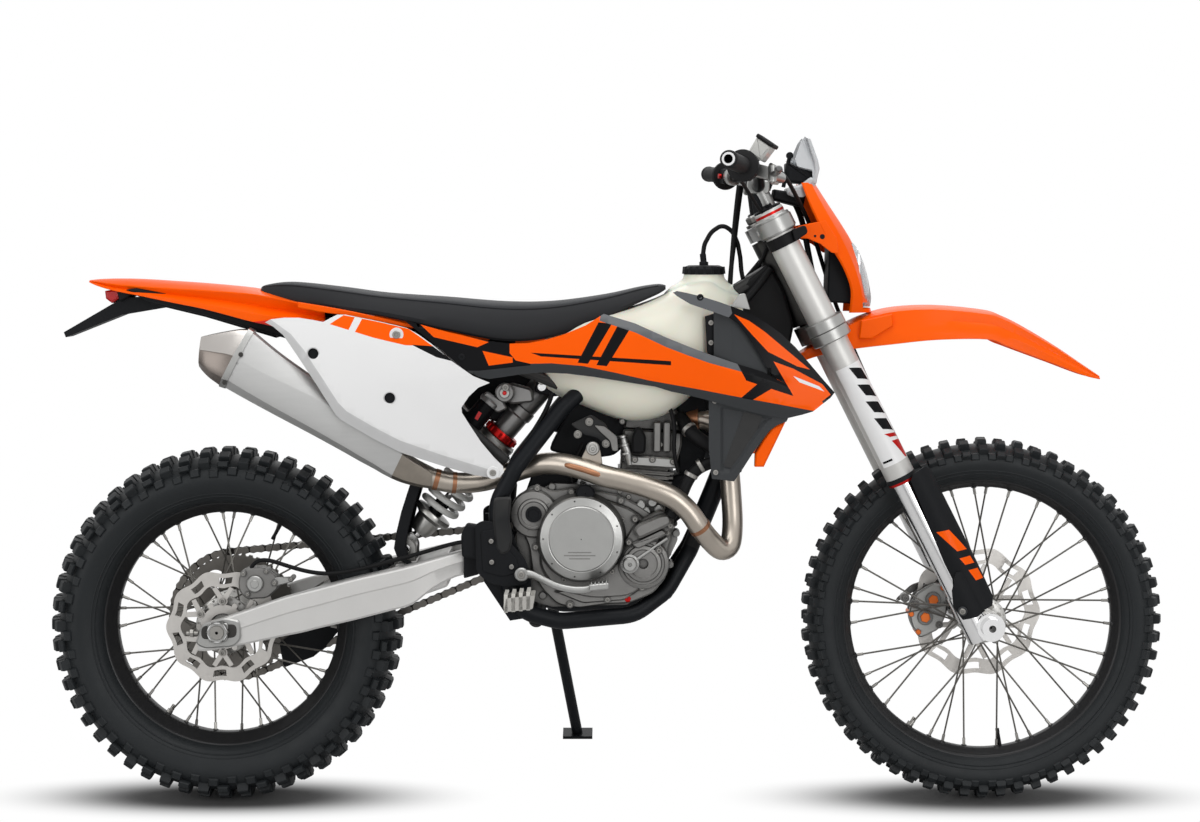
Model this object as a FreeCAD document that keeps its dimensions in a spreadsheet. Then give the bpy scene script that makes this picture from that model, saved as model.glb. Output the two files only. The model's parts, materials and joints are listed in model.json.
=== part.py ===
import FreeCAD, Part
import math
import os
import Sketcher
from FreeCAD import Placement, Rotation, Vector

doc = FreeCAD.newDocument("EnduroMotorcycle")

# Driving sizes in millimetres, angles in degrees. X runs forward from the rear axle,
# Y to the rider's left, Z up from the ground under an upright motorcycle.
driving_sizes = {
    # layout: outlines are shares of these two, and the fork reaches on to the front axle
    "frame_long": 1000, "saddle_tall": 1000, "fork_reach": 482, "lean_deg": 10.5,
    "clearance": 0.3, "wall": 3.5, "overrun": 5,
    # wheels
    "front_tyre_r": 354, "front_tyre_half": 45, "front_knob": 12,
    "front_rim_r": 279, "front_rim_half": 26, "front_bead_half": 21, "front_rim_deep": 22,
    "rear_tyre_r": 345, "rear_tyre_half": 69, "rear_knob": 15,
    "rear_rim_r": 241, "rear_rim_half": 36, "rear_bead_half": 31, "rear_rim_deep": 28,
    "rim_wall": 4, "rim_seat": 11,
    "hub_barrel_r": 26, "front_flange_r": 44, "rear_flange_r": 56, "flange_thick": 6,
    "front_flange_y": 36, "rear_flange_y": 40, "spoke_r": 2, "spoke_count": 36, "spoke_lead_deg": 38,
    "axle_r": 11, "axle_bore_r": 7, "axle_nut_r": 19, "axle_nut_long": 14, "collar_r": 17,
    "front_disc_r": 130, "front_disc_y": 60, "rear_disc_r": 110, "rear_disc_y": 62,
    "disc_thick": 4, "disc_band": 34, "disc_bolt_r": 58, "wave_r": 40, "wave_deep": 5, "disc_waves": 12,
    # steering head and fork
    "head_x": 1098, "head_z": 1020, "axle_offset": 46, "leg_offset": 22, "leg_y": 100,
    "head_tube_r": 30, "head_tube_up": 88, "head_tube_down": 94, "stem_r": 17,
    "clamp_thick": 26, "clamp_gap": 4, "leg_top": 140, "outer_tube_low": 435,
    "outer_tube_r": 29, "inner_tube_r": 24, "axle_lug_r": 27,
    # handlebar and controls
    "bar_r": 11, "bar_centre_x": 1040, "bar_centre_z": 1200, "bar_end_y": 402,
    "bar_end_x": 965, "bar_end_z": 1240, "bar_bore_r": 8, "bar_bore_long": 40,
    "grip_r": 16, "grip_long": 112, "flange_r": 29,
    # drive line
    "chain_pitch": 15.875, "chain_y": 84, "chain_half": 9, "chain_plate": 3,
    "rear_teeth": 50, "front_teeth": 13, "output_x": 588, "output_z": 492,
    "sprocket_thick": 7,
    # swingarm
    "pivot_x": 528, "pivot_z": 478, "pivot_bolt_r": 9, "arm_in_y": 78, "arm_out_y": 115, "dropout_in_y": 99,
    "arm_pivot_out_y": 86, "arm_pivot_in_y": 58,
    # frame
    "beam_r": 16, "cradle_r": 15, "down_tube_r": 20, "beam_y": 112, "pivot_plate_y": 98, "plate_thick": 14,
    "rail_r": 10, "rail_y": 62,
    "shock_r": 36, "spring_turns": 6.5,
    # engine and exhaust
    "case_half": 88, "case_round": 12, "cover_r": 79, "cover_deep": 42, "pump_r": 34,
    "barrel_half": 68, "intake_r": 26, "pipe_r": 20, "silencer_y": 90, "silencer_half_wide": 34,
    "outlet_deep": 40,
    # cooling, tank, saddle and plastics
    "radiator_y": 108, "radiator_wide": 80, "radiator_thick": 36, "tank_half": 138, "tunnel_half": 84,
    "cap_r": 40, "cap_tall": 30, "hose_r": 4.5, "saddle_half": 108, "shroud_out": 158, "panel_out": 140,
    "panel_hole_r": 11, "tail_half": 74, "tail_lamp_half": 42, "bracket_half": 30, "plate_hole_r": 3,
    "flap_half": 60, "front_fender_half": 66, "mask_half": 96,
    # foot controls, brakes and small pieces
    "peg_long": 84, "lever_y": 135, "lever_thick": 8, "pedal_wide": 26, "caliper_in": 17, "caliper_out": 24,
    "caliper_round": 8, "pad_gap": 1,
    "lug_half": 28, "riser_y": 50, "bar_rise": 24, "lever_out": 41, "lever_long": 150,
    "axle_bore_long": 30,
    # side stand
    "stand_x": 630, "stand_y": 148, "stand_z": 374, "stand_foot_x": 684, "stand_foot_y": 300,
    "stand_r": 11, "stand_bolt_r": 6, "foot_long": 62, "foot_wide": 46, "foot_thick": 6,
}


class Size:
    """A number that also carries the sheet expression it is worked out by."""

    def __init__(self, value, text):
        self.value = value
        self.text = text

    def __float__(self):
        return float(self.value)

    def __neg__(self):
        return Size(-self.value, "(0 - %s)" % self.text)

    def __add__(self, other):
        return combine(self, other, "+", self.value + number(other))

    def __radd__(self, other):
        return combine(other, self, "+", number(other) + self.value)

    def __sub__(self, other):
        return combine(self, other, "-", self.value - number(other))

    def __rsub__(self, other):
        return combine(other, self, "-", number(other) - self.value)

    def __mul__(self, other):
        return combine(self, other, "*", self.value * number(other))

    def __rmul__(self, other):
        return combine(other, self, "*", number(other) * self.value)

    def __truediv__(self, other):
        return combine(self, other, "/", self.value / number(other))


def number(thing):
    return thing.value if isinstance(thing, Size) else float(thing)


def text(thing):
    return thing.text if isinstance(thing, Size) else repr(float(thing))


def combine(left, right, sign, value):
    return Size(value, "(%s %s %s)" % (text(left), sign, text(right)))


class Sizes:
    """The driving sizes, read back from the spreadsheet as attributes."""


def make_sheet():
    sheet = doc.addObject("Spreadsheet::Sheet", "Sizes")
    for row, (alias, value) in enumerate(driving_sizes.items(), start=1):
        sheet.set("A%d" % row, alias)
        sheet.set("B%d" % row, str(value))
        sheet.setAlias("B%d" % row, alias)
    doc.recompute()
    bound, plain = Sizes(), Sizes()
    for alias in driving_sizes:
        value = float(sheet.get(alias))
        setattr(bound, alias, Size(value, "Sizes." + alias))
        setattr(plain, alias, value)
    return bound, plain


# Every size twice: s carries expressions for sketches, mm is plain numbers for free forms
s, mm = make_sheet()
X_AXIS = Vector(1, 0, 0)
Y_AXIS = Vector(0, 1, 0)
Z_AXIS = Vector(0, 0, 1)
ORIGIN = Vector(0, 0, 0)
nodes = {}


def keep(item, node, place=None):
    """Names a finished sub-part; place is where its own frame lies on the upright machine."""
    item.Label = node
    nodes[node] = (item, place or Placement())
    return item


# Sketched features

def new_body(node, place=None):
    return keep(doc.addObject("PartDesign::Body", node), node, place)


def plane_of(body, role):
    return next(item for item in body.Origin.OriginFeatures if item.Role == role)


def new_sketch(body, role, lift=None):
    sketch = body.newObject("Sketcher::SketchObject", body.Label + "_sketch")
    sketch.AttachmentSupport = [(plane_of(body, role), "")]
    sketch.MapMode = "FlatFace"
    if lift is not None:
        sketch.setExpression("AttachmentOffset.Base.z", text(lift))
    return sketch


def bind(sketch, kind, value, *where):
    index = sketch.addConstraint(Sketcher.Constraint(kind, *where, number(value)))
    sketch.setExpression("Constraints[%d]" % index, text(value))


def pin_point(sketch, edge, end, point):
    bind(sketch, "DistanceX", point[0], edge, end)
    bind(sketch, "DistanceY", point[1], edge, end)


def draw_outline(sketch, points):
    """Closed outline; a third value on a point bulges the edge after it into an arc, left positive."""
    first = sketch.GeometryCount
    for index, point in enumerate(points):
        after = points[(index + 1) % len(points)]
        start = Vector(number(point[0]), number(point[1]), 0)
        end = Vector(number(after[0]), number(after[1]), 0)
        if len(point) == 2:
            sketch.addGeometry(Part.LineSegment(start, end), False)
            continue
        bulge = number(point[2])
        across = end - start
        middle = (start + end) * 0.5 + Vector(-across.y, across.x, 0).normalize() * bulge
        sketch.addGeometry(Part.Arc(start, middle, end), False)
    count = len(points)
    for index, point in enumerate(points):
        after = points[(index + 1) % count]
        bulged = len(point) == 3
        here, there = (1, 2) if not bulged or number(point[2]) < 0 else (2, 1)
        following = points[(index + 1) % count]
        next_start = 1
        if len(following) == 3 and number(following[2]) > 0:
            next_start = 2
        sketch.addConstraint(Sketcher.Constraint(
            "Coincident", first + index, there, first + (index + 1) % count, next_start))
        pin_point(sketch, first + index, here, point)
        if bulged:
            wide, tall = after[0] - point[0], after[1] - point[1]
            rise = point[2] if number(point[2]) > 0 else 0 - point[2]
            bind(sketch, "Radius", ((wide * wide + tall * tall) / 4 + rise * rise) / (2 * rise),
                 first + index)


def draw_circle(sketch, centre, radius):
    edge = sketch.addGeometry(
        Part.Circle(Vector(number(centre[0]), number(centre[1]), 0), Z_AXIS, number(radius)), False)
    bind(sketch, "Radius", radius, edge)
    pin_point(sketch, edge, 3, centre)


def add_feature(body, kind, sketch, **sizes):
    feature = body.newObject("PartDesign::" + kind, body.Label + "_" + kind.lower())
    feature.Profile = (sketch, [""])
    for prop, value in sizes.items():
        feature.setExpression(prop, text(value))
    return feature


def side_pad(body, y_from, y_to, outlines=(), circles=()):
    """Pads side-view outlines between two distances from the centre plane."""
    sketch = new_sketch(body, "XZ_Plane", 0 - y_from)
    for points in outlines:
        draw_outline(sketch, points)
    for centre, radius in circles:
        draw_circle(sketch, centre, radius)
    towards_left = number(y_to) > number(y_from)
    feature = add_feature(body, "Pad", sketch, Length=y_to - y_from if towards_left else y_from - y_to)
    feature.Reversed = towards_left
    return feature


def side_pocket(body, y_from, y_to, outlines=(), circles=()):
    """Cuts side-view outlines away between two distances from the centre plane."""
    sketch = new_sketch(body, "XZ_Plane", 0 - y_from)
    for points in outlines:
        draw_outline(sketch, points)
    for centre, radius in circles:
        draw_circle(sketch, centre, radius)
    towards_left = number(y_to) > number(y_from)
    feature = add_feature(body, "Pocket", sketch, Length=y_to - y_from if towards_left else y_from - y_to)
    feature.Reversed = not towards_left
    return feature


def turn(body, points):
    """Revolves an outline of (radius, distance along the axle) about the axle."""
    sketch = new_sketch(body, "XY_Plane")
    draw_outline(sketch, points)
    feature = add_feature(body, "Revolution", sketch)
    feature.ReferenceAxis = (sketch, ["V_Axis"])
    return feature


def repeat_round(body, feature, count):
    pattern = body.newObject("PartDesign::PolarPattern", body.Label + "_ring")
    pattern.Originals = [feature]
    axis = next(item for item in body.Origin.OriginFeatures if item.Role == "Y_Axis")
    pattern.Axis = (axis, [""])
    pattern.Angle = 360
    pattern.setExpression("Occurrences", text(count))
    body.Tip = pattern
    return pattern


# Free forms, sized from the same sheet

def free_form(node, shape, place=None):
    item = doc.addObject("Part::Feature", node)
    item.Shape = shape
    return keep(item, node, place or shape.Placement)


def at(x_share, y, z_share):
    return Vector(mm.frame_long * x_share, y, mm.saddle_tall * z_share)


def fused(shapes):
    whole = shapes[0]
    if len(shapes) > 1:
        whole = whole.multiFuse(shapes[1:]).removeSplitter()
    return whole


def rod(start, end, radius):
    run = end - start
    return Part.makeCylinder(radius, run.Length, start, run)


def bent_path(points, bend):
    """Straight runs joined by tangent arcs."""
    edges = []
    here = points[0]
    for before, corner, after in zip(points, points[1:], points[2:]):
        inward = (before - corner).normalize()
        outward = (after - corner).normalize()
        half_turn = (math.pi - inward.getAngle(outward)) / 2
        reach = min((corner - before).Length, (after - corner).Length) * 0.45
        radius = min(bend, reach / math.tan(half_turn))
        cut_back = radius * math.tan(half_turn)
        arc_start = corner + inward * cut_back
        arc_end = corner + outward * cut_back
        bisector = (inward + outward).normalize()
        apex = corner + bisector * (radius / math.cos(half_turn) - radius)
        edges.append(Part.LineSegment(here, arc_start).toShape())
        edges.append(Part.Arc(arc_start, apex, arc_end).toShape())
        here = arc_end
    edges.append(Part.LineSegment(here, points[-1]).toShape())
    return Part.Wire(edges)


def tube(points, radius, bend):
    path = bent_path(points, bend)
    circle = Part.Wire(Part.makeCircle(radius, points[0], points[1] - points[0]))
    return path.makePipeShell([circle], True, False)


def rounded_loop(corners, bend):
    """A closed outline whose corners are rounded as far as their edges allow."""
    edges = []
    joints = []
    for before, corner, after in zip(corners[-1:] + corners[:-1], corners, corners[1:] + corners[:1]):
        inward = (before - corner).normalize()
        outward = (after - corner).normalize()
        half_turn = (math.pi - inward.getAngle(outward)) / 2
        reach = min((corner - before).Length, (after - corner).Length) * 0.45
        radius = min(bend, reach / math.tan(half_turn))
        cut_back = radius * math.tan(half_turn)
        apex = corner + (inward + outward).normalize() * (radius / math.cos(half_turn) - radius)
        joints.append((corner + inward * cut_back, apex, corner + outward * cut_back))
    for index, (start, apex, end) in enumerate(joints):
        edges.append(Part.Arc(start, apex, end).toShape())
        edges.append(Part.LineSegment(end, joints[(index + 1) % len(joints)][0]).toShape())
    return Part.Wire(edges)


def side_prism(points, y_low, y_high, bend=None):
    """A side-view outline of shares, drawn out across the machine; bend rounds its corners."""
    corners = [at(x_share, y_low, z_share) for x_share, z_share in points]
    loop = rounded_loop(corners, bend) if bend else Part.makePolygon(corners + corners[:1])
    return Part.Face(loop).extrude(Vector(0, y_high - y_low, 0))


def closed_spline(points):
    curve = Part.BSplineCurve()
    curve.interpolate(points, PeriodicFlag=True)
    return Part.Wire(curve.toShape())


def open_spline(points):
    curve = Part.BSplineCurve()
    curve.interpolate(points)
    return curve.toShape()


def loft(wires, ruled=False):
    return Part.makeLoft(wires, True, ruled)


def mirrored_pair(shape):
    return Part.makeCompound([shape, shape.mirror(ORIGIN, Y_AXIS)])


# Steering frame: its Z runs up the steering axis, its X forward across it
def steering_place():
    axle = Vector(mm.frame_long + mm.fork_reach, 0, mm.front_tyre_r)
    head = Vector(mm.head_x, 0, mm.head_z)
    down = axle - head
    slope = math.atan2(down.x, -down.z) - math.asin(mm.axle_offset / down.Length)
    return Placement(head, Rotation(Y_AXIS, -math.degrees(slope)))


steering = steering_place()
front_axle_place = Placement(Vector(mm.frame_long + mm.fork_reach, 0, mm.front_tyre_r), Rotation())
rear_axle_place = Placement(Vector(0, 0, mm.rear_tyre_r), Rotation())
fork_down = -steering.inverse().multVec(front_axle_place.Base).z


# Wheels, each in a frame centred on its axle

crown_share = 0.78
front_row_shares = (((-0.27, 0.36, 0.58), (0.27, 0.36, 0.58)), ((-0.78, 0.34, 0.54), (0.78, 0.34, 0.54)))
rear_row_shares = (((-0.30, 0.30, 0.36), (0.30, 0.30, 0.36), (-0.78, 0.28, 0.34), (0.78, 0.28, 0.34)),
                   ((0, 0.34, 0.34), (-0.56, 0.26, 0.34), (0.56, 0.26, 0.34)))
front_rows, rear_rows = 60, 52


def crown(tyre_r, tyre_half, knob):
    """Radius of the tread's cross arc, and of the circle its middle runs on."""
    half_chord = tyre_half * crown_share
    return (half_chord * half_chord + knob * knob) / (2 * knob), tyre_r - knob


def knob_block(angle, y, wide, long, tall, cross_r, tread_r):
    """One tread block, square to the crown of the tyre."""
    lean = math.asin(y / cross_r)
    block = Part.makeBox(long, wide, tall + mm.clearance, Vector(-long / 2, -wide / 2, -mm.clearance))
    seat_r = tread_r - cross_r + cross_r * math.cos(lean)
    block.Placement = (Placement(ORIGIN, Rotation(Y_AXIS, math.degrees(angle)))
                       .multiply(Placement(Vector(0, y, seat_r), Rotation(X_AXIS, -math.degrees(lean)))))
    return block


def tyre(node, place, tyre_r, tyre_half, knob, rim_r, bead_half, rows, row_count):
    carcass = doc.addObject("PartDesign::Body", node + "_carcass")
    seat_r = rim_r - s.rim_seat
    tread_r = tyre_r - knob
    shoulder = tyre_half * crown_share
    wide_r = rim_r + (tread_r - rim_r) * 0.62
    turn(carcass, [
        (seat_r, 0 - bead_half), (rim_r, 0 - bead_half, 0 - tyre_half * 0.16),
        (wide_r, 0 - tyre_half, 0 - tyre_half * 0.06), (tread_r - knob, 0 - shoulder, 0 - knob),
        (tread_r - knob, shoulder, 0 - tyre_half * 0.06), (wide_r, tyre_half, 0 - tyre_half * 0.16),
        (rim_r, bead_half), (seat_r, bead_half)])
    doc.recompute()
    half, tall = number(tyre_half), number(knob)
    cross_r, crown_r = crown(number(tyre_r), half, tall)
    blocks = []
    for index in range(row_count):
        angle = 2 * math.pi * index / row_count
        for y_share, wide_share, long_share in rows[index % len(rows)]:
            blocks.append(knob_block(angle, half * y_share, half * wide_share, half * long_share, tall,
                                     cross_r, crown_r))
    whole = carcass.Shape.multiFuse(blocks)
    doc.removeObject(carcass.Name)
    return free_form(node, whole, place)


def rim(node, place, rim_r, rim_half, bead_half, deep):
    body = new_body(node, place)
    seat_r = rim_r - s.rim_seat
    turn(body, [
        (rim_r, 0 - rim_half), (rim_r, 0 - bead_half), (seat_r, 0 - bead_half),
        (seat_r, bead_half), (rim_r, bead_half), (rim_r, rim_half),
        (seat_r - s.rim_wall, rim_half - s.rim_wall), (rim_r - deep, rim_half * 0.4),
        (rim_r - deep, 0 - rim_half * 0.4), (seat_r - s.rim_wall, s.rim_wall - rim_half)])
    return body


def spoke(angle, lead, flange_r, flange_y, rim_in_r, rim_y, radius):
    near = Vector(flange_r * math.cos(angle), flange_y, flange_r * math.sin(angle))
    far = Vector(rim_in_r * math.cos(angle + lead), rim_y, rim_in_r * math.sin(angle + lead))
    along = (far - near).normalize()
    across = along.cross(Y_AXIS).normalize() * radius
    up = along.cross(across).normalize() * radius
    ring = [near + across, near + up, near - across, near - up]
    return Part.Face(Part.makePolygon(ring + ring[:1])).extrude(far - near)


def spoked_hub(node, place, rim_r, deep, flange_r, flange_y, disc_y, sprocket_y):
    body = doc.addObject("PartDesign::Body", node + "_barrel")
    turn(body, [
        (s.axle_r + s.clearance, 0 - disc_y), (s.hub_barrel_r, 0 - disc_y),
        (s.hub_barrel_r, 0 - flange_y - s.flange_thick), (flange_r, 0 - flange_y - s.flange_thick),
        (flange_r, 0 - flange_y), (s.hub_barrel_r, s.flange_thick - flange_y),
        (s.hub_barrel_r, flange_y - s.flange_thick), (flange_r, flange_y),
        (flange_r, flange_y + s.flange_thick), (s.hub_barrel_r, flange_y + s.flange_thick),
        (s.hub_barrel_r, sprocket_y), (s.axle_r + s.clearance, sprocket_y)])
    doc.recompute()
    spokes = []
    half_count = int(mm.spoke_count / 2)
    hole_r = number(flange_r) - 2.5 * mm.spoke_r
    reach_r = number(rim_r) - number(deep) - mm.clearance
    for index in range(half_count):
        for side in (-1, 1):
            angle = 2 * math.pi * (index + 0.25 * side) / half_count
            lead = math.radians(mm.spoke_lead_deg) * (1 if index % 2 else -1)
            spokes.append(spoke(angle, lead, hole_r, side * (number(flange_y) + mm.flange_thick / 2),
                                reach_r, side * mm.rim_wall, mm.spoke_r))
    hub = body.Shape.multiFuse(spokes)
    doc.removeObject(body.Name)
    return free_form(node, hub, place)


def brake_disc(node, place, outer_r, disc_y, side):
    body = new_body(node, place)
    y_in = disc_y * side
    y_out = (disc_y + s.disc_thick) * side
    y_near = y_in - s.overrun * side
    y_far = y_out + s.overrun * side
    side_pad(body, y_in, y_out, circles=[((0, 0), outer_r), ((0, 0), s.hub_barrel_r + s.clearance)])
    hole = side_pocket(body, y_near, y_far, circles=[((outer_r - s.disc_band * 0.5, 0), s.disc_band * 0.12)])
    repeat_round(body, hole, s.spoke_count / 2)
    wave = side_pocket(body, y_near, y_far, circles=[((outer_r + s.wave_r - s.wave_deep, 0), s.wave_r)])
    repeat_round(body, wave, s.disc_waves)
    band_in = outer_r - s.disc_band
    window = side_pocket(body, y_near, y_far, circles=[
        (((band_in + s.disc_bolt_r) / 2, 0), (band_in - s.disc_bolt_r) * 0.4)])
    repeat_round(body, window, s.spoke_count / 6)
    return body
roller_share = 0.45


def sprocket_radius(teeth):
    return mm.chain_pitch / 2 / math.sin(math.pi / teeth)


def tip_radius(teeth, pitch_r, half):
    """The teeth's reach, up to the flats of the roller band that lies on them."""
    return (pitch_r - half * roller_share) * math.cos(math.pi / teeth)


def rear_sprocket():
    body = new_body("rear_sprocket", rear_axle_place)
    y_in = s.chain_y - s.sprocket_thick / 2
    y_out = s.chain_y + s.sprocket_thick / 2
    pitch_r = s.chain_pitch / (2 * math.sin(math.pi / mm.rear_teeth))
    tip_r = tip_radius(mm.rear_teeth, pitch_r, s.chain_half) - s.clearance
    side_pad(body, y_in, y_out, circles=[((0, 0), tip_r), ((0, 0), s.hub_barrel_r + s.clearance)])
    window = side_pocket(body, y_out + s.overrun, y_in - s.overrun,
                         circles=[((tip_r * 0.66, 0), tip_r * 0.16)])
    repeat_round(body, window, s.spoke_count / 6)
    gap = side_pocket(body, y_out + s.overrun, y_in - s.overrun,
                      circles=[((tip_r, 0), s.chain_half * roller_share)])
    repeat_round(body, gap, s.rear_teeth)
    return body


def wheels():
    tyre("front_tyre", front_axle_place, s.front_tyre_r, s.front_tyre_half, s.front_knob,
         s.front_rim_r, s.front_bead_half, front_row_shares, front_rows)
    tyre("rear_tyre", rear_axle_place, s.rear_tyre_r, s.rear_tyre_half, s.rear_knob,
         s.rear_rim_r, s.rear_bead_half, rear_row_shares, rear_rows)
    rim("front_rim", front_axle_place, s.front_rim_r, s.front_rim_half, s.front_bead_half,
        s.front_rim_deep)
    rim("rear_rim", rear_axle_place, s.rear_rim_r, s.rear_rim_half, s.rear_bead_half,
        s.rear_rim_deep)
    spoked_hub("front_hub", front_axle_place, s.front_rim_r, s.front_rim_deep, s.front_flange_r,
               s.front_flange_y, s.front_disc_y, s.front_disc_y + s.disc_thick)
    spoked_hub("rear_hub", rear_axle_place, s.rear_rim_r, s.rear_rim_deep, s.rear_flange_r,
               s.rear_flange_y, s.rear_disc_y + s.disc_thick, s.chain_y + s.sprocket_thick / 2)
    brake_disc("front_disc", front_axle_place, s.front_disc_r, s.front_disc_y, 1)
    brake_disc("rear_disc", rear_axle_place, s.rear_disc_r, s.rear_disc_y, -1)
    rear_sprocket()


# Frame and swingarm

# forward, out to the side and up, the middle column in beam spacings
beam_shares = ((1.060, 0.14, 1.030), (0.900, 0.38, 0.930), (0.760, 0.56, 0.862),
               (0.660, 0.80, 0.772), (0.570, 1.00, 0.658), (0.534, 1.00, 0.590),
               (0.538, 1.00, 0.500), (0.572, 1.00, 0.385), (0.655, 0.90, 0.362),
               (0.800, 0.76, 0.372), (0.862, 0.56, 0.415), (0.908, 0.31, 0.490),
               (0.934, 0.11, 0.550))
shock_mount_shares = ((0.606, 0.824), (0.640, 0.838), (0.702, 0.818), (0.700, 0.796), (0.640, 0.790),
                      (0.612, 0.796))
pivot_plate_shares = ((0.500, 0.545), (0.560, 0.545), (0.600, 0.440), (0.604, 0.372),
                      (0.560, 0.365), (0.510, 0.440))


def head_tube():
    low = Vector(0, 0, -mm.head_tube_down)
    tall = mm.head_tube_down + mm.head_tube_up
    wall = Part.makeCylinder(mm.head_tube_r, tall, low)
    wall.Placement = steering
    return wall


def stem_room():
    over = mm.overrun
    room = Part.makeCylinder(mm.stem_r + mm.clearance, mm.head_tube_down + mm.head_tube_up + 2 * over,
                             Vector(0, 0, -mm.head_tube_down - over))
    room.Placement = steering
    return room


def main_frame():
    bend = mm.beam_r * 5
    pieces = [head_tube()]
    for side in (-1, 1):
        route = [at(x_share, side * mm.beam_y * y_share, z_share)
                 for x_share, y_share, z_share in beam_shares]
        pieces.append(tube(route, mm.beam_r, bend))
        y_in = side * mm.pivot_plate_y
        y_out = side * (mm.pivot_plate_y + mm.plate_thick)
        pieces.append(side_prism(pivot_plate_shares, y_in, y_out))
        boss = Vector(mm.pivot_x, y_in, mm.pivot_z)
        boss_end = Vector(mm.pivot_x, side * (mm.beam_y + mm.beam_r), mm.pivot_z)
        pieces.append(rod(boss, boss_end, mm.axle_nut_r))
        pieces.append(side_prism(shock_mount_shares, side * mm.beam_r * 1.5, side * mm.beam_r * 1.9))
    low = steering.multVec(Vector(0, 0, -mm.head_tube_down * 0.35))
    pieces.append(tube([at(0.930, 0, 0.540), at(0.955, 0, 0.600), low], mm.down_tube_r, bend))
    for x_share, z_share, y_share in ((0.610, 0.366, 0.94), (0.696, 0.806, 0.70), (0.860, 0.412, 0.55)):
        reach = mm.beam_y * y_share
        pieces.append(rod(at(x_share, -reach, z_share), at(x_share, reach, z_share), mm.cradle_r))
    frame = fused(pieces).cut(stem_room())
    bolt = rod(Vector(mm.pivot_x, -mm.frame_long, mm.pivot_z), Vector(mm.pivot_x, mm.frame_long, mm.pivot_z),
               mm.pivot_bolt_r)
    return free_form("main_frame", frame.cut(bolt))


rail_shares = ((0.652, 1.00, 0.815), (0.450, 0.94, 0.893), (0.120, 0.77, 0.958), (-0.030, 0.58, 0.972))
strut_shares = ((0.552, 1.35, 0.668), (0.420, 1.13, 0.780), (0.250, 0.85, 0.930))


def subframe():
    pieces = []
    for side in (-1, 1):
        rail, strut = ([at(x_share, side * mm.rail_y * y_share, z_share)
                        for x_share, y_share, z_share in shares] for shares in (rail_shares, strut_shares))
        pieces.append(tube(rail, mm.rail_r, mm.rail_r * 12))
        pieces.append(tube(strut, mm.rail_r, mm.rail_r * 12))
    for x_share, y_share, z_share in ((0.430, 0.93, 0.896), (0.000, 0.64, 0.969)):
        reach = mm.rail_y * y_share
        pieces.append(rod(at(x_share, -reach, z_share), at(x_share, reach, z_share), mm.rail_r * 0.8))
    return free_form("subframe", fused(pieces))


arm_side_shares = ((-0.045, 0.372), (-0.020, 0.374), (0.060, 0.392), (0.199, 0.430), (0.383, 0.473),
                   (0.470, 0.504), (0.545, 0.506), (0.556, 0.478), (0.545, 0.452), (0.497, 0.450),
                   (0.383, 0.397), (0.209, 0.353), (0.053, 0.322), (-0.045, 0.316))


def swingarm():
    side = side_prism(arm_side_shares, 0, mm.frame_long)
    plan = [at(-0.05, mm.dropout_in_y, 0), at(0.150, mm.dropout_in_y, 0), at(0.190, mm.arm_in_y, 0),
            at(0.36, mm.arm_in_y, 0), at(0.47, mm.arm_pivot_in_y, 0), at(0.56, mm.arm_pivot_in_y, 0),
            at(0.56, mm.arm_pivot_out_y, 0), at(0.47, mm.arm_pivot_out_y, 0), at(0.36, mm.arm_out_y, 0),
            at(-0.05, mm.arm_out_y, 0)]
    tall = Part.Face(Part.makePolygon(plan + plan[:1])).extrude(Vector(0, 0, mm.saddle_tall))
    arm = side.common(tall)
    cross = side_prism(((0.372, 0.402), (0.372, 0.466), (0.440, 0.490), (0.440, 0.425)),
                       -mm.arm_in_y - mm.overrun, mm.arm_in_y + mm.overrun)
    pivot = Vector(mm.pivot_x, -mm.arm_pivot_out_y, mm.pivot_z)
    whole = fused([arm, arm.mirror(ORIGIN, Y_AXIS), cross])
    bolt = rod(pivot - Y_AXIS * mm.frame_long, pivot + Y_AXIS * mm.frame_long, mm.pivot_bolt_r)
    axle = rod(Vector(0, -mm.frame_long, mm.rear_tyre_r), Vector(0, mm.frame_long, mm.rear_tyre_r), mm.axle_r)
    return free_form("swingarm", whole.cut(bolt).cut(axle))


def axle_pin(node, place, y_right, y_left, radius, bore_long, collars):
    pin = rod(Vector(0, -y_right, 0), Vector(0, y_left, 0), radius)
    spacers = [rod(Vector(0, start, 0), Vector(0, end, 0), mm.collar_r) for start, end in collars]
    nuts = [rod(Vector(0, -y_right, 0), Vector(0, -y_right - mm.axle_nut_long, 0), mm.axle_nut_r),
            rod(Vector(0, y_left, 0), Vector(0, y_left + mm.axle_nut_long, 0), mm.axle_nut_r)]
    whole = fused([pin] + nuts + spacers)
    reach = y_right + mm.axle_nut_long
    bore = rod(Vector(0, -reach, 0), Vector(0, -reach + bore_long, 0), mm.axle_bore_r)
    return free_form(node, whole.cut(bore), place)


def rear_axle():
    right_hub = -mm.rear_disc_y - mm.disc_thick - mm.clearance
    left_hub = mm.chain_y + mm.sprocket_thick / 2 + mm.clearance
    collars = ((-mm.dropout_in_y, right_hub), (left_hub, mm.dropout_in_y))
    return axle_pin("rear_axle", rear_axle_place, mm.arm_out_y, mm.arm_out_y, mm.axle_r,
                    mm.axle_bore_long, collars)


def pivot_bolt():
    reach = mm.beam_y + mm.beam_r
    ends = [Vector(mm.pivot_x, side * reach, mm.pivot_z) for side in (-1, 1)]
    shank = rod(ends[0], ends[1], mm.pivot_bolt_r)
    heads = [rod(end, end + Y_AXIS * math.copysign(mm.axle_nut_long, end.y) * 0.5, mm.axle_nut_r * 0.8)
             for end in ends]
    return free_form("swingarm_bolt", fused([shank] + heads))


# Chain: one fixed loop of side plates, waisted between the pins

def outward(angle):
    return Vector(math.cos(angle), 0, math.sin(angle))


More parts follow.
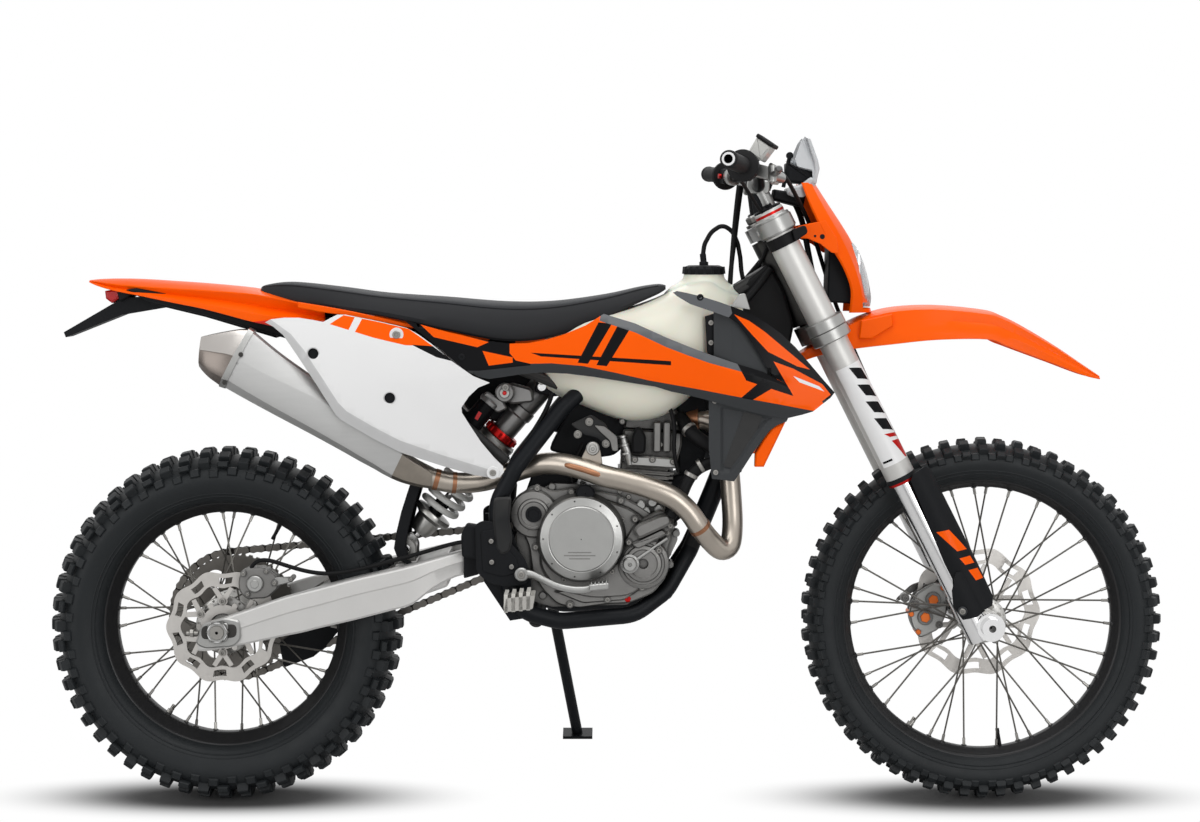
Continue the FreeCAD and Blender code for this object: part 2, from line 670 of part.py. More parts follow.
def chain_stations():
    """Places half a pitch apart round the loop, each with its outward direction."""
    rear_r, front_r = sprocket_radius(mm.rear_teeth), sprocket_radius(mm.front_teeth)
    rear_at = Vector(0, 0, mm.rear_tyre_r)
    front_at = Vector(mm.output_x, 0, mm.output_z)
    run = front_at - rear_at
    rise = math.atan2(run.z, run.x)
    spread = math.asin((rear_r - front_r) / run.Length)
    top, low = rise + math.pi / 2 - spread, rise - math.pi / 2 + spread
    straight = run.Length * math.cos(spread)
    front_end = straight + (math.pi - 2 * spread) * front_r
    lower_end = front_end + straight
    total = lower_end + (math.pi + 2 * spread) * rear_r
    halves = int(round(total / mm.chain_pitch)) * 2
    stations = []
    for index in range(halves):
        along = total * index / halves
        if along < straight:
            share = along / straight
            out = outward(top)
            here = (rear_at + out * rear_r) * (1 - share) + (front_at + out * front_r) * share
        elif along < front_end:
            out = outward(top - (along - straight) / front_r)
            here = front_at + out * front_r
        elif along < lower_end:
            share = (along - front_end) / straight
            out = outward(low)
            here = (front_at + out * front_r) * (1 - share) + (rear_at + out * rear_r) * share
        else:
            out = outward(low - (along - lower_end) / rear_r)
            here = rear_at + out * rear_r
        stations.append((here, out))
    return stations


def chain():
    waist_share = 0.6
    outer, inner, roller_out, roller_in = [], [], [], []
    for index, (here, out) in enumerate(chain_stations()):
        half = mm.chain_half * 0.8 * (1 if index % 2 == 0 else waist_share)
        outer.append(here + out * half)
        inner.append(here - out * half)
        roller_out.append(here + out * mm.chain_half * roller_share)
        roller_in.append(here - out * mm.chain_half * roller_share)
    bands = []
    for ring_out, ring_in, y_low, y_high in (
            (outer, inner, -mm.chain_half, -mm.chain_half + mm.chain_plate),
            (outer, inner, mm.chain_half - mm.chain_plate, mm.chain_half),
            (roller_out[::2], roller_in[::2], -mm.chain_half + mm.chain_plate, mm.chain_half - mm.chain_plate)):
        shift = Vector(0, mm.chain_y + y_low, 0)
        loops = [Part.makePolygon([point + shift for point in ring + ring[:1]])
                 for ring in (ring_out, ring_in)]
        face = Part.Face(loops[0]).cut(Part.Face(loops[1]))
        bands.append(face.extrude(Vector(0, y_high - y_low, 0)))
    return free_form("chain", bands[0].multiFuse(bands[1:]))


def front_sprocket():
    tip_r = tip_radius(mm.front_teeth, sprocket_radius(mm.front_teeth), mm.chain_half) - mm.clearance
    centre = Vector(mm.output_x, mm.chain_y - mm.sprocket_thick / 2, mm.output_z)
    wheel = rod(centre, centre + Y_AXIS * mm.sprocket_thick, tip_r)
    shaft = rod(centre - Y_AXIS * (mm.chain_half * 1.6 - mm.sprocket_thick / 2), centre, mm.axle_r)
    return free_form("front_sprocket", fused([wheel, shaft]))


guide_shares = ((0.232, 0.368), (0.226, 0.334), (0.180, 0.280), (0.158, 0.262), (0.098, 0.240),
                (0.090, 0.290), (0.150, 0.332), (0.196, 0.352))


def chain_guide():
    block = side_prism(guide_shares, mm.chain_y - mm.chain_half * 1.8, mm.chain_y + mm.chain_half * 1.8)
    slot_in = mm.chain_y - mm.chain_half * 1.2
    slot_out = mm.chain_y + mm.chain_half * 1.2
    slot = side_prism(((0.040, 0.206), (0.300, 0.319), (0.300, 0.350), (0.040, 0.237)), slot_in, slot_out)
    teeth_room = rod(Vector(0, slot_in, mm.rear_tyre_r), Vector(0, slot_out, mm.rear_tyre_r),
                     sprocket_radius(mm.rear_teeth) - mm.chain_half * 0.2)
    return free_form("chain_guide", largest(block.cut(slot).cut(teeth_room).cut(nodes["swingarm"][0].Shape)))


# Rear shock, from the frame's cross tube to the swingarm's cross member

shock_top_shares, shock_low_shares = (0.622, 0.812), (0.402, 0.520)


def shock_line():
    top = at(shock_top_shares[0], 0, shock_top_shares[1])
    low = at(shock_low_shares[0], 0, shock_low_shares[1])
    return top, low


def rear_shock():
    top, low = shock_line()
    run = low - top
    eye = mm.beam_r * 1.1
    between = Y_AXIS * (mm.beam_r * 1.5 - mm.clearance)
    pieces = [rod(top - between, top + between, eye), rod(low - Y_AXIS * eye, low + Y_AXIS * eye, eye)]
    for start, end, radius in ((0.02, 0.34, 0.62), (0.34, 0.37, 1.14), (0.37, 0.62, 0.60),
                               (0.62, 0.97, 0.20), (0.88, 0.91, 1.10)):
        pieces.append(rod(top + run * start, top + run * end, mm.shock_r * radius))
    bottle = top + run * 0.10 + Vector(-mm.shock_r * 1.5, -mm.shock_r * 1.1, mm.shock_r * 0.2)
    pieces.append(rod(bottle, bottle + run * 0.36, mm.shock_r * 0.62))
    pieces.append(rod(bottle + run * 0.05, top + run * 0.10, mm.shock_r * 0.4))
    return free_form("rear_shock", fused(pieces))


def shock_spring():
    top, low = shock_line()
    run = low - top
    wire_r = mm.shock_r * 0.17
    seat = run * ((wire_r + mm.clearance) / run.Length)
    start, end = top + run * 0.37 + seat, top + run * 0.88 - seat
    long = (end - start).Length
    coil_r = mm.shock_r * 0.86
    helix = Part.makeHelix(long / mm.spring_turns, long, coil_r)
    section = Part.Wire(Part.makeCircle(wire_r, Vector(coil_r, 0, 0), Y_AXIS))
    coil = Part.Wire(helix.Edges).makePipeShell([section], True, True)
    coil.Placement = Placement(start, Rotation(Z_AXIS, run))
    return free_form("shock_spring", coil)


# Engine

case_shares = ((0.572, 0.470), (0.600, 0.400), (0.640, 0.388), (0.785, 0.392), (0.845, 0.436), (0.884, 0.520),
               (0.850, 0.580), (0.800, 0.612), (0.762, 0.622), (0.640, 0.626), (0.590, 0.600), (0.572, 0.540))
barrel_shares = ((0.762, 0.600), (0.850, 0.590), (0.893, 0.712), (0.892, 0.772), (0.850, 0.800),
                 (0.798, 0.790), (0.776, 0.740))
head_shares = ((0.774, 0.668), (0.878, 0.668), (0.893, 0.712), (0.892, 0.752), (0.780, 0.752), (0.776, 0.740))


def crankcase():
    core = side_prism(case_shares, -mm.case_half, mm.case_half, mm.case_round)
    chain_room = side_prism(((0.500, 0.380), (0.645, 0.380), (0.645, 0.640), (0.500, 0.640)),
                            mm.chain_y - mm.chain_half * 1.6, mm.case_half + mm.overrun)
    return free_form("crankcase", core.cut(chain_room))


# side (x, z), then depth in cover depths and radius in pump radii
cover_boss_shares = ((0.832, 0.484, 0.60, 0.62), (0.600, 0.571, 0.46, 1.25), (0.600, 0.571, 0.58, 0.46),
                     (0.826, 0.532, 0.90, 0.42))


def clutch_cover():
    centre = at(0.697, 0, 0.524)
    face_y = -mm.case_half
    pieces = [rod(centre + Y_AXIS * face_y, centre + Y_AXIS * (face_y - mm.cover_deep), mm.cover_r),
              side_prism(((0.585, 0.500), (0.620, 0.440), (0.680, 0.408), (0.760, 0.430), (0.845, 0.470),
                          (0.858, 0.560), (0.800, 0.590), (0.700, 0.600), (0.610, 0.600)),
                         face_y, face_y - mm.cover_deep * 0.42)]
    pump = at(0.826, 0, 0.532)
    pieces.append(rod(pump + Y_AXIS * face_y, pump + Y_AXIS * (face_y - mm.cover_deep * 0.75), mm.pump_r))
    cap = at(0.708, 0, 0.612)
    pieces.append(rod(cap + Y_AXIS * face_y, cap + Y_AXIS * (face_y - mm.cover_deep * 0.8), mm.pump_r * 0.5))
    pieces.append(rod(centre + Y_AXIS * face_y, centre + Y_AXIS * (face_y - mm.cover_deep * 1.1),
                      mm.cover_r * 0.76))
    for x_share, z_share, deep, radius in cover_boss_shares:
        spot = at(x_share, 0, z_share)
        pieces.append(rod(spot + Y_AXIS * face_y, spot + Y_AXIS * (face_y - mm.cover_deep * deep),
                          mm.pump_r * radius))
    cover = fused(pieces)
    dish = rod(centre + Y_AXIS * (face_y - mm.cover_deep * 1.04), centre + Y_AXIS * (face_y - mm.frame_long),
               mm.cover_r * 0.64)
    return free_form("clutch_cover", cover.cut(dish))


def ignition_cover():
    centre = at(0.772, 0, 0.505)
    face_y = mm.case_half
    pieces = [rod(centre + Y_AXIS * face_y, centre + Y_AXIS * (face_y + mm.cover_deep * 0.7), mm.cover_r * 0.8),
              side_prism(((0.680, 0.430), (0.800, 0.400), (0.862, 0.450), (0.866, 0.560), (0.790, 0.600),
                          (0.690, 0.590)), face_y, face_y + mm.cover_deep * 0.3)]
    return free_form("ignition_cover", fused(pieces))


def cylinder():
    head = side_prism(head_shares, -mm.barrel_half, mm.barrel_half)
    waist = mm.barrel_half * 0.84
    core = fused([head, side_prism(barrel_shares, -waist, waist)])
    return free_form("cylinder", core.cut(nodes["crankcase"][0].Shape).cut(nodes["main_frame"][0].Shape))


def throttle_body():
    start, end = at(0.770, 0, 0.720), at(0.690, 0, 0.742)
    body = fused([rod(start, end, mm.intake_r), rod(end, end + (end - start) * 0.5, mm.intake_r * 1.35)])
    return free_form("throttle_body", body.cut(nodes["cylinder"][0].Shape))


header_shares = ((0.880, -0.030, 0.735), (0.950, -0.046, 0.742), (0.982, -0.046, 0.660), (0.990, -0.062, 0.560),
                 (0.968, -0.096, 0.488), (0.925, -0.124, 0.545), (0.878, -0.132, 0.600), (0.820, -0.134, 0.625),
                 (0.740, -0.128, 0.645), (0.660, -0.102, 0.666), (0.590, -0.072, 0.655), (0.510, -0.072, 0.630),
                 (0.430, -0.084, 0.630))
# lower then upper edge of each section along the silencer, and its width; the last three are the end cap
can_shares = ((0.330, 0.637, 0.356, 0.690, 0.50), (0.296, 0.656, 0.330, 0.722, 0.86),
              (0.240, 0.687, 0.284, 0.758, 1.00),
              (0.010, 0.812, 0.066, 0.918, 1.00), (0.009, 0.810, 0.066, 0.921, 1.05), (0.000, 0.815, 0.058, 0.925, 1.05),
              (-0.022, 0.832, 0.010, 0.922, 0.86), (-0.040, 0.850, -0.040, 0.914, 0.62))
can_section_shares = ((1, 0.34), (0.62, 1), (-0.62, 1), (-1, 0.34),
                      (-1, -0.34), (-0.62, -1), (0.62, -1), (1, -0.34))


def exhaust_pipe():
    route = [at(x_share, mm.frame_long * y_share, z_share) for x_share, y_share, z_share in header_shares]
    low_x, low_z, high_x, high_z, _ = can_shares[0]
    route.append(at((low_x + high_x) / 2, -mm.silencer_y, (low_z + high_z) / 2))
    pipe = tube(route, mm.pipe_r, mm.pipe_r * 6)
    return free_form("exhaust_pipe", pipe.cut(nodes["cylinder"][0].Shape))


def silencer():
    middles = []
    wires = []
    for low_x, low_z, high_x, high_z, wide in can_shares:
        low, high = at(low_x, -mm.silencer_y, low_z), at(high_x, -mm.silencer_y, high_z)
        middle, up = (low + high) * 0.5, (high - low) * 0.5
        half_w = mm.silencer_half_wide * wide
        corners = [middle + up * tall_share + Y_AXIS * (half_w * wide_share)
                   for tall_share, wide_share in can_section_shares]
        middles.append(middle)
        wires.append(Part.makePolygon(corners + corners[:1]))
    can = loft(wires, True)
    inward = (middles[-2] - middles[-1]).normalize()
    mouth = rod(middles[-1] - inward * mm.overrun, middles[-1] + inward * mm.outlet_deep, mm.pipe_r)
    return free_form("silencer", can.cut(mouth).cut(nodes["exhaust_pipe"][0].Shape))


# Cooling

def radiator_place(side):
    low = at(0.985, side * mm.radiator_y, 0.660)
    high = at(1.057, side * mm.radiator_y, 0.850)
    return low, high


radiator_lug_shares = ((1.036, 0.800), (0.996, 0.700))


def radiators():
    cores = []
    for side in (-1, 1):
        low, high = radiator_place(side)
        run = high - low
        core = Part.makeBox(mm.radiator_thick, mm.radiator_wide, run.Length,
                            Vector(-mm.radiator_thick / 2, -mm.radiator_wide / 2, 0))
        core.Placement = Placement(low, Rotation(Z_AXIS, run))
        inner_y = side * (mm.radiator_y - mm.radiator_wide / 2)
        lugs = [rod(at(x_share, 0, z_share), at(x_share, inner_y, z_share), mm.axle_bore_r)
                for x_share, z_share in radiator_lug_shares]
        cores.append(core.multiFuse(lugs).cut(nodes["main_frame"][0].Shape))
    return free_form("radiators", Part.makeCompound([largest(core) for core in cores]))


guard_shares = ((0.953, 0.800), (1.092, 0.775), (1.040, 0.726), (0.990, 0.643), (0.948, 0.649))
guard_field_shares = ((0.966, 0.784), (1.056, 0.766), (1.028, 0.730), (0.982, 0.656), (0.963, 0.658))


def radiator_guards():
    y_in = mm.radiator_y + mm.radiator_wide / 2 + mm.clearance
    plate = side_prism(guard_shares, -y_in - mm.wall * 2, -y_in)
    field = side_prism(guard_field_shares, -y_in - mm.wall * 2 - mm.overrun, -y_in - mm.wall)
    return free_form("radiator_guards", mirrored_pair(plate.cut(field)))


# Tank, saddle and plastics

tank_shares = (
    (0.625, 0.800, 0.930, 0.50), (0.700, 0.770, 0.948, 0.80), (0.780, 0.742, 0.962, 1.00),
    (0.860, 0.752, 0.990, 1.00), (0.930, 0.800, 1.022, 0.86), (1.010, 0.880, 0.990, 0.60))


def tank_section(x_share, low_share, high_share, wide_share):
    half = mm.tank_half * wide_share
    middle = (low_share + high_share) / 2
    points = [(0, high_share), (0.62, high_share - 0.012), (1, middle + 0.01), (0.86, low_share),
              (0, low_share), (-0.86, low_share), (-1, middle + 0.01), (-0.62, high_share - 0.012)]
    return closed_spline([at(x_share, half * y_share, z_share) for y_share, z_share in points])


def fuel_tank():
    body = loft([tank_section(*station) for station in tank_shares])
    tunnel = side_prism(((0.560, 0.700), (1.080, 0.700), (1.120, 1.060), (1.050, 1.060), (0.880, 0.948),
                         (0.740, 0.892), (0.640, 0.866), (0.560, 0.890)), -mm.tunnel_half, mm.tunnel_half)
    return free_form("fuel_tank", body.cut(tunnel).cut(nodes["main_frame"][0].Shape))


def tank_cap():
    base = at(0.935, 0, 1.016)
    disc = rod(base, base + Z_AXIS * mm.cap_tall, mm.cap_r)
    knob = rod(base, base + Z_AXIS * (mm.cap_tall * 1.6), mm.cap_r * 0.3)
    return free_form("tank_cap", fused([disc, knob]).cut(nodes["fuel_tank"][0].Shape))


vent_route = [Vector(935, 0, 1065), Vector(938, -2, 1088), Vector(951, -4, 1112), Vector(973, -5, 1127),
              Vector(994, -4, 1114), Vector(1004, -2, 1089), Vector(1009, 0, 1062), Vector(1011, 0, 1036)]


def tank_vent_hose():
    return free_form("tank_vent_hose", tube(vent_route, mm.hose_r, mm.hose_r * 8))


saddle_shares = (
    (0.070, 0.992, 1.004, 0.42), (0.150, 0.975, 1.012, 0.62), (0.314, 0.950, 0.992, 0.96),
    (0.430, 0.925, 0.984, 1.00), (0.547, 0.905, 0.975, 0.96), (0.640, 0.910, 0.976, 0.84),
    (0.740, 0.944, 0.990, 0.66), (0.852, 0.994, 1.010, 0.40))


def saddle_section(x_share, low_share, high_share, wide_share):
    half = mm.saddle_half * wide_share
    tall = high_share - low_share
    points = [(0, high_share), (0.70, high_share - tall * 0.10), (1, low_share + tall * 0.45),
              (0.96, low_share), (0, low_share), (-0.96, low_share), (-1, low_share + tall * 0.45),
              (-0.70, high_share - tall * 0.10)]
    return closed_spline([at(x_share, half * y_share, z_share) for y_share, z_share in points])


def seat():
    body = loft([saddle_section(*station) for station in saddle_shares])
    for other in ("fuel_tank", "subframe", "main_frame"):
        body = body.cut(nodes[other][0].Shape)
    return free_form("seat", largest(body))


def on_machine(node):
    """A sub-part's shape where it lies on the upright machine."""
    shape = nodes[node][0].Shape.copy()
    shape.Placement = nodes[node][1]
    return shape


def largest(shape):
    return max(shape.Solids, key=lambda solid: solid.Volume)


def skin(stations):
    """A bowed wall: stations of (height share, then (x share, distance out) points), one wall thick."""
    wires = []
    for z_share, points in stations:
        near = [at(x_share, -out, z_share) for x_share, out in points]
        far = [point + Y_AXIS * mm.wall for point in near]
        wires.append(Part.Wire([open_spline(near), Part.LineSegment(near[-1], far[-1]).toShape(),
                                open_spline(far[::-1]), Part.LineSegment(far[0], near[0]).toShape()]))
    return loft(wires)


shroud_shares = (
    (0.358, 0.941), (0.373, 0.938), (0.518, 0.903), (0.594, 0.899), (0.664, 0.916), (0.740, 0.953),
    (0.800, 0.937), (0.870, 0.905), (0.940, 0.879), (1.043, 0.846), (1.056, 0.842), (1.036, 0.878),
    (1.008, 0.921), (0.978, 0.949), (0.905, 0.974), (0.872, 0.996), (0.900, 0.995), (0.958, 0.979),
    (1.028, 0.951), (1.076, 0.919), (1.130, 0.863), (1.180, 0.806), (1.138, 0.770), (1.084, 0.756),
    (0.985, 0.779), (0.897, 0.802), (0.839, 0.817), (0.722, 0.835), (0.617, 0.843), (0.547, 0.834),
    (0.500, 0.834), (0.448, 0.866))


def on_stud(panel, start, end, carrier):
    """The panel with a mounting stud that runs from its carrier to the panel's inner face."""
    stud = rod(start, end, mm.axle_bore_r).cut(panel).cut(nodes[carrier][0].Shape)
    return fused([panel, largest(stud)])


def shrouds():
    out = mm.shroud_out
    wall = skin([
        (0.740, ((0.34, out * 0.74), (0.60, out * 0.88), (0.85, out * 0.97), (1.02, out * 1.06),
                 (1.19, out * 0.92))),
        (0.860, ((0.34, out * 0.72), (0.60, out * 0.86), (0.85, out * 0.98), (1.02, out * 1.08),
                 (1.19, out * 0.93))),
        (1.010, ((0.34, out * 0.66), (0.60, out * 0.76), (0.85, out * 0.84), (1.02, out * 0.95),
                 (1.19, out * 0.86)))])
    reach = mm.frame_long
    panel = wall.common(side_prism(shroud_shares, -reach, 0))
    panel = largest(panel.cut(nodes["fuel_tank"][0].Shape).cut(nodes["seat"][0].Shape))
    panel = on_stud(panel, at(1.050, -mm.radiator_y, 0.820), at(1.050, -out * 1.12, 0.820), "radiators")
    return free_form("shrouds", mirrored_pair(panel))


side_panel_shares = (
    (0.086, 0.940), (0.153, 0.947), (0.201, 0.939), (0.228, 0.952), (0.352, 0.930), (0.440, 0.862),
    (0.512, 0.824), (0.470, 0.772), (0.500, 0.710), (0.549, 0.660), (0.542, 0.645), (0.520, 0.645),
    (0.352, 0.690), (0.250, 0.748), (0.232, 0.757), (0.124, 0.916))


def side_panels():
    out = mm.panel_out
    wall = skin([
        (0.630, ((0.05, out * 0.96), (0.30, out * 1.00), (0.56, out * 0.98))),
        (0.800, ((0.05, out * 0.98), (0.30, out * 1.03), (0.56, out * 0.93))),
        (0.960, ((0.05, out * 0.72), (0.30, out * 0.80), (0.56, out * 0.80)))])
    panel = wall.common(side_prism(side_panel_shares, -mm.frame_long, 0))
    for x_share, z_share in ((0.184, 0.879), (0.332, 0.793)):
        panel = panel.cut(rod(at(x_share, -mm.frame_long, z_share), at(x_share, 0, z_share), mm.panel_hole_r))
    panel = on_stud(largest(panel), at(0.341, -mm.rail_y, 0.914), at(0.341, -out, 0.914), "subframe")
    return free_form("side_panels", mirrored_pair(panel))


def crown_section(x_share, z_share, half, drop, wall):
    """An arched strip across the machine: crown height, half width and edge drop."""
    rows = []
    for lower in (0, wall):
        rows.append([at(x_share, half * y_share, z_share) - Z_AXIS * (drop * fall + lower)
                     for y_share, fall in ((-1, 1), (-0.72, 0.34), (0, 0), (0.72, 0.34), (1, 1))])
    top, under = rows[0], rows[1][::-1]
    return Part.Wire([open_spline(top), Part.LineSegment(top[-1], under[0]).toShape(),
                      open_spline(under), Part.LineSegment(under[-1], top[0]).toShape()])


tail_shares = ((-0.271, 1.018, 0.30, 0.10), (-0.200, 1.018, 0.62, 0.24), (-0.060, 1.010, 0.84, 0.40),
               (0.060, 0.998, 1.00, 0.46), (0.200, 0.974, 1.08, 0.40))


def rear_fender():
    wires = [crown_section(x_share, z_share, mm.tail_half * wide, mm.tail_half * drop, mm.wall)
             for x_share, z_share, wide, drop in tail_shares]
    body = loft(wires)
    for other in ("subframe", "seat"):
        body = body.cut(nodes[other][0].Shape)
    return free_form("rear_fender", largest(body))


def tail_light():
    lens = side_prism(((-0.226, 0.982), (-0.208, 0.978), (-0.196, 0.996), (-0.214, 1.001)),
                      -mm.tail_lamp_half, mm.tail_lamp_half)
    return free_form("tail_light", lens.cut(nodes["rear_fender"][0].Shape))


def plate_holes():
    """Middle of the two bolt holes, the plate's normal and the holes' spacing."""
    low, high = at(-0.316, 0, 0.911), at(-0.190, 0, 0.980)
    flat = (high - low).normalize()
    return low + flat * mm.bracket_half, Y_AXIS.cross(flat), mm.bracket_half * 1.2


def plate_bracket():
    arm = side_prism(((-0.110, 0.984), (-0.198, 0.984), (-0.222, 0.972), (-0.318, 0.916), (-0.314, 0.906),
                      (-0.204, 0.950), (-0.110, 0.966)), -mm.bracket_half, mm.bracket_half)
    spot, normal, pitch = plate_holes()
    for side in (-1, 1):
        hole = spot + Y_AXIS * (side * pitch / 2)
        arm = arm.cut(rod(hole - normal * mm.bracket_half, hole + normal * mm.bracket_half, mm.plate_hole_r))
    for other in ("rear_fender", "subframe", "tail_light"):
        arm = arm.cut(nodes[other][0].Shape)
    return free_form("plate_bracket", largest(arm))


def mud_flap():
    flap = side_prism(((0.352, 0.478), (0.374, 0.462), (0.404, 0.474), (0.400, 0.484), (0.364, 0.492),
                       (0.372, 0.560), (0.376, 0.640), (0.368, 0.640), (0.363, 0.570), (0.354, 0.500)),
                      -mm.flap_half, mm.flap_half)
    for other in ("rear_shock", "swingarm", "shock_spring"):
        flap = flap.cut(nodes[other][0].Shape)
    return free_form("mud_flap", largest(flap))


# Foot controls and guards

peg_groove_shares = (0.566, 0.577, 0.588, 0.599)
peg_groove_half, peg_groove_top, peg_groove_low = 0.004, 0.430, 0.413


def footpegs():
    start_y = mm.beam_y + mm.beam_r
    peg = side_prism(((0.556, 0.398), (0.606, 0.404), (0.608, 0.424), (0.558, 0.418)),
                     -start_y - mm.peg_long, -start_y - mm.peg_long * 0.25)
    for x_share in peg_groove_shares:
        groove = ((x_share - peg_groove_half, peg_groove_top), (x_share + peg_groove_half, peg_groove_top),
                  (x_share, peg_groove_low))
        peg = peg.cut(side_prism(groove, -mm.frame_long, 0))
    arm = rod(at(0.582, -start_y, 0.410), at(0.582, -start_y - mm.peg_long * 0.3, 0.410), mm.rail_r)
    return free_form("footpegs", mirrored_pair(fused([peg, arm]).cut(nodes["main_frame"][0].Shape)))


def frame_guards():
    y_in = mm.beam_y + mm.beam_r + mm.clearance
    plate = side_prism(((0.498, 0.556), (0.560, 0.560), (0.597, 0.470), (0.590, 0.440), (0.540, 0.436),
                        (0.497, 0.470)), -y_in - mm.wall, -y_in)
    pocket_r = mm.axle_nut_r
    plate = plate.cut(rod(Vector(mm.pivot_x, -mm.frame_long, mm.pivot_z),
                          Vector(mm.pivot_x, 0, mm.pivot_z), pocket_r))
    return free_form("frame_guards", mirrored_pair(plate.cut(brake_pivot(mm.clearance))))


def brake_pivot(room=0):
    centre = at(0.583, 0, 0.458)
    return rod(centre - Y_AXIS * (mm.pivot_plate_y + mm.plate_thick - room), centre - Y_AXIS * mm.lever_y,
               mm.axle_bore_r + room)


def pedal(node, side, shaft, shares, pad_shares):
    y_in = side * mm.lever_y
    y_out = y_in + side * mm.lever_thick
    arm = side_prism(shares, y_in, y_out)
    pad = side_prism(pad_shares, y_in, y_out + side * mm.pedal_wide)
    return free_form(node, fused([arm, pad, shaft]))


def brake_pedal():
    return pedal("brake_pedal", -1, brake_pivot(),
                 ((0.560, 0.450), (0.612, 0.444), (0.700, 0.418), (0.745, 0.436), (0.745, 0.450),
                  (0.700, 0.434), (0.614, 0.466), (0.562, 0.470)),
                 ((0.712, 0.434), (0.750, 0.436), (0.750, 0.448), (0.712, 0.446)))


def shift_lever():
    shaft_at = at(0.634, 0, 0.451)
    shaft = rod(shaft_at + Y_AXIS * (mm.chain_y - mm.chain_half * 1.6), shaft_at + Y_AXIS * mm.lever_y,
                mm.axle_bore_r)
    return pedal("shift_lever", 1, shaft,
                 ((0.622, 0.440), (0.646, 0.440), (0.744, 0.462), (0.744, 0.476), (0.640, 0.462), (0.622, 0.462)),
                 ((0.726, 0.460), (0.752, 0.460), (0.752, 0.478), (0.726, 0.478)))


def rear_caliper():
    y_mid = -mm.rear_disc_y - mm.disc_thick / 2
    outline = ((0.022, 0.406), (0.090, 0.412), (0.094, 0.440), (0.070, 0.462), (0.030, 0.456))
    block = side_prism(outline, y_mid - mm.caliper_out, y_mid + mm.caliper_in, mm.caliper_round)
    return free_form("rear_caliper", carve_disc(block, rear_axle_place.Base, mm.rear_disc_r, y_mid)
                     .cut(nodes["swingarm"][0].Shape))


def carve_disc(block, centre, disc_r, y_mid):
    gap = mm.disc_thick / 2 + mm.pad_gap
    slot = rod(centre + Y_AXIS * (y_mid - gap), centre + Y_AXIS * (y_mid + gap), disc_r + mm.overrun)
    return block.cut(slot)


# Fork, in the steering frame: (forward, left, up)

def fork_outer_tubes():
    legs = []
    for side in (-1, 1):
        foot = Vector(mm.leg_offset, side * mm.leg_y, -mm.outer_tube_low)
        head = Vector(mm.leg_offset, side * mm.leg_y, mm.leg_top)
        leg = fused([rod(foot, head, mm.outer_tube_r * 0.92),
                     rod(foot, foot + Z_AXIS * mm.outer_tube_r, mm.outer_tube_r * 1.06),
                     rod(Vector(mm.leg_offset, side * mm.leg_y, -mm.head_tube_down * 2.4),
                         Vector(mm.leg_offset, side * mm.leg_y, -mm.head_tube_down * 1.1), mm.outer_tube_r)])
        legs.append(leg)
    return free_form("fork_outer_tubes", Part.makeCompound(legs), steering)


def fork_inner_tubes():
    legs = []
    for side in (-1, 1):
        foot = Vector(mm.leg_offset, side * mm.leg_y, -fork_down + mm.axle_lug_r)
        top = Vector(mm.leg_offset, side * mm.leg_y, -mm.outer_tube_low)
        axle = Vector(mm.axle_offset, side * mm.leg_y, -fork_down)
        in_y, out_y = side * (mm.leg_y - mm.lug_half), side * (mm.leg_y + mm.lug_half)
        lug = rod(Vector(axle.x, in_y, axle.z), Vector(axle.x, out_y, axle.z), mm.axle_lug_r)
        boot = rod(Vector(mm.leg_offset, side * mm.leg_y, -fork_down - mm.axle_lug_r * 0.6),
                   Vector(mm.leg_offset, side * mm.leg_y, -fork_down + mm.axle_lug_r * 3),
                   mm.inner_tube_r * 1.1)
        leg = fused([rod(foot, top, mm.inner_tube_r), lug, boot])
        bore = rod(Vector(axle.x, -mm.frame_long, axle.z), Vector(axle.x, mm.frame_long, axle.z), mm.axle_r)
        legs.append(leg.cut(bore))
    return free_form("fork_inner_tubes", Part.makeCompound(legs), steering)


def clamp_plate(low, thick, arm_r):
    pieces = [Part.makeCylinder(mm.stem_r * 1.8, thick, Vector(0, 0, low))]
    for side in (-1, 1):
        pieces.append(Part.makeCylinder(arm_r, thick, Vector(mm.leg_offset, side * mm.leg_y, low)))
        web = [Vector(-mm.stem_r * 1.7, 0, low), Vector(mm.stem_r * 1.2, 0, low),
               Vector(mm.leg_offset + arm_r * 0.8, side * (mm.leg_y - arm_r * 0.5), low),
               Vector(mm.leg_offset - arm_r * 0.9, side * (mm.leg_y - arm_r * 0.5), low)]
        pieces.append(Part.Face(Part.makePolygon(web + web[:1])).extrude(Z_AXIS * thick))
    return fused(pieces)


def fork_clamps():
    top_low = mm.head_tube_up + mm.clamp_gap
    bottom_low = -mm.head_tube_down - mm.clamp_gap - mm.clamp_thick * 1.4
    stem = Part.makeCylinder(mm.stem_r, top_low - bottom_low, Vector(0, 0, bottom_low))
    risers = []
    bar = steering.inverse().multVec(Vector(mm.bar_centre_x, 0, mm.bar_centre_z))
    for side in (-1, 1):
        foot = Vector(bar.x, side * mm.riser_y, top_low + mm.clamp_thick * 0.5)
        risers.append(rod(foot, Vector(bar.x, side * mm.riser_y, bar.z + mm.bar_r * 1.7), mm.bar_r * 1.5))
    web = Part.makeBox(mm.stem_r * 2.2, 2 * mm.riser_y, mm.clamp_thick,
                       Vector(bar.x - mm.stem_r * 0.6, -mm.riser_y, top_low))
    whole = fused([stem, clamp_plate(top_low, mm.clamp_thick, mm.outer_tube_r * 1.3),
                   clamp_plate(bottom_low, mm.clamp_thick * 1.4, mm.outer_tube_r * 1.3), web] + risers)
    shape = whole.cut(nodes["fork_outer_tubes"][0].Shape)
    handle = nodes["handlebar"][0].Shape.copy()
    handle.Placement = steering.inverse().multiply(handle.Placement)
    return free_form("fork_clamps", largest(shape.cut(handle)), steering)


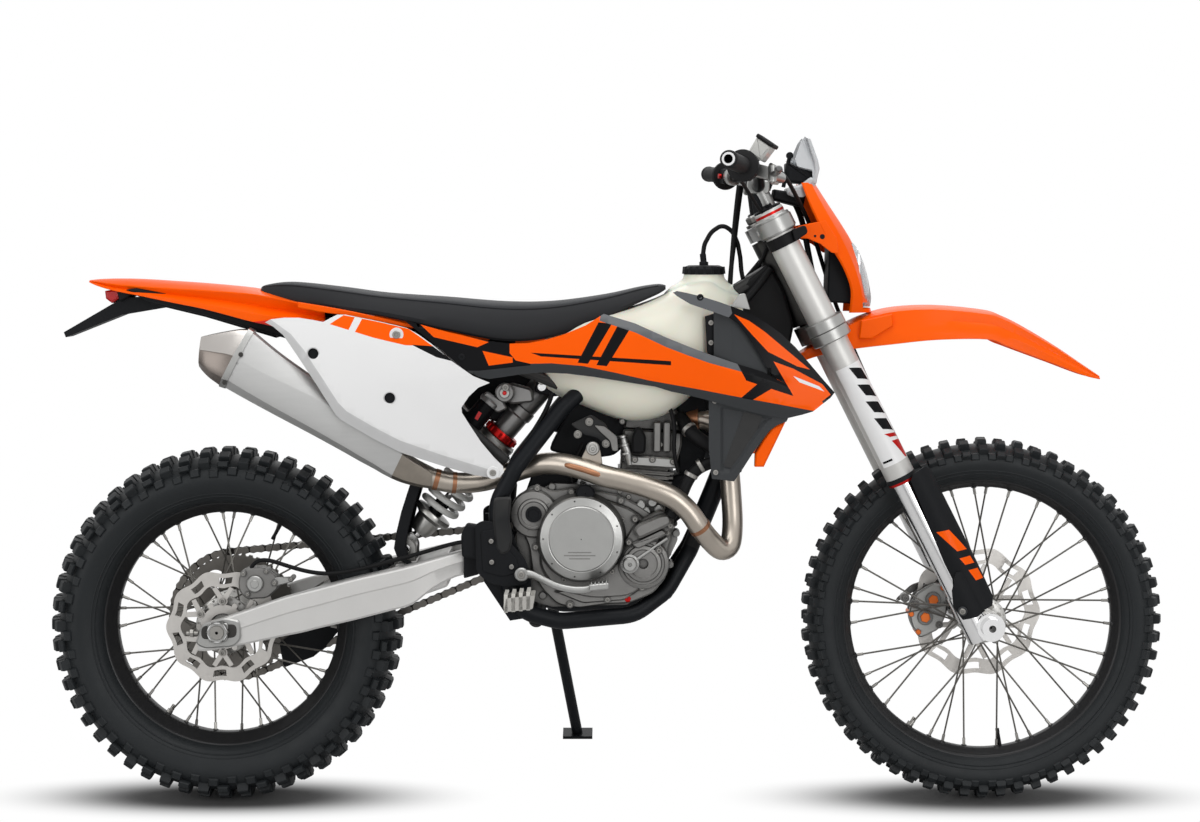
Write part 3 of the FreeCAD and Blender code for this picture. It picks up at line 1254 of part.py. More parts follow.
def bar_points():
    rise = Vector(mm.bar_centre_x, mm.riser_y * 1.9, mm.bar_centre_z)
    bend = Vector(mm.bar_centre_x - mm.bar_r * 0.6, mm.riser_y * 3.2, mm.bar_centre_z + mm.bar_rise)
    end = Vector(mm.bar_end_x, mm.bar_end_y, mm.bar_end_z)
    half = [rise, bend, end]
    return [Vector(point.x, -point.y, point.z) for point in half[::-1]] + half


def handlebar():
    points = bar_points()
    whole = tube(points, mm.bar_r, mm.bar_r * 6)
    for end, before in ((points[0], points[1]), (points[-1], points[-2])):
        inward = (before - end).normalize()
        whole = whole.cut(rod(end, end + inward * mm.bar_bore_long, mm.bar_bore_r))
    return free_form("handlebar", whole)


def grips():
    shapes = []
    points = bar_points()
    for end, before in ((points[0], points[1]), (points[-1], points[-2])):
        inward = (before - end).normalize()
        grip = fused([rod(end, end + inward * mm.grip_long, mm.grip_r),
                      rod(end + inward * mm.grip_long, end + inward * (mm.grip_long + mm.bar_r * 0.5),
                          mm.flange_r)])
        end_bore = rod(end, end + inward * mm.bar_bore_long, mm.bar_r)
        shapes.append(grip.cut(nodes["handlebar"][0].Shape).cut(end_bore))
    return free_form("grips", Part.makeCompound(shapes))


def control(node, side):
    points = bar_points()
    end, before = (points[-1], points[-2]) if side > 0 else (points[0], points[1])
    inward = (before - end).normalize()
    forward = Vector(math.cos(math.radians(12)), 0, -math.sin(math.radians(12)))
    clamp_at = end + inward * (mm.grip_long + mm.bar_r * 3)
    clamp = rod(clamp_at, clamp_at + inward * mm.bar_r * 2, mm.bar_r * 1.7)
    housing_at = clamp_at + forward * mm.lever_out + inward * mm.bar_r
    link = rod(clamp_at + inward * mm.bar_r, housing_at, mm.bar_r * 0.8)
    housing = rod(housing_at - inward * mm.bar_r * 2, housing_at + inward * mm.bar_r * 4, mm.bar_r)
    tank = rod(housing_at + inward * mm.bar_r * 1.5, housing_at + inward * mm.bar_r * 1.5 + Z_AXIS * mm.bar_r * 3,
               mm.bar_r * 1.6)
    blade_end = housing_at - inward * mm.lever_long - forward * mm.lever_out * 0.15
    blade = rod(housing_at - inward * mm.bar_r * 1.5, blade_end, mm.bar_r * 0.5)
    whole = fused([clamp, link, housing, tank, blade])
    return free_form(node, whole.cut(nodes["handlebar"][0].Shape))


mask_shares = ((1.153, 1.207), (1.225, 1.098), (1.246, 1.055), (1.262, 0.960), (1.220, 0.954), (1.190, 1.020),
               (1.125, 1.176), (1.128, 1.200))


screen_shares = ((1.130, 1.196), (1.150, 1.196), (1.162, 1.232), (1.158, 1.254), (1.140, 1.290), (1.134, 1.288),
                 (1.152, 1.252), (1.155, 1.234), (1.146, 1.206))


def headlight_mask():
    half = mm.mask_half
    wires = []
    for z_share, front, wide in ((0.970, 1.262, 0.70), (1.055, 1.250, 0.98), (1.150, 1.205, 1.0),
                                 (1.215, 1.155, 0.74)):
        out = [at(front - 0.085, -half * wide, z_share), at(front - 0.035, -half * wide * 0.92, z_share),
               at(front, 0, z_share), at(front - 0.035, half * wide * 0.92, z_share),
               at(front - 0.085, half * wide, z_share)]
        inner = [point - X_AXIS * mm.wall * (2 if index in (1, 2, 3) else 1) + Y_AXIS * (
            -math.copysign(mm.wall, point.y) if index != 2 else 0) for index, point in enumerate(out)][::-1]
        wires.append(Part.Wire([open_spline(out), Part.LineSegment(out[-1], inner[0]).toShape(),
                                open_spline(inner), Part.LineSegment(inner[-1], out[0]).toShape()]))
    shell = loft(wires)
    window = side_prism(((1.10, 0.978), (1.40, 0.968), (1.40, 1.085), (1.10, 1.085)), -half * 0.62, half * 0.62)
    ears = [side_prism(((1.100, 1.092), (1.172, 1.092), (1.178, 1.128), (1.098, 1.124)),
                       side * half * 0.90, side * half * 0.97) for side in (-1, 1)]
    screen = side_prism(screen_shares, -half * 0.5, half * 0.5)
    shell = fused([shell.cut(window), screen] + ears)
    for other in ("fork_clamps", "fork_outer_tubes"):
        shell = shell.cut(on_machine(other))
    return free_form("headlight_mask", largest(shell))


def headlamp():
    lamp = side_prism(((1.200, 0.978), (1.250, 0.978), (1.256, 0.985), (1.240, 1.074), (1.228, 1.085),
                       (1.190, 1.085)), -mm.mask_half * 0.62, mm.mask_half * 0.62)
    return free_form("headlamp", lamp.cut(nodes["headlight_mask"][0].Shape))


front_fender_shares = ((1.120, 0.870, 0.62, 0.10), (1.220, 0.938, 0.86, 0.34), (1.300, 0.958, 1.00, 0.52),
                       (1.387, 0.965, 1.00, 0.56), (1.485, 0.956, 0.98, 0.50), (1.560, 0.928, 0.90, 0.38),
                       (1.640, 0.878, 0.74, 0.20), (1.708, 0.832, 0.40, 0.06))


def front_fender():
    wires = [crown_section(x_share, z_share, mm.front_fender_half * wide, mm.front_fender_half * drop, mm.wall)
             for x_share, z_share, wide, drop in front_fender_shares]
    body = loft(wires)
    shape = body
    for other in ("fork_outer_tubes", "fork_clamps", "headlight_mask"):
        shape = shape.cut(on_machine(other))
    return free_form("front_fender", largest(shape))


def fork_guards():
    guards = []
    for side in (-1, 1):
        low, high = -fork_down + mm.axle_lug_r * 1.2, -mm.outer_tube_low - mm.overrun
        centre_x = mm.leg_offset
        outer = Part.makeCylinder(mm.outer_tube_r * 1.25, high - low, Vector(centre_x, side * mm.leg_y, low))
        inner = Part.makeCylinder(mm.outer_tube_r * 1.25 - mm.wall, high - low,
                                  Vector(centre_x, side * mm.leg_y, low))
        cut = Part.makeBox(mm.frame_long, mm.frame_long, mm.frame_long,
                           Vector(-mm.frame_long + centre_x - mm.wall, -mm.frame_long / 2, low - mm.overrun))
        disc_room = Part.makeBox(mm.frame_long, 2 * (mm.front_disc_y + mm.disc_thick * 2), mm.frame_long,
                                 Vector(0, -mm.front_disc_y - mm.disc_thick * 2, low - mm.overrun))
        boot_r = mm.inner_tube_r * 1.1
        stud_at = Vector(centre_x, side * mm.leg_y, low + mm.axle_lug_r)
        stud = rod(stud_at + X_AXIS * (boot_r + mm.clearance),
                   stud_at + X_AXIS * (mm.outer_tube_r * 1.25 - mm.wall / 2),
                   mm.axle_bore_r)
        guards.append(fused([outer.cut(inner).cut(cut).cut(disc_room), stud]))
    return free_form("fork_guards", Part.makeCompound(guards), steering)


def front_axle():
    reach = mm.leg_y + mm.lug_half
    hub_right = -mm.front_disc_y - mm.clearance
    hub_left = mm.front_disc_y + mm.disc_thick + mm.clearance
    collars = ((mm.lug_half - mm.leg_y, hub_right), (hub_left, mm.leg_y - mm.lug_half))
    return axle_pin("front_axle", front_axle_place, reach, reach, mm.axle_r, mm.axle_bore_long, collars)


def front_caliper():
    y_mid = mm.front_disc_y + mm.disc_thick / 2
    outline = ((1.352, 0.330), (1.366, 0.300), (1.420, 0.345), (1.424, 0.412), (1.392, 0.414), (1.356, 0.380))
    block = side_prism(outline, y_mid - mm.caliper_in, y_mid + mm.caliper_out, mm.caliper_round)
    block = carve_disc(block, front_axle_place.Base, mm.front_disc_r, y_mid)
    return free_form("front_caliper", largest(block.cut(on_machine("fork_inner_tubes"))))


# Side stand: its foot lies flat on the floor once the machine leans on it

def leaned_low(node):
    shape = nodes[node][0].Shape.copy()
    shape.Placement = Placement(ORIGIN, Rotation(X_AXIS, -mm.lean_deg)).multiply(nodes[node][1])
    return shape.optimalBoundingBox(False).ZMin


stand_folded = Vector(-0.985, 0.13, 0.02)


def stand_pivot():
    """The stand's pivot and the line of its bolt, square to the leg both lowered and folded."""
    pivot = Vector(mm.stand_x, mm.stand_y, mm.stand_z)
    sole = Vector(mm.stand_foot_x, mm.stand_foot_y, mm.stand_foot_y * math.tan(math.radians(mm.lean_deg)))
    return pivot, (sole - pivot).cross(stand_folded).normalize()


def side_stand():
    lean = math.radians(mm.lean_deg)
    pivot, bolt = stand_pivot()
    floor = (leaned_low("front_tyre") + leaned_low("rear_tyre")) / 2
    up = Vector(0, -math.sin(lean), math.cos(lean))
    sole = Vector(mm.stand_foot_x, mm.stand_foot_y, mm.stand_foot_y * math.tan(lean)) + up * floor
    foot = Part.makeBox(mm.foot_long, mm.foot_wide, mm.foot_thick,
                        Vector(-mm.foot_long / 2, -mm.foot_wide / 2, 0))
    foot.Placement = Placement(sole, Rotation(X_AXIS, mm.lean_deg))
    leg = rod(sole, pivot, mm.stand_r)
    leg = leg.cut(under(sole, up))
    lug = rod(pivot - bolt * mm.stand_r, pivot + bolt * mm.stand_r, mm.stand_r * 1.6)
    bore = rod(pivot - bolt * mm.stand_r * 2, pivot + bolt * mm.stand_r * 2, mm.stand_bolt_r + mm.clearance)
    return free_form("side_stand", fused([foot, leg, lug]).cut(bore))


def under(point, up):
    half = Part.makeBox(mm.frame_long, mm.frame_long, mm.frame_long,
                        Vector(-mm.frame_long / 2, -mm.frame_long / 2, -mm.frame_long))
    half.Placement = Placement(point, Rotation(Z_AXIS, up))
    return half


def stand_bracket():
    pivot, bolt = stand_pivot()
    cheek_at = pivot - bolt * (mm.stand_r + mm.clearance)
    near = Vector(mm.stand_x, mm.beam_y * 0.92, mm.stand_z)
    arm = rod(near, pivot, mm.stand_r * 1.6).cut(under(cheek_at, -bolt))
    cheek = rod(cheek_at - bolt * mm.stand_r, cheek_at, mm.stand_r * 1.6)
    pin = rod(cheek_at, pivot + bolt * (mm.stand_r + mm.clearance), mm.stand_bolt_r)
    head_at = pivot + bolt * (mm.stand_r + mm.clearance)
    head = rod(head_at, head_at + bolt * mm.stand_bolt_r, mm.stand_r)
    return free_form("stand_bracket", fused([arm, cheek, pin, head]).cut(nodes["main_frame"][0].Shape))


def build():
    wheels()
    main_frame()
    subframe()
    swingarm()
    pivot_bolt()
    rear_axle()
    chain()
    front_sprocket()
    chain_guide()
    rear_shock()
    shock_spring()
    crankcase()
    clutch_cover()
    ignition_cover()
    cylinder()
    throttle_body()
    exhaust_pipe()
    silencer()
    radiators()
    radiator_guards()
    fuel_tank()
    tank_cap()
    tank_vent_hose()
    seat()
    shrouds()
    side_panels()
    rear_fender()
    tail_light()
    plate_bracket()
    mud_flap()
    footpegs()
    frame_guards()
    brake_pedal()
    shift_lever()
    rear_caliper()
    handlebar()
    grips()
    control("brake_lever", -1)
    control("clutch_lever", 1)
    fork_outer_tubes()
    fork_inner_tubes()
    fork_clamps()
    headlight_mask()
    headlamp()
    front_fender()
    fork_guards()
    front_axle()
    front_caliper()
    side_stand()
    stand_bracket()


def check(stage):
    for item in doc.Objects:
        if any(word in item.State for word in ("Invalid", "Error")):
            raise RuntimeError("%s: %s is %s" % (stage, item.Label, item.State))
    for node, (item, place) in nodes.items():
        if item.Shape.isNull() or not item.Shape.isValid():
            raise RuntimeError("%s: %s has no valid shape" % (stage, node))


def park():
    """Leans the machine on its stand and brings the middle of its base to the origin."""
    leaned = Placement(ORIGIN, Rotation(X_AXIS, -mm.lean_deg))
    whole = FreeCAD.BoundBox()
    for item, place in nodes.values():
        item.Placement = leaned.multiply(place)
        whole.add(item.Shape.optimalBoundingBox(False))
    shift = Vector(-whole.Center.x, -whole.Center.y, -whole.ZMin)
    for item, place in nodes.values():
        item.Placement = Placement(shift, Rotation()).multiply(item.Placement)
    return shift


build()
doc.recompute()
check("upright")
print("parked by", park())
check("parked")
os.makedirs("parts", exist_ok=True)
for node, (item, place) in nodes.items():
    item.Shape.exportStep("parts/%s.step" % node)
print(len(nodes), "sub-parts")
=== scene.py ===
# Enduro motorcycle: finishes, tyres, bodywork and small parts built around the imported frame
import bpy
import bmesh
import json
import math
import random
from mathutils import Matrix, Vector


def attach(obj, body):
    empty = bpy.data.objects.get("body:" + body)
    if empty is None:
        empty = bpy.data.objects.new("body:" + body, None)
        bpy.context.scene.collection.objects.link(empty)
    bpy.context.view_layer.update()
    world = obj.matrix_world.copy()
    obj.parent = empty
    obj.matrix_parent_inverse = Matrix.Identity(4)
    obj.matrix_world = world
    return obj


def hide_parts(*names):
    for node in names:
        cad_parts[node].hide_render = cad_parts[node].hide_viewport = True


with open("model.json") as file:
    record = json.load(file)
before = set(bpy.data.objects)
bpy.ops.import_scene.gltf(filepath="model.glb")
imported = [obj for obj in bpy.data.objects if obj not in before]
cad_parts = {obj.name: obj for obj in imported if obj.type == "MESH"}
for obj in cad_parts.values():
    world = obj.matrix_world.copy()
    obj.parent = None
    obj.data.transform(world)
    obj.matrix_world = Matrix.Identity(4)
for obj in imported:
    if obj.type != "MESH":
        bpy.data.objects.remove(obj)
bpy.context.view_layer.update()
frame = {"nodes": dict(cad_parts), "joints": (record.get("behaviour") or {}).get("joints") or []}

scene = bpy.context.scene
joints = {joint["name"]: joint for joint in frame["joints"]}
random.seed(7)

# The machine is modelled upright in millimetres, rear axle over x = 0, and set down on its stand
sizes = {"rearTyreR": 345, "frontTyreR": 354, "wheelbase": 1482, "headX": 1098, "headZ": 1020,
    "legY": 100, "legOffset": 22}
metre = 0.001
axleLine = Vector(joints["rear_wheel_spin"]["axis"])
lean = math.atan2(axleLine.z, axleLine.y)
leanTurn = Matrix.Rotation(lean, 4, "X")
rearHubAt = Vector(joints["rear_wheel_spin"]["pos_m"])
shift = rearHubAt - leanTurn @ Vector((0, 0, sizes["rearTyreR"] * metre))
park = Matrix.Translation(shift) @ leanTurn @ Matrix.Scale(metre, 4)
steerLine = leanTurn.inverted() @ Vector(joints["steering"]["axis"])
rake = math.atan2(-steerLine.x, steerLine.z)
head = Matrix.Translation((sizes["headX"], 0, sizes["headZ"])) @ Matrix.Rotation(-rake, 4, "Y")
rearHub = Matrix.Translation((0, 0, sizes["rearTyreR"]))
frontHub = Matrix.Translation((sizes["wheelbase"], 0, sizes["frontTyreR"]))
print("frame loaded, lean %.1f rake %.1f" % (math.degrees(lean), math.degrees(rake)))


# Finishes

finishes = {}
surface = {"wearFrom": 0.53, "wearTo": 0.62, "cornerReach": 0.028, "cornerFrom": 0.35,
    "cornerTo": 0.88, "bumpDeep": 0.0006, "lightDeep": 0.02}


# Screen colour 0-255 to the linear value that a shader takes
def tint(red, green, blue):
    return tuple(((c / 255 + 0.055) / 1.055) ** 2.4 if c > 10 else c / 255 / 12.92
        for c in (red, green, blue)) + (1,)


def shade(colour, factor):
    return tuple(min(c * factor, 1) for c in colour[:3]) + (1,)


# A shader node with its settings made and its sockets set to a value or linked to another node's
def addNode(tree, kind, sockets=(), **settings):
    node = tree.nodes.new("ShaderNode" + kind)
    for name, value in settings.items():
        setattr(node, name, value)
    for socket, value in dict(sockets).items():
        if isinstance(value, bpy.types.NodeSocket):
            tree.links.new(value, node.inputs[socket])
        else:
            node.inputs[socket].default_value = value
    return node


def noise(tree, place, scale, detail):
    return addNode(tree, "TexNoise", {"Vector": place, "Scale": scale,
        "Detail": detail}).outputs["Fac"]


def blendOf(tree, factor, first, second):
    return addNode(tree, "Mix", {"Factor": factor, 6: first, 7: second},
        data_type="RGBA").outputs[2]


def finish(name, colour, rough=0.5, metal=0.0, vary=0.0, varyScale=30, grain=0.0, grainScale=900,
        coat=0.0, sheen=0.0, subsurface=0.0, roughVary=0.0, wear=None, stretch=(1, 1, 1),
        specular=0.22, transmission=0.0, shadeAndGrime=0.0):
    material = bpy.data.materials.new(name)
    material.use_nodes = True
    tree = material.node_tree
    shader = tree.nodes["Principled BSDF"]
    for socket, value in (("Base Color", colour), ("Roughness", rough), ("Metallic", metal),
            ("Coat Weight", coat), ("Coat Roughness", 0.1), ("Sheen Weight", sheen),
            ("Specular IOR Level", specular), ("Transmission Weight", transmission),
            ("Subsurface Weight", subsurface), ("Subsurface Scale", surface["lightDeep"])):
        shader.inputs[socket].default_value = value
    where = addNode(tree, "TexCoord").outputs["Object"]
    place = addNode(tree, "Mapping", {"Vector": where, "Scale": stretch}).outputs["Vector"]
    paint = None
    if vary:
        paint = blendOf(tree, noise(tree, place, varyScale, 4), shade(colour, 1 - vary),
            shade(colour, 1 + vary))
    if wear:                                       # bare metal on the edges
        bare, amount = wear
        edge = addNode(tree, "NewGeometry").outputs["Pointiness"]
        worn = addNode(tree, "MapRange", {"Value": edge, "From Min": surface["wearFrom"],
            "From Max": surface["wearTo"], "To Max": amount})
        paint = blendOf(tree, worn.outputs["Result"], paint or colour, bare)
    # painted shade and dirt: the corners and creases of a casting are darkened from ambient
    # occlusion
    if shadeAndGrime:
        corner = addNode(tree, "AmbientOcclusion", {"Distance": surface["cornerReach"]},
            samples=6).outputs["AO"]
        clear = addNode(tree, "MapRange", {"Value": corner, "From Min": surface["cornerFrom"],
            "From Max": surface["cornerTo"]})
        paint = blendOf(tree, clear.outputs["Result"], shade(colour, 1 - shadeAndGrime), paint or colour)
    if paint:
        tree.links.new(paint, shader.inputs["Base Color"])
    if roughVary:
        low, high = max(rough - roughVary, 0.02), min(rough + roughVary, 1)
        gloss = addNode(tree, "MapRange", {"Value": noise(tree, place, varyScale * 3, 3),
            "To Min": low, "To Max": high})
        tree.links.new(gloss.outputs["Result"], shader.inputs["Roughness"])
    if grain:
        bump = addNode(tree, "Bump", {"Height": noise(tree, place, grainScale, 2),
            "Strength": grain, "Distance": surface["bumpDeep"]})
        tree.links.new(bump.outputs["Normal"], shader.inputs["Normal"])
    finishes[name] = material


orange = tint(251, 92, 0)
# The last amount on some metal finishes darkens their corners and creases with painted shade and
# dirt
finish("tyreRubber", tint(27, 30, 32), 0.50, vary=0.22, varyScale=14, grain=0.35, grainScale=700,
    roughVary=0.12)
finish("rimBlack", tint(34, 34, 35), 0.42, metal=0.3, vary=0.10, varyScale=20, grain=0.08,
    coat=0.15)
finish("spokeSteel", tint(92, 90, 86), 0.34, metal=0.9, vary=0.10, grain=0.05)
finish("hubAlloy", tint(172, 171, 168), 0.36, metal=0.95, vary=0.08, varyScale=40, grain=0.10,
    roughVary=0.10, shadeAndGrime=0.8)
finish("discSteel", tint(186, 183, 179), 0.34, metal=0.95, vary=0.10, varyScale=60, grain=0.10,
    roughVary=0.12, shadeAndGrime=0.6)
finish("sprocketSteel", tint(104, 101, 97), 0.34, metal=0.95, vary=0.10, varyScale=50, grain=0.08)
finish("chainSteel", tint(36, 33, 31), 0.42, metal=0.85, vary=0.30, varyScale=60, grain=0.10,
    roughVary=0.15)
finish("framePaint", tint(20, 22, 25), 0.40, vary=0.10, grain=0.12, specular=0.12,
    wear=(tint(120, 118, 114), 0.35), shadeAndGrime=0.7)
finish("castAlloy", tint(122, 121, 119), 0.40, metal=0.80, vary=0.12, varyScale=35, grain=0.30,
    grainScale=1400, roughVary=0.10, shadeAndGrime=0.86)
finish("machinedAlloy", tint(160, 160, 158), 0.34, metal=0.90, vary=0.06, varyScale=35, grain=0.12,
    grainScale=1600, roughVary=0.06, shadeAndGrime=0.75)
finish("swingarmAlloy", tint(198, 197, 195), 0.46, metal=0.55, vary=0.05, varyScale=18, grain=0.14,
    grainScale=1200, roughVary=0.08)
finish("forkSilver", tint(198, 197, 194), 0.44, metal=0.55, vary=0.05, varyScale=20, grain=0.06,
    coat=0.10)
finish("chrome", tint(222, 222, 222), 0.12, metal=1.0, vary=0.03, grain=0.02)
finish("boltSteel", tint(146, 144, 140), 0.34, metal=0.9, vary=0.10, grain=0.05, shadeAndGrime=0.6)
finish("shockSilver", tint(132, 131, 130), 0.38, metal=0.85, vary=0.08, grain=0.10, shadeAndGrime=0.8)
finish("springWhite", tint(196, 196, 193), 0.36, vary=0.05, grain=0.08, coat=0.25)
finish("anodisedRed", tint(176, 24, 22), 0.30, metal=0.75, vary=0.08, grain=0.04)
finish("anodisedBronze", tint(214, 110, 52), 0.32, metal=0.75, vary=0.08, grain=0.04)
finish("silencerAlloy", tint(178, 178, 177), 0.46, metal=0.6, vary=0.05, varyScale=14, grain=0.10,
    roughVary=0.06, stretch=(1, 1, 9))
finish("endCapAlloy", tint(176, 172, 168), 0.24, metal=0.9, vary=0.05, grain=0.06)
finish("weldedTab", tint(134, 127, 118), 0.38, metal=0.85, vary=0.18, varyScale=60, grain=0.10)
finish("blackPlastic", tint(26, 27, 29), 0.48, vary=0.10, specular=0.08, varyScale=24, grain=0.30,
    grainScale=1500)
finish("greyPlastic", tint(50, 52, 54), 0.50, vary=0.08, varyScale=24, grain=0.30, grainScale=1500)
finish("radiatorCore", tint(52, 52, 52), 0.50, metal=0.6, vary=0.12, grain=0.15)
finish("tankCream", tint(226, 224, 209), 0.36, vary=0.05, varyScale=9, grain=0.10, subsurface=0.20,
    coat=0.12)
finish("orangePlastic", orange, 0.36, vary=0.05, varyScale=8, grain=0.06, grainScale=500, coat=0.06,
    specular=0.08)
finish("whitePlastic", tint(226, 226, 226), 0.36, vary=0.03, varyScale=8, grain=0.06,
    grainScale=500, coat=0.25)
finish("graphicOrange", shade(orange, 0.99), 0.28, vary=0.03, varyScale=8, grain=0.03, coat=0.06,
    specular=0.08)
finish("graphicBlack", tint(16, 16, 18), 0.26, vary=0.08, varyScale=8, grain=0.03, specular=0.08)
finish("graphicRed", tint(214, 28, 30), 0.26, vary=0.03, varyScale=8, grain=0.03, coat=0.40)
finish("seatCover", tint(30, 32, 36), 0.70, vary=0.10, varyScale=26, grain=0.55, grainScale=900,
    sheen=0.10)
finish("seatSide", tint(20, 21, 24), 0.56, vary=0.10, varyScale=26, grain=0.30, grainScale=1200,
    sheen=0.06)
finish("hoseRubber", tint(18, 18, 19), 0.50, vary=0.12, grain=0.15, specular=0.12)
finish("gripRubber", tint(18, 18, 19), 0.66, vary=0.12, grain=0.25)
finish("lampRed", tint(176, 12, 14), 0.16, vary=0.05, grain=0.03, coat=0.6)
finish("lampGlass", tint(226, 230, 234), 0.06, vary=0.02, grain=0.02, coat=0.5, transmission=0.75)
finish("visorGrey", tint(208, 210, 212), 0.20, vary=0.03, grain=0.04, coat=0.40, transmission=0.25)
finish("leverGrey", tint(104, 104, 104), 0.36, metal=0.75, vary=0.08, grain=0.10, shadeAndGrime=0.7)
finish("pegSteel", tint(150, 148, 144), 0.42, metal=0.85, vary=0.15, grain=0.20,
    wear=(tint(200, 198, 192), 0.5))
finish("barBlack", tint(26, 26, 27), 0.36, metal=0.65, vary=0.08, grain=0.06)
finish("reservoirWhite", tint(196, 196, 192), 0.35, vary=0.05, grain=0.06, coat=0.2)
print("finishes made:", len(finishes))


# Mesh helpers, all in the machine's millimetres

# Even steps of angle round a full circle
def around(steps):
    return [2 * math.pi * k / steps for k in range(steps)]


# The point at a radius and an angle in the side view
def polar(radius, angle, y=0.0):
    return Vector((radius * math.cos(angle), y, radius * math.sin(angle)))


# Quads between following rings of equal count; picks gives the material of each strip
def skin(bm, rings, material=0, picks=None):
    count = len(rings[0])
    for one, two in zip(rings, rings[1:]):
        for k in range(count):
            face = bm.faces.new((one[k], one[(k + 1) % count], two[(k + 1) % count], two[k]))
            face.material_index = picks[k] if picks else material


def capped(bm, rings, material=0):
    bm.faces.new(rings[0][::-1]).material_index = material
    bm.faces.new(rings[-1]).material_index = material


# Skins rings of points
def lofted(bm, rings, material=0, caps=True, picks=None):
    loops = [[bm.verts.new(point) for point in ring] for ring in rings]
    skin(bm, loops, material, picks)
    if caps:
        capped(bm, loops, material)
    return loops


# Turns (radius, y) points round the Y axis. Closed joins the last point to the first
def turned(bm, profile, steps, where=Matrix(), closed=True, material=0, angles=None):
    start, end = angles or (0, 2 * math.pi)
    full = angles is None
    rings = []
    for step in range(steps if full else steps + 1):
        angle = start + (end - start) * step / steps
        across, up = math.cos(angle), math.sin(angle)
        rings.append([bm.verts.new(where @ Vector((r * across, y, r * up))) for r, y in profile])
    count = len(profile)
    for one, two in zip(rings, rings[1:] + (rings[:1] if full else [])):
        for k in range(count if closed else count - 1):
            quad = (one[k], two[k], two[(k + 1) % count], one[(k + 1) % count])
            bm.faces.new(quad).material_index = material


# A round bar or cone between two points, its rims chamfered where asked
def bar(bm, start, end, radius, sides=16, endRadius=None, material=0, where=Matrix(), caps=True,
        chamfer=0.0):
    start, end = where @ Vector(start), where @ Vector(end)
    along = (end - start)
    length = along.length
    along.normalize()
    across = along.orthogonal().normalized()
    up = along.cross(across)
    tip = radius if endRadius is None else endRadius
    stations = [(0, radius), (length, tip)]
    if chamfer:
        stations = [(0, radius - chamfer), (chamfer, radius), (length - chamfer, tip),
            (length, tip - chamfer)]
    rings = [[start + along * far + (across * math.cos(a) + up * math.sin(a)) * r
        for a in around(sides)] for far, r in stations]
    lofted(bm, rings, material, caps)


# A bar across the machine at (x, z)
def crossBar(bm, x, z, yStart, yEnd, radius, sides=16, **more):
    bar(bm, (x, yStart, z), (x, yEnd, z), radius, sides, **more)


# A round cap screw with a sunk hexagon socket
def socketHead(bm, start, along, radius, tall, material=0, where=Matrix()):
    start, along = Vector(start), Vector(along).normalized()
    bar(bm, start - along, start + along * tall, radius, 18, material=material, where=where,
        caps=False, chamfer=radius * 0.12)
    top = start + along * tall
    cross = along.orthogonal().normalized()
    up = along.cross(cross)
    levels = [[where @ (top + along * depth + (cross * math.cos(a) + up * math.sin(a)) * r)
        for a in around(18)] for depth, r in ((0, radius * 0.88), (0, radius * 0.55),
        (-tall * 0.6, radius * 0.5))]
    bm.faces.new(lofted(bm, levels, material, caps=False)[-1]).material_index = material


# The same, facing out to its side of the machine
def sideScrew(bm, start, radius, tall, material=0, where=Matrix()):
    socketHead(bm, start, (0, math.copysign(1, start[1]), 0), radius, tall, material, where)


# A plate with the side outline (x, z) points, between two depths, its edges chamfered
def slab(bm, outline, yLow, yHigh, chamfer=0.0, material=0, where=Matrix()):
    points = [Vector((x, z)) for x, z in outline]
    area = sum(a.x * b.y - b.x * a.y for a, b in zip(points, points[1:] + points[:1]))
    if area < 0:
        points = points[::-1]
    inner = inset(points, chamfer) if chamfer else points
    low, high = min(yLow, yHigh), max(yLow, yHigh)
    layers = [(points, low), (points, high)]
    if chamfer:
        layers = [(inner, low), (points, low + chamfer), (points, high - chamfer), (inner, high)]
    lofted(bm, [[where @ Vector((p.x, y, p.y)) for p in ring] for ring, y in layers], material)


# The same with its corners rounded first
def plate(bm, corner, outline, yLow, yHigh, chamfer=0.0, **more):
    slab(bm, rounded(outline, corner), yLow, yHigh, chamfer, **more)


# The outline moved inward by a distance, corner by corner
def inset(points, distance):
    moved = []
    for before, here, after in zip(points[-1:] + points[:-1], points, points[1:] + points[:1]):
        one, two = (here - before).normalized(), (after - here).normalized()
        normal = Vector((-one.y - two.y, one.x + two.x))
        if normal.length < 1e-6:
            normal = Vector((-one.y, one.x))
        normal.normalize()
        spread = max(normal.dot(Vector((-one.y, one.x))), 0.35)
        moved.append(here + normal * distance / spread)
    return moved


# The outline with each corner turned into an arc
def rounded(points, radius, steps=4):
    points = [Vector(p) for p in points]
    path = []
    for before, here, after in zip(points[-1:] + points[:-1], points, points[1:] + points[:1]):
        one, two = before - here, after - here
        reach = min(radius, one.length * 0.45, two.length * 0.45)
        start, end = here + one.normalized() * reach, here + two.normalized() * reach
        for step in range(steps + 1):
            t = step / steps
            path.append(start * (1 - t) ** 2 + here * 2 * t * (1 - t) + end * t * t)
    return path


# Sets a finished mesh down on its stand, and rides it on its body
def addPiece(name, bm, materials, replaces=(), body="chassis", smooth=34, bevel=0.0,
        weld=0.02):
    if weld:
        bmesh.ops.remove_doubles(bm, verts=bm.verts, dist=weld)
    bmesh.ops.recalc_face_normals(bm, faces=bm.faces)
    bm.transform(park)
    mesh = bpy.data.meshes.new(name)
    bm.to_mesh(mesh)
    bm.free()
    for material in materials:
        mesh.materials.append(finishes[material])
    piece = bpy.data.objects.new(name, mesh)
    scene.collection.objects.link(piece)
    if bevel:
        edge = piece.modifiers.new("edge", "BEVEL")
        edge.width = bevel * metre
        edge.segments = 2
        edge.limit_method = "ANGLE"
        edge.angle_limit = math.radians(40)
    mesh.shade_smooth()
    mesh.set_sharp_from_angle(angle=math.radians(smooth))
    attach(piece, body)
    if replaces:
        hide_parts(*replaces)
    return piece


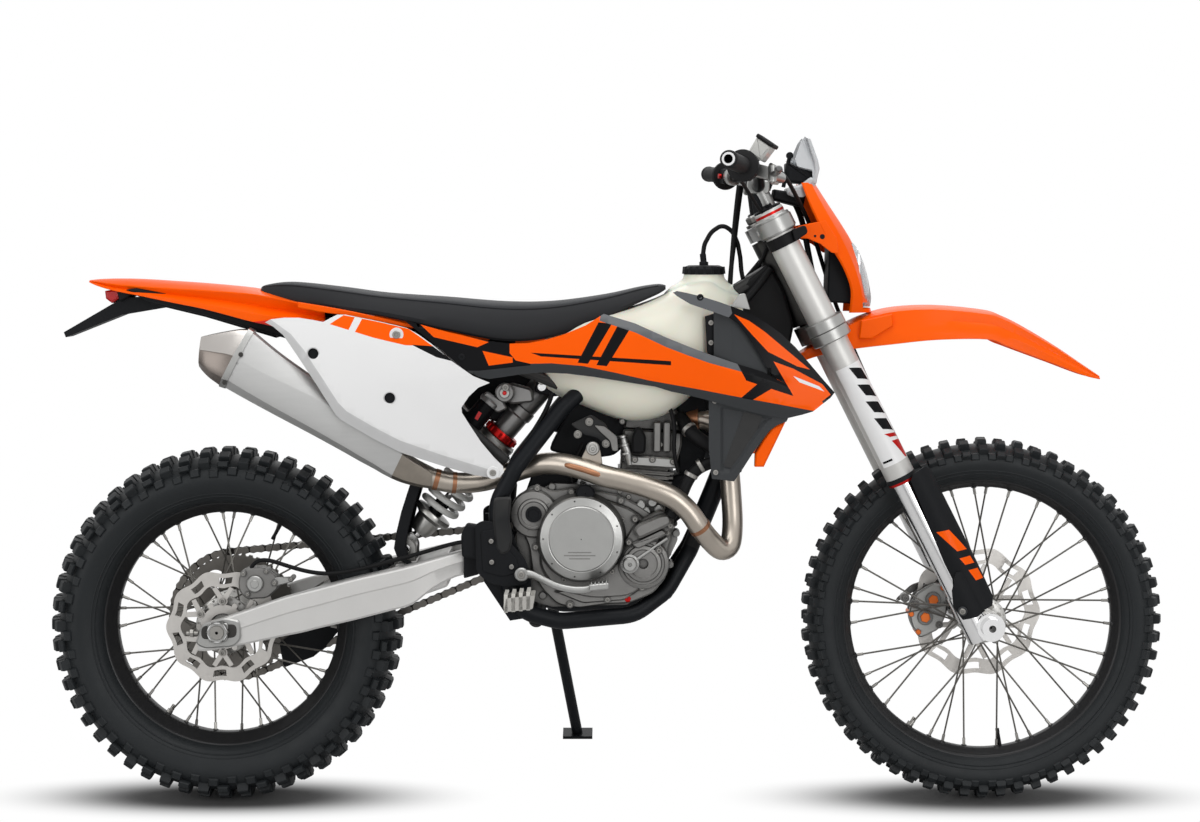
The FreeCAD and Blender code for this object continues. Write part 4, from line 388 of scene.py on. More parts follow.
# A rubber hose or cable that follows a smooth line through chosen points
def route(name, points, radius, body="chassis"):
    curve = bpy.data.curves.new(name, "CURVE")
    curve.dimensions = "3D"
    curve.bevel_depth = radius * metre
    curve.bevel_resolution = 4
    curve.resolution_u = 8
    curve.use_fill_caps = True
    spline = curve.splines.new("NURBS")
    spline.points.add(len(points) - 1)
    for place, target in zip(points, spline.points):
        target.co = (*(park @ Vector(place)), 1)
    spline.order_u = min(4, len(points))
    spline.use_endpoint_u = True
    curve.materials.append(finishes["hoseRubber"])
    piece = bpy.data.objects.new(name, curve)
    scene.collection.objects.link(piece)
    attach(piece, body)


# Wheels

# Each block: place round the pitch, place across, width, length, share of the height; each side
# block: place, radius, width, length, height
frontTyre = {"at": frontHub, "radius": 354, "half": 45, "knob": 12.5, "rim": 279, "bead": 22,
    "pitches": 30, "blocks": [(0.0, 0.22, 15, 17, 1.0), (0.0, 0.78, 14, 17, 0.95),
    (0.5, 0.50, 16, 17, 1.0), (0.5, 0.96, 11, 17, 0.62)], "sides": [(0.25, 319, 12, 15, 3.6),
    (0.75, 319, 12, 15, 3.6)]}
rearTyre = {"at": rearHub, "radius": 345, "half": 69, "knob": 15.5, "rim": 245, "bead": 32,
    "pitches": 26, "blocks": [(0.0, 0.17, 20, 19, 1.0), (0.0, 0.62, 21, 20, 1.0),
    (0.5, 0.00, 22, 19, 1.0), (0.5, 0.38, 20, 19, 1.0), (0.5, 0.80, 16, 20, 0.92)],
    "sides": [(0.25, 302, 14, 18, 5.0), (0.75, 297, 13, 17, 4.6), (0.0, 315, 10, 20, 6.0)]}
frontWheel = {"at": frontHub, "rimR": 279, "half": 26, "deep": 22, "flangeR": 44, "flangeY": 36,
    "ends": (-64, 64), "valve": -1.42}
rearWheel = {"at": rearHub, "rimR": 245, "half": 36, "deep": 28, "flangeR": 56, "flangeY": 40,
    "ends": (-62, 87), "valve": 1.08}
frontDisc = {"at": frontHub, "outer": 130, "band": 30, "boltR": 52, "low": 60, "high": 64,
    "face": 1}
rearDisc = {"at": rearHub, "outer": 110, "band": 28, "boltR": 50, "low": -66, "high": -62,
    "face": -1}
spokes, waves, discArms = 18, 10, 6


# One tapered rubber block that stands square on the carcass, with a soft top edge
def treadBlock(bm, place, wide, long, tall):
    rings = []
    for level, spread in ((-2.5, 1.8), (tall * 0.25, 0.9), (tall - 1.3, 0), (tall, -1.3)):
        x, y = long / 2 + spread, wide / 2 + spread
        rings.append([place @ Vector(corner) for corner in ((-x, -y, level), (x, -y, level),
            (x, y, level), (-x, y, level))])
    bm.faces.new(lofted(bm, rings, caps=False)[-1])


def tyre(name, node, body, spec):
    bm = bmesh.new()
    at, half, knob, rimR, bead = (spec[key] for key in ("at", "half", "knob", "rim", "bead"))
    treadR, chord, crown = spec["radius"] - knob, half * 0.80, knob * 1.15
    crossR = (chord * chord + crown ** 2) / (2 * knob * 1.15)
    profile = []
    for k in range(-10, 11):                      # crown under the blocks
        y = chord * k / 10
        profile.append((treadR - crossR + math.sqrt(crossR ** 2 - y * y), y))
    wall, high, fullest = [], profile[-1][0], half * 0.985
    for k in range(1, 12):                        # side wall, fullest at two thirds of its height
        t = k / 11
        y = chord + (fullest - chord) * math.sin(math.pi / 2 * t / 0.35)
        if t > 0.35:
            y = bead + (fullest - bead) * math.sin(math.pi * (0.28 + 0.62 * t)) ** 0.8
        wall.append((high + (rimR - 3 - high) * t, y))
    for r, y in ((rimR + 13, 0.9), (rimR + 7, 1.2)):   # rim lines moulded beside the bead
        wall = sorted(wall + [(r + 1.2, None), (r, y), (r - 1.2, None)], key=lambda p: -p[0])
    solid = [p for p in wall if p[1] is not None and p[1] > 3]
    filled = []
    for r, y in wall:
        before = [p for p in solid if p[0] >= r][-1:] or solid[:1]
        after = [p for p in solid if p[0] < r][:1] or solid[-1:]
        span = before[0][0] - after[0][0] or 1
        base = before[0][1] + (after[0][1] - before[0][1]) * (before[0][0] - r) / span
        filled.append((r, y if y is not None and y > 3 else base + (y or 0)))
    right = [(r, -y) for r, y in reversed(filled)]
    turned(bm, right + profile + filled + [(rimR - 9, bead - 1), (rimR - 9, 1 - bead)], 144, at)
    for pitch in range(spec["pitches"]):
        for offset, share, wide, long, tallShare in spec["blocks"]:
            for side in ((-1, 1) if share else (1,)):
                angle = 2 * math.pi * (pitch + offset + (0.02 if side > 0 else 0)) / spec["pitches"]
                y = side * share * half * 0.94
                tilt = math.asin(max(-0.98, min(0.98, y / crossR)))
                seatR = treadR - crossR + crossR * math.cos(tilt)
                spot = at @ Matrix.Rotation(angle, 4, "Y") @ Matrix.Translation((0, y, seatR))
                treadBlock(bm, spot @ Matrix.Rotation(-tilt, 4, "X"), wide, long, knob * tallShare)
        for offset, r, wide, long, tall in spec["sides"]:
            for side in (-1, 1):
                angle = 2 * math.pi * (pitch + offset) / spec["pitches"]
                spot = at @ Matrix.Rotation(angle, 4, "Y") @ Matrix.Translation((0,
                    side * (half - tall), r))
                treadBlock(bm, spot @ Matrix.Rotation(math.radians(-78 * side), 4, "X"), wide, long,
                    tall)
    addPiece(name, bm, ["tyreRubber"], [node], body, smooth=30, weld=0)


# The hub and rim ends of one crossed spoke, in the wheel's own frame
def spokeEnds(index, side, spec):
    angle = 2 * math.pi * (index + 0.25 * side) / spokes
    lead = math.radians(38) * (1 if index % 2 else -1)
    near = polar(spec["flangeR"] - 5, angle, side * (spec["flangeY"] + 2))
    return near, polar(spec["rimR"] - spec["deep"], angle + lead, side * 4)


def rim(name, node, body, spec):
    bm = bmesh.new()
    at, rimR, half, inner = spec["at"], spec["rimR"], spec["half"], spec["rimR"] - spec["deep"]
    profile = [(rimR + 1.5, half - 3), (rimR + 2, half - 1), (rimR, half), (rimR - 8, half - 1.5),
        (rimR - 11, half - 4), (rimR - 13, half - 8), (inner + 2.5, half * 0.42),
        (inner, half * 0.30), (inner - 0.6, 0)]
    profile += [(r, -y) for r, y in reversed(profile[:-1])]
    seat = rimR - 10
    profile += [(seat + 1, 4 - half), (seat, 8 - half), (inner + 5, -half * 0.34),
        (inner + 5, half * 0.34), (seat, half - 8), (seat + 1, half - 4)]
    turned(bm, profile, 144, at)
    for index in range(spokes):
        for side in (-1, 1):                       # a dimple round each nipple
            far = spokeEnds(index, side, spec)[1]
            bar(bm, far - far.normalized() * 2.0, far + far.normalized() * 3, 5.0, 12, 7.5,
                where=at)
    lock = polar(1, -2.15)                         # bead lock stud and its nut
    bar(bm, lock * (inner - 20), lock * inner, 3.2, 10, material=1, where=at)
    bar(bm, lock * (inner - 8), lock * inner, 6.5, 6, material=1, where=at)
    addPiece(name, bm, ["rimBlack", "boltSteel"], [node], body, smooth=40)


def hub(name, node, body, spec):
    bm = bmesh.new()
    at, flangeR, y = spec["at"], spec["flangeR"], spec["flangeY"]
    barrel, (low, high) = 23, spec["ends"]
    rimInner = spec["rimR"] - spec["deep"]
    turned(bm, [(11.3, low), (24, low), (26, low + 2), (26, -y - 7), (flangeR - 2, -y - 6),
        (flangeR, -y - 4.5), (flangeR, 1 - y), (flangeR - 2, 2 - y), (barrel + 8, 6 - y),
        (barrel, 14 - y), (barrel - 1, 0), (barrel, y - 14), (barrel + 8, y - 6),
        (flangeR - 2, y - 2), (flangeR, y - 1), (flangeR, y + 4.5), (flangeR - 2, y + 6),
        (26, y + 7), (26, high - 2), (24, high), (11.3, high)], 72, at)
    for side in (-1, 1):
        for index in range(9):                    # lightening pockets' rims between spoke pairs
            spot = polar(flangeR - 13, 2 * math.pi * (index + 0.5) / 9, side * (y + 5))
            bar(bm, spot, spot + Vector((0, side * 2.6, 0)), 4.4, 12, material=2, where=at)
    for index in range(spokes):
        for side in (-1, 1):
            near, far = spokeEnds(index, side, spec)
            along = (far - near).normalized()
            bar(bm, near, far - along * 10, 1.75, 8, material=1, where=at, caps=False)
            bar(bm, far - along * 15, far + along * 2, 2.9, 8, material=2, where=at)
            bar(bm, near - Vector((0, side * 4.5, 0)), near + Vector((0, side * 4.2, 0)), 2.6, 8,
                material=2, where=at)
    stem = polar(1, spec["valve"])
    bar(bm, stem * (rimInner + 2), stem * (rimInner - 26), 4.2, 12, 3.4, material=3, where=at)
    bar(bm, stem * (rimInner - 26), stem * (rimInner - 34), 3.8, 12, material=3, where=at)
    addPiece(name, bm, ["hubAlloy", "spokeSteel", "boltSteel", "hoseRubber"], [node],
        body, smooth=40, weld=0)


# A petal brake disc: wavy rim, slotted band, and arms that reach in to the carrier's bolts
def waveDisc(name, node, body, spec):
    bm = bmesh.new()
    at, outer, band, boltR, low, high = (spec[key]
        for key in ("at", "outer", "band", "boltR", "low", "high"))
    steps = waves * 16
    tracks = [(outer, band * 0.26), (outer - band * 0.34, band * 0.20),
        (outer - band * 0.78, band * 0.20), (outer - band, band * 0.24)]
    sheets = []
    for level in (low, high):
        sheets.append([[bm.verts.new(at @ polar(base - swing * (0.5 - 0.5 * math.cos(waves * a)), a,
            level)) for a in around(steps)] for base, swing in tracks])
    for sheet in sheets:
        for track, (one, two) in enumerate(zip(sheet, sheet[1:])):
            for k in range(steps):
                if track != 1 or not 3 <= k % 16 < 10:   # all but the slots in the band
                    bm.faces.new((one[k], one[(k + 1) % steps], two[(k + 1) % steps], two[k]))
    back, front = sheets
    for k in range(steps):
        slotted = 3 <= k % 16 < 10
        for track in (0, 3, 1, 2) if slotted else (0, 3):
            one, two = back[track], front[track]
            bm.faces.new((one[k], one[(k + 1) % steps], two[(k + 1) % steps], two[k]))
        if k % 16 in (3, 10):
            bm.faces.new((back[1][k], back[2][k], front[2][k], front[1][k]))
    for index in range(discArms):
        angle = 2 * math.pi * (index + 0.5) / discArms
        eye = polar(boltR, angle)
        for swing in (-1, 1):
            tip = polar(outer - band * 1.15, angle + swing * 0.22)
            along = (tip - eye).normalized()
            side = Vector((-along.z, 0, along.x)) * 4.6
            corners = [eye - side * 1.15 - along * 4, tip - side, tip + side,
                eye + side * 1.15 - along * 4]
            slab(bm, [(c.x, c.z) for c in corners], low + 0.3, high - 0.3, 0.4, where=at)
        crossBar(bm, eye.x, eye.z, low, high, 9, 20, where=at)
        sideScrew(bm, (eye.x, high if spec["face"] > 0 else low, eye.z), 6.2, 4.0, material=1,
            where=at)
    turned(bm, [(boltR - 7, low), (boltR - 7, high), (26.2, high), (26.2, low)], 72, at)
    for angle in around(discArms * 2):
        eye = polar(boltR - 4, angle)
        crossBar(bm, eye.x, eye.z, low + 0.2, high - 0.2, 5.5, 12, where=at)
    addPiece(name, bm, ["discSteel", "boltSteel"], [node], body, smooth=35,
        weld=0.005)


for make, ending, part, specs in ((tyre, "KnobblyTyre", "_tyre", (frontTyre, rearTyre)),
        (rim, "Rim", "_rim", (frontWheel, rearWheel)), (hub, "HubSpokes", "_hub",
        (frontWheel, rearWheel)), (waveDisc, "WaveDisc", "_disc", (frontDisc, rearDisc))):
    for end, spec in zip(("front", "rear"), specs):
        make(end + ending, end + part, end + "_wheel", spec)
print("wheels done")


# Bodywork

finish("shroudGrey", tint(88, 90, 93), 0.34, vary=0.04, varyScale=10, grain=0.08, coat=0.25)
# a grey copy of the white plastic, painted shade for the side panels' chamfer
finish("panelShade", tint(198, 198, 198), 0.40, vary=0.03, varyScale=10, grain=0.06, coat=0.20)
# a darker copy of the orange, painted shadow under the tail fender's lip
finish("orangeShade", tint(205, 30, 6), 0.36, vary=0.05, varyScale=8, grain=0.06, coat=0.25)


# The stations with smooth ones between them, each pair split in steps
def between(stations, steps):
    rows = []
    for index in range(len(stations) - 1):
        four = (stations[max(index - 1, 0)], stations[index], stations[index + 1],
            stations[min(index + 2, len(stations) - 1)])
        for step in range(steps):
            t = step / steps
            rows.append(tuple(0.5 * (2 * b + (c - a) * t + (2 * a - 5 * b + 4 * c - d) * t * t
                + (3 * b - a - 3 * c + d) * t ** 3) for a, b, c, d in zip(*four)))
    rows.append(tuple(stations[-1]))
    return rows


# Smooth value at x through (x, value) points
def curveAt(points, x):
    if x <= points[0][0]:
        return points[0][1]
    if x >= points[-1][0]:
        return points[-1][1]
    index = max(i for i in range(len(points) - 1) if points[i][0] <= x)
    (x1, a), (x2, b) = points[index], points[index + 1]
    before, after = points[max(index - 1, 0)], points[min(index + 2, len(points) - 1)]
    wide = x2 - x1
    slopeA = (b - before[1]) / (x2 - before[0]) * wide
    slopeB = (after[1] - a) / (after[0] - x1) * wide
    t = (x - x1) / wide
    return (a * (2 * t ** 3 - 3 * t * t + 1) + slopeA * (t ** 3 - 2 * t * t + t)
        + b * (3 * t * t - 2 * t ** 3) + slopeB * (t ** 3 - t * t))


# Depth of a bowed skin at (x, z), from three rows (z, ((x, share), …)) and its widest depth
def bowed(rows, out):
    def depth(x, z):
        total = 0
        for index, (level, points) in enumerate(rows):
            weight = 1
            for other, (otherLevel, _) in enumerate(rows):
                if other != index:
                    weight *= (z - otherLevel) / (level - otherLevel)
            total += weight * curveAt(points, x)
        return total * out
    return depth


def within(x, z, polygon):
    inside = False
    for (x1, z1), (x2, z2) in zip(polygon, polygon[1:] + polygon[:1]):
        if (z1 > z) != (z2 > z) and x < (x2 - x1) * (z - z1) / (z2 - z1) + x1:
            inside = not inside
    return inside


def distanceTo(line, x, z):
    here = Vector((x, z))
    best = 1e9
    for one, two in zip(line, line[1:]):
        one, two = Vector(one), Vector(two)
        along = two - one
        t = min(max((here - one).dot(along) / along.length_squared, 0), 1)
        best = min(best, (one + along * t - here).length)
    return best


# Splits the flat sheet's faces that lie about the segment, along its line
def cutAlong(sheet, one, two):
    low = (min(one[0], two[0]) - 0.5, min(one[1], two[1]) - 0.5)
    high = (max(one[0], two[0]) + 0.5, max(one[1], two[1]) + 0.5)
    near = []
    for face in sheet.faces:
        xs = [v.co.x for v in face.verts]
        zs = [v.co.z for v in face.verts]
        if max(xs) > low[0] and min(xs) < high[0] and max(zs) > low[1] and min(zs) < high[1]:
            near.append(face)
    parts = set(near)
    for face in near:
        parts.update(face.verts)
        parts.update(face.edges)
    bmesh.ops.bisect_plane(sheet, geom=list(parts), dist=0.02, plane_co=(one[0], 0, one[1]),
        plane_no=(one[1] - two[1], 0, two[0] - one[0]))


# A bowed sheet with a side outline. Areas are (polygon, material), folds (polygon, line, slope)
def panel(bm, outline, depth, wall, areas=(), holes=(), folds=(), step=14, base=0, sides=(-1, 1)):
    sheet = bmesh.new()
    sheet.faces.new([sheet.verts.new((x, 0, z)) for x, z in outline])
    for axis in (0, 2):
        values = [v.co[axis] for v in sheet.verts]
        level = min(values) + step
        normal = (1, 0, 0) if axis == 0 else (0, 0, 1)
        while level < max(values) - 1:
            spot = (level, 0, 0) if axis == 0 else (0, 0, level)
            bmesh.ops.bisect_plane(sheet, geom=sheet.verts[:] + sheet.edges[:] + sheet.faces[:],
                dist=0.02, plane_co=spot, plane_no=normal)
            level += step
    shapes = [polygon for polygon, _ in areas] + list(holes) + [polygon for polygon, _, _ in folds]
    for polygon in shapes:
        for one, two in zip(polygon, polygon[1:] + polygon[:1]):
            cutAlong(sheet, one, two)
    gone = []
    for face in sheet.faces:
        middle = face.calc_center_median()
        face.material_index = base
        for polygon, material in areas:
            if within(middle.x, middle.z, polygon):
                face.material_index = material
        if any(within(middle.x, middle.z, hole) for hole in holes):
            gone.append(face)
    bmesh.ops.delete(sheet, geom=gone, context="FACES")
    levels = {}
    for vert in sheet.verts:
        x, z = vert.co.x, vert.co.z
        out = depth(x, z)
        for polygon, line, slope in folds:
            if within(x, z, polygon):
                out -= slope * distanceTo(line, x, z)
        levels[vert] = out
    for side in sides:
        outer = {v: bm.verts.new((v.co.x, side * levels[v], v.co.z)) for v in sheet.verts}
        inner = {v: bm.verts.new((v.co.x, side * (levels[v] - wall), v.co.z)) for v in sheet.verts}
        for face in sheet.faces:
            for layer in (outer, inner):
                bm.faces.new([layer[v] for v in face.verts]).material_index = face.material_index
        for edge in sheet.edges:
            if len(edge.link_faces) == 1:
                one, two = edge.verts
                wallFace = bm.faces.new((outer[one], outer[two], inner[two], inner[one]))
                wallFace.material_index = edge.link_faces[0].material_index
    sheet.free()


def disc(x, z, radius, steps=20):
    return [(x + radius * math.cos(a), z + radius * math.sin(a)) for a in around(steps)]


shroud = {"out": 158, "shieldOut": 148, "wall": 3.2, "lip": 0.34, "strip": 0.42}
stripTop = [(740, 955), (800, 937), (860, 910), (900, 894), (940, 879), (1000, 859), (1043, 846),
    (1086, 822)]
stripLow = [(732, 942), (800, 920), (860, 892), (900, 877), (940, 863), (1000, 847), (1043, 834),
    (1088, 817)]
lipTop = [(500, 846), (547, 853), (600, 859), (640, 861), (700, 856), (760, 844), (827, 829),
    (920, 813), (1000, 798), (1070, 785), (1140, 771)]
shroudRows = ((740, ((340, 0.74), (600, 0.88), (850, 0.97), (1020, 1.06), (1190, 0.92))),
    (860, ((340, 0.72), (600, 0.86), (850, 0.98), (1020, 1.08), (1190, 0.93))),
    (1010, ((340, 0.66), (600, 0.76), (850, 0.84), (1020, 0.95), (1190, 0.86))))


def shrouds():
    depth = bowed(shroudRows, shroud["out"])
    outline = [(358, 941), (373, 938), (440, 920), (518, 903), (560, 898), (594, 899), (630, 906),
        (664, 916), (705, 933), (740, 955), *stripTop[1:], (1070, 832), (1056, 842), (1046, 860),
        (1036, 878), (1022, 900), (1008, 921), (994, 938), (978, 949), (950, 959), (905, 974),
        (880, 989), (872, 996), (880, 999), (900, 995), (925, 989), (958, 979), (1000, 964),
        (1028, 951), (1050, 938), (1076, 919), (1104, 893), (1130, 863), (1160, 828), (1180, 806),
        (1172, 796), (1138, 770), (1118, 764), (1084, 756), (1040, 765), (985, 779), (930, 794),
        (897, 802), (868, 808), (839, 817), (780, 826), (722, 835), (670, 841), (617, 843),
        (580, 839), (547, 834), (520, 830), (500, 834), (470, 850), (430, 884)]
    band = [(560, 880), (560, 902), (740, 960), *stripLow, (1076, 824), (1150, 798), (1160, 782),
        (1140, 771), *lipTop[-2:2:-1], (600, 860), (572, 866)]
    rearFlash = [(388, 934), (520, 901), (498, 891), (414, 910)]
    lowFlash = [(508, 884), (566, 872), (566, 862), (520, 856)]
    wedge = [(600, 881), (868, 866), (868, 858), (620, 874)]
    slashes = [[(x, 861 - (x - 700) * 0.12), (x + 20, 859 - (x - 700) * 0.12),
        (x + 66, 935 - (x - 700) * 0.2), (x + 40, 937 - (x - 700) * 0.2)] for x in (690, 726)]
    frontWedge = [(1000, 797), (1022, 793), (1078, 826), (1046, 836)]
    wingBlack = [(978, 985), (1060, 985), (1200, 860), (1200, 800), (1176, 790), (1096, 812),
        (1070, 826), (1040, 838), (1000, 900), (960, 950)]
    wingFlash = [(988, 955), (1016, 943), (1046, 922), (1132, 850), (1108, 856), (1052, 884),
        (1022, 916)]
    frontPatch = [(1062, 866), (1100, 852), (1156, 822), (1172, 802), (1138, 776), (1092, 814)]
    frontTail = [(1100, 838), (1150, 818), (1160, 808), (1112, 826)]
    areas = [([(340, 960), (600, 960), (600, 857), (500, 846), (440, 846), (340, 900)], 2),
        (band, 1), (rearFlash, 1), (lowFlash, 1), (wedge, 2), (slashes[0], 2), (slashes[1], 2),
        (frontWedge, 2), (stripLow + [(1086, 822)] + stripTop[::-1][1:] + [(736, 962)], 3),
        (wingBlack, 2), ([(986, 876), (1060, 876), (1100, 800), (1010, 830)], 2), (wingFlash, 1),
        (frontPatch, 1), (frontTail, 4), ([(860, 1010), (860, 985), (975, 946), (984, 957),
        (978, 985)], 3)]
    folds = [(lipTop + [(1140, 740), (490, 740), (490, 846)], lipTop, shroud["lip"]),
        (stripLow + [(1090, 826), (1060, 842)] + [(x, z + 4) for x, z in stripTop[::-1][1:]]
        + [(730, 965)], stripLow, shroud["strip"])]
    bm = bmesh.new()
    panel(bm, outline, depth, shroud["wall"], areas, (), folds)
    for side in (-1, 1):
        for x, z in ((924, 987), (468, 872)):
            sideScrew(bm, (x, side * (depth(x, z) - 1), z), 6.5, 3.0, material=5)
        sideScrew(bm, (1046, side * (depth(1046, 826) - 3), 826), 5.5, 3.0, material=5)
    addPiece("shroudPanels", bm, ["greyPlastic", "graphicOrange", "graphicBlack",
        "shroudGrey", "whitePlastic", "blackPlastic"], ["shrouds"], smooth=32, bevel=0.8, weld=0)
    bm = bmesh.new()
    louver = [(950, 962), (985, 950), (1000, 936), (1016, 914), (1034, 886), (1052, 852),
        (1050, 842), (950, 874)]
    face = bowed(shroudRows, shroud["shieldOut"])
    folds = [([(950, 980), (984, 980), (984, 800), (950, 800)], [(984, 980), (984, 800)], 0.30)]
    panel(bm, louver, face, 3, (), (), folds, step=10)
    for side in (-1, 1):
        slab(bm, [(934, 950), (952, 956), (954, 872), (938, 880)], side * 118, side * 132, 2,
            material=1)
        for z in (938, 900):
            sideScrew(bm, (945, side * 132, z), 5, 3, material=2)
    addPiece("radiatorShields", bm, ["greyPlastic", "blackPlastic", "boltSteel"],
        smooth=32, bevel=0.6, weld=0)


numberPanel = {"out": 140, "wall": 3.2, "eyes": ((184, 879), (332, 795)), "eyeR": 10.5,
    "chamfer": 0.50, "bow": 0.06}


def sidePanels():
    rows = ((630, ((50, 0.96), (300, 1.00), (560, 0.98))), (800, ((50, 0.98), (300, 1.03),
        (560, 0.93))), (960, ((50, 0.72), (300, 0.80), (560, 0.80))))
    depth = bowed(rows, numberPanel["out"])
    outline = [(88, 938), (100, 944), (126, 947), (153, 947), (180, 943), (201, 939), (214, 946),
        (228, 953), (243, 953), (300, 942), (345, 932), (364, 927), (384, 916), (412, 896),
        (450, 864), (490, 836), (522, 823), (500, 814), (482, 797), (468, 776), (469, 766),
        (484, 742), (505, 710), (530, 680), (547, 663), (549, 652), (541, 642), (524, 640),
        (490, 646), (430, 664), (352, 690), (300, 717), (250, 746), (238, 753), (228, 763),
        (190, 821), (150, 878), (124, 914), (104, 930)]
    chamferLine = [(96, 946), (140, 916), (166, 886), (206, 828), (234, 786), (250, 770),
        (300, 741), (352, 714), (430, 686), (524, 656)]
    chamferArea = chamferLine + [(524, 620), (340, 660), (230, 730), (110, 900), (70, 946)]
    lowLine = [(352, 640), (330, 740), (338, 822), (470, 836), (560, 846)]
    lowArea = lowLine + [(620, 700), (600, 600), (352, 600)]
    band = [(214, 935), (240, 952), (300, 941), (345, 931), (366, 926), (392, 908), (413, 893),
        (360, 895), (300, 909)]
    bandTail = [(372, 896), (413, 893), (452, 864), (420, 872)]
    bandCut = [(262, 948), (276, 945), (262, 918), (250, 922)]
    # the chamfer strip takes the grey copy of the white, painted shade
    areas = [(chamferArea, 1), (band, 2), (bandTail, 3), (bandCut, 0)]
    folds = [(chamferArea, chamferLine, numberPanel["chamfer"]),
        (lowArea, lowLine, numberPanel["bow"])]
    bm = bmesh.new()
    eyes = [disc(x, z, numberPanel["eyeR"]) for x, z in numberPanel["eyes"]]
    panel(bm, outline, depth, numberPanel["wall"], areas, eyes, folds)
    for side in (-1, 1):
        for x, z in numberPanel["eyes"]:
            out = depth(x, z)
            crossBar(bm, x, z, side * (out - 12), side * (out - 5), 10.6, 20, material=4)
            turned(bm, [(10.4, -8), (12.4, -8), (12.4, 0.8), (10.4, 0.8)], 24,
                Matrix.Translation((x, side * out, z)) @ Matrix.Scale(side, 4, (0, 1, 0)),
                material=1)
        for x, z, r, sunk in ((343, 915, 9, 0), (528, 651, 7.5, 9)):
            out = depth(x, z) - sunk
            crossBar(bm, x, z, side * (out - 3), side * (out + 1.4), r + 4.5, 24, chamfer=0.6)
            sideScrew(bm, (x, side * (out + 1), z), r * 0.86, 2.6, material=5)
    addPiece("numberPanels", bm, ["whitePlastic", "panelShade", "graphicOrange",
        "graphicBlack", "blackPlastic", "boltSteel"], ["side_panels"], smooth=32, bevel=0.8, weld=0)


guard = {"out": 153, "wall": 4, "sunk": 0.9}


def radiatorGuards():
    outline = [(940, 800), (1000, 790), (1060, 776), (1094, 764), (1088, 751), (1070, 744),
        (1056, 734), (1042, 716), (1022, 688), (1004, 660), (988, 637), (946, 642), (940, 700)]
    field = [(962, 784), (1030, 770), (1062, 758), (1046, 744), (1026, 716), (1004, 682),
        (982, 652), (962, 654)]
    inner = [(968, 776), (1026, 764), (1048, 755), (1038, 745), (1018, 716), (998, 686), (979, 661),
        (968, 662)]
    bm = bmesh.new()
    panel(bm, outline, lambda x, z: guard["out"], guard["wall"], [(field, 1)], (),
        [(field, field + field[:1], guard["sunk"]), (inner, inner + inner[:1], -guard["sunk"])],
        step=10)
    for side in (-1, 1):
        slab(bm, [(1028, 664), (1045, 664), (1087, 751), (1062, 740), (1044, 716), (1029, 690)],
            side * 120, side * 149, 3, material=2)
        for x, z in ((951, 790), (953, 654)):
            sideScrew(bm, (x, side * guard["out"], z), 5, 2.6, material=3)
    addPiece("radiatorGuardPanels", bm, ["greyPlastic", "greyPlastic",
        "orangePlastic", "boltSteel"], ["radiator_guards"], smooth=28, bevel=0.7, weld=0)


tankShape = {"fillerX": 937, "flat": 0.62, "upright": 0.66, "knurls": 16}


# A sine or cosine with its power changed, which squares up an oval section
def squared(value, power):
    return math.copysign(abs(value) ** power, value)


def tank():
    stations = [(625, 806, 928, 56), (640, 796, 934, 76), (700, 771, 947, 110),
        (780, 743, 962, 134), (845, 748, 984, 138), (888, 772, 1006, 136), (920, 800, 1016, 126),
        (945, 824, 1018, 110), (980, 852, 1004, 92), (1010, 880, 990, 70)]
    rings = []
    for x, low, high, half in between(stations, 4):
        middle, tall = (low + high) / 2, (high - low) / 2
        rings.append([Vector((x, half * squared(math.cos(a), tankShape["flat"]),
            middle + tall * squared(math.sin(a), tankShape["upright"]))) for a in around(40)])
    bm = bmesh.new()
    lofted(bm, rings)
    filler = Vector((tankShape["fillerX"], 0, 0))
    upright = Matrix.Translation(filler) @ Matrix.Rotation(math.pi / 2, 4, "X")
    turned(bm, [(2, 960), (84, 960), (78, 992), (64, 1006), (50, 1013), (42, 1020), (39.5, 1028),
        (39.5, 1034), (2, 1034)], 48, upright, closed=False)
    addPiece("tankShell", bm, ["tankCream", "blackPlastic"], ["fuel_tank"],
        smooth=50, weld=0.01)
    bm = bmesh.new()
    turned(bm, [(2, 1028), (39, 1028), (41, 1031), (41, 1040), (38, 1044), (30, 1047), (26, 1046),
        (12, 1047), (2, 1047)], 48, upright, closed=False)
    for a in around(tankShape["knurls"]):
        out = Vector((math.cos(a), math.sin(a), 0))
        bar(bm, filler + out * 39.5 + Vector((0, 0, 1030)),
            filler + out * 38 + Vector((0, 0, 1044)), 3.4, 8)
    bar(bm, filler + Vector((0, 0, 1040)), filler + Vector((0, 0, 1054)), 9, 20, chamfer=1)
    bar(bm, filler + Vector((0, 0, 1050)), (935, 0, 1070), 6.2, 20, chamfer=1)
    addPiece("fillerCap", bm, ["blackPlastic"], ["tank_cap"], weld=0.01, smooth=35)


saddleShape = {"pipeY": 0.825, "pipeZ": 0.835, "pipeR": 1.5, "topFrom": 0.82}


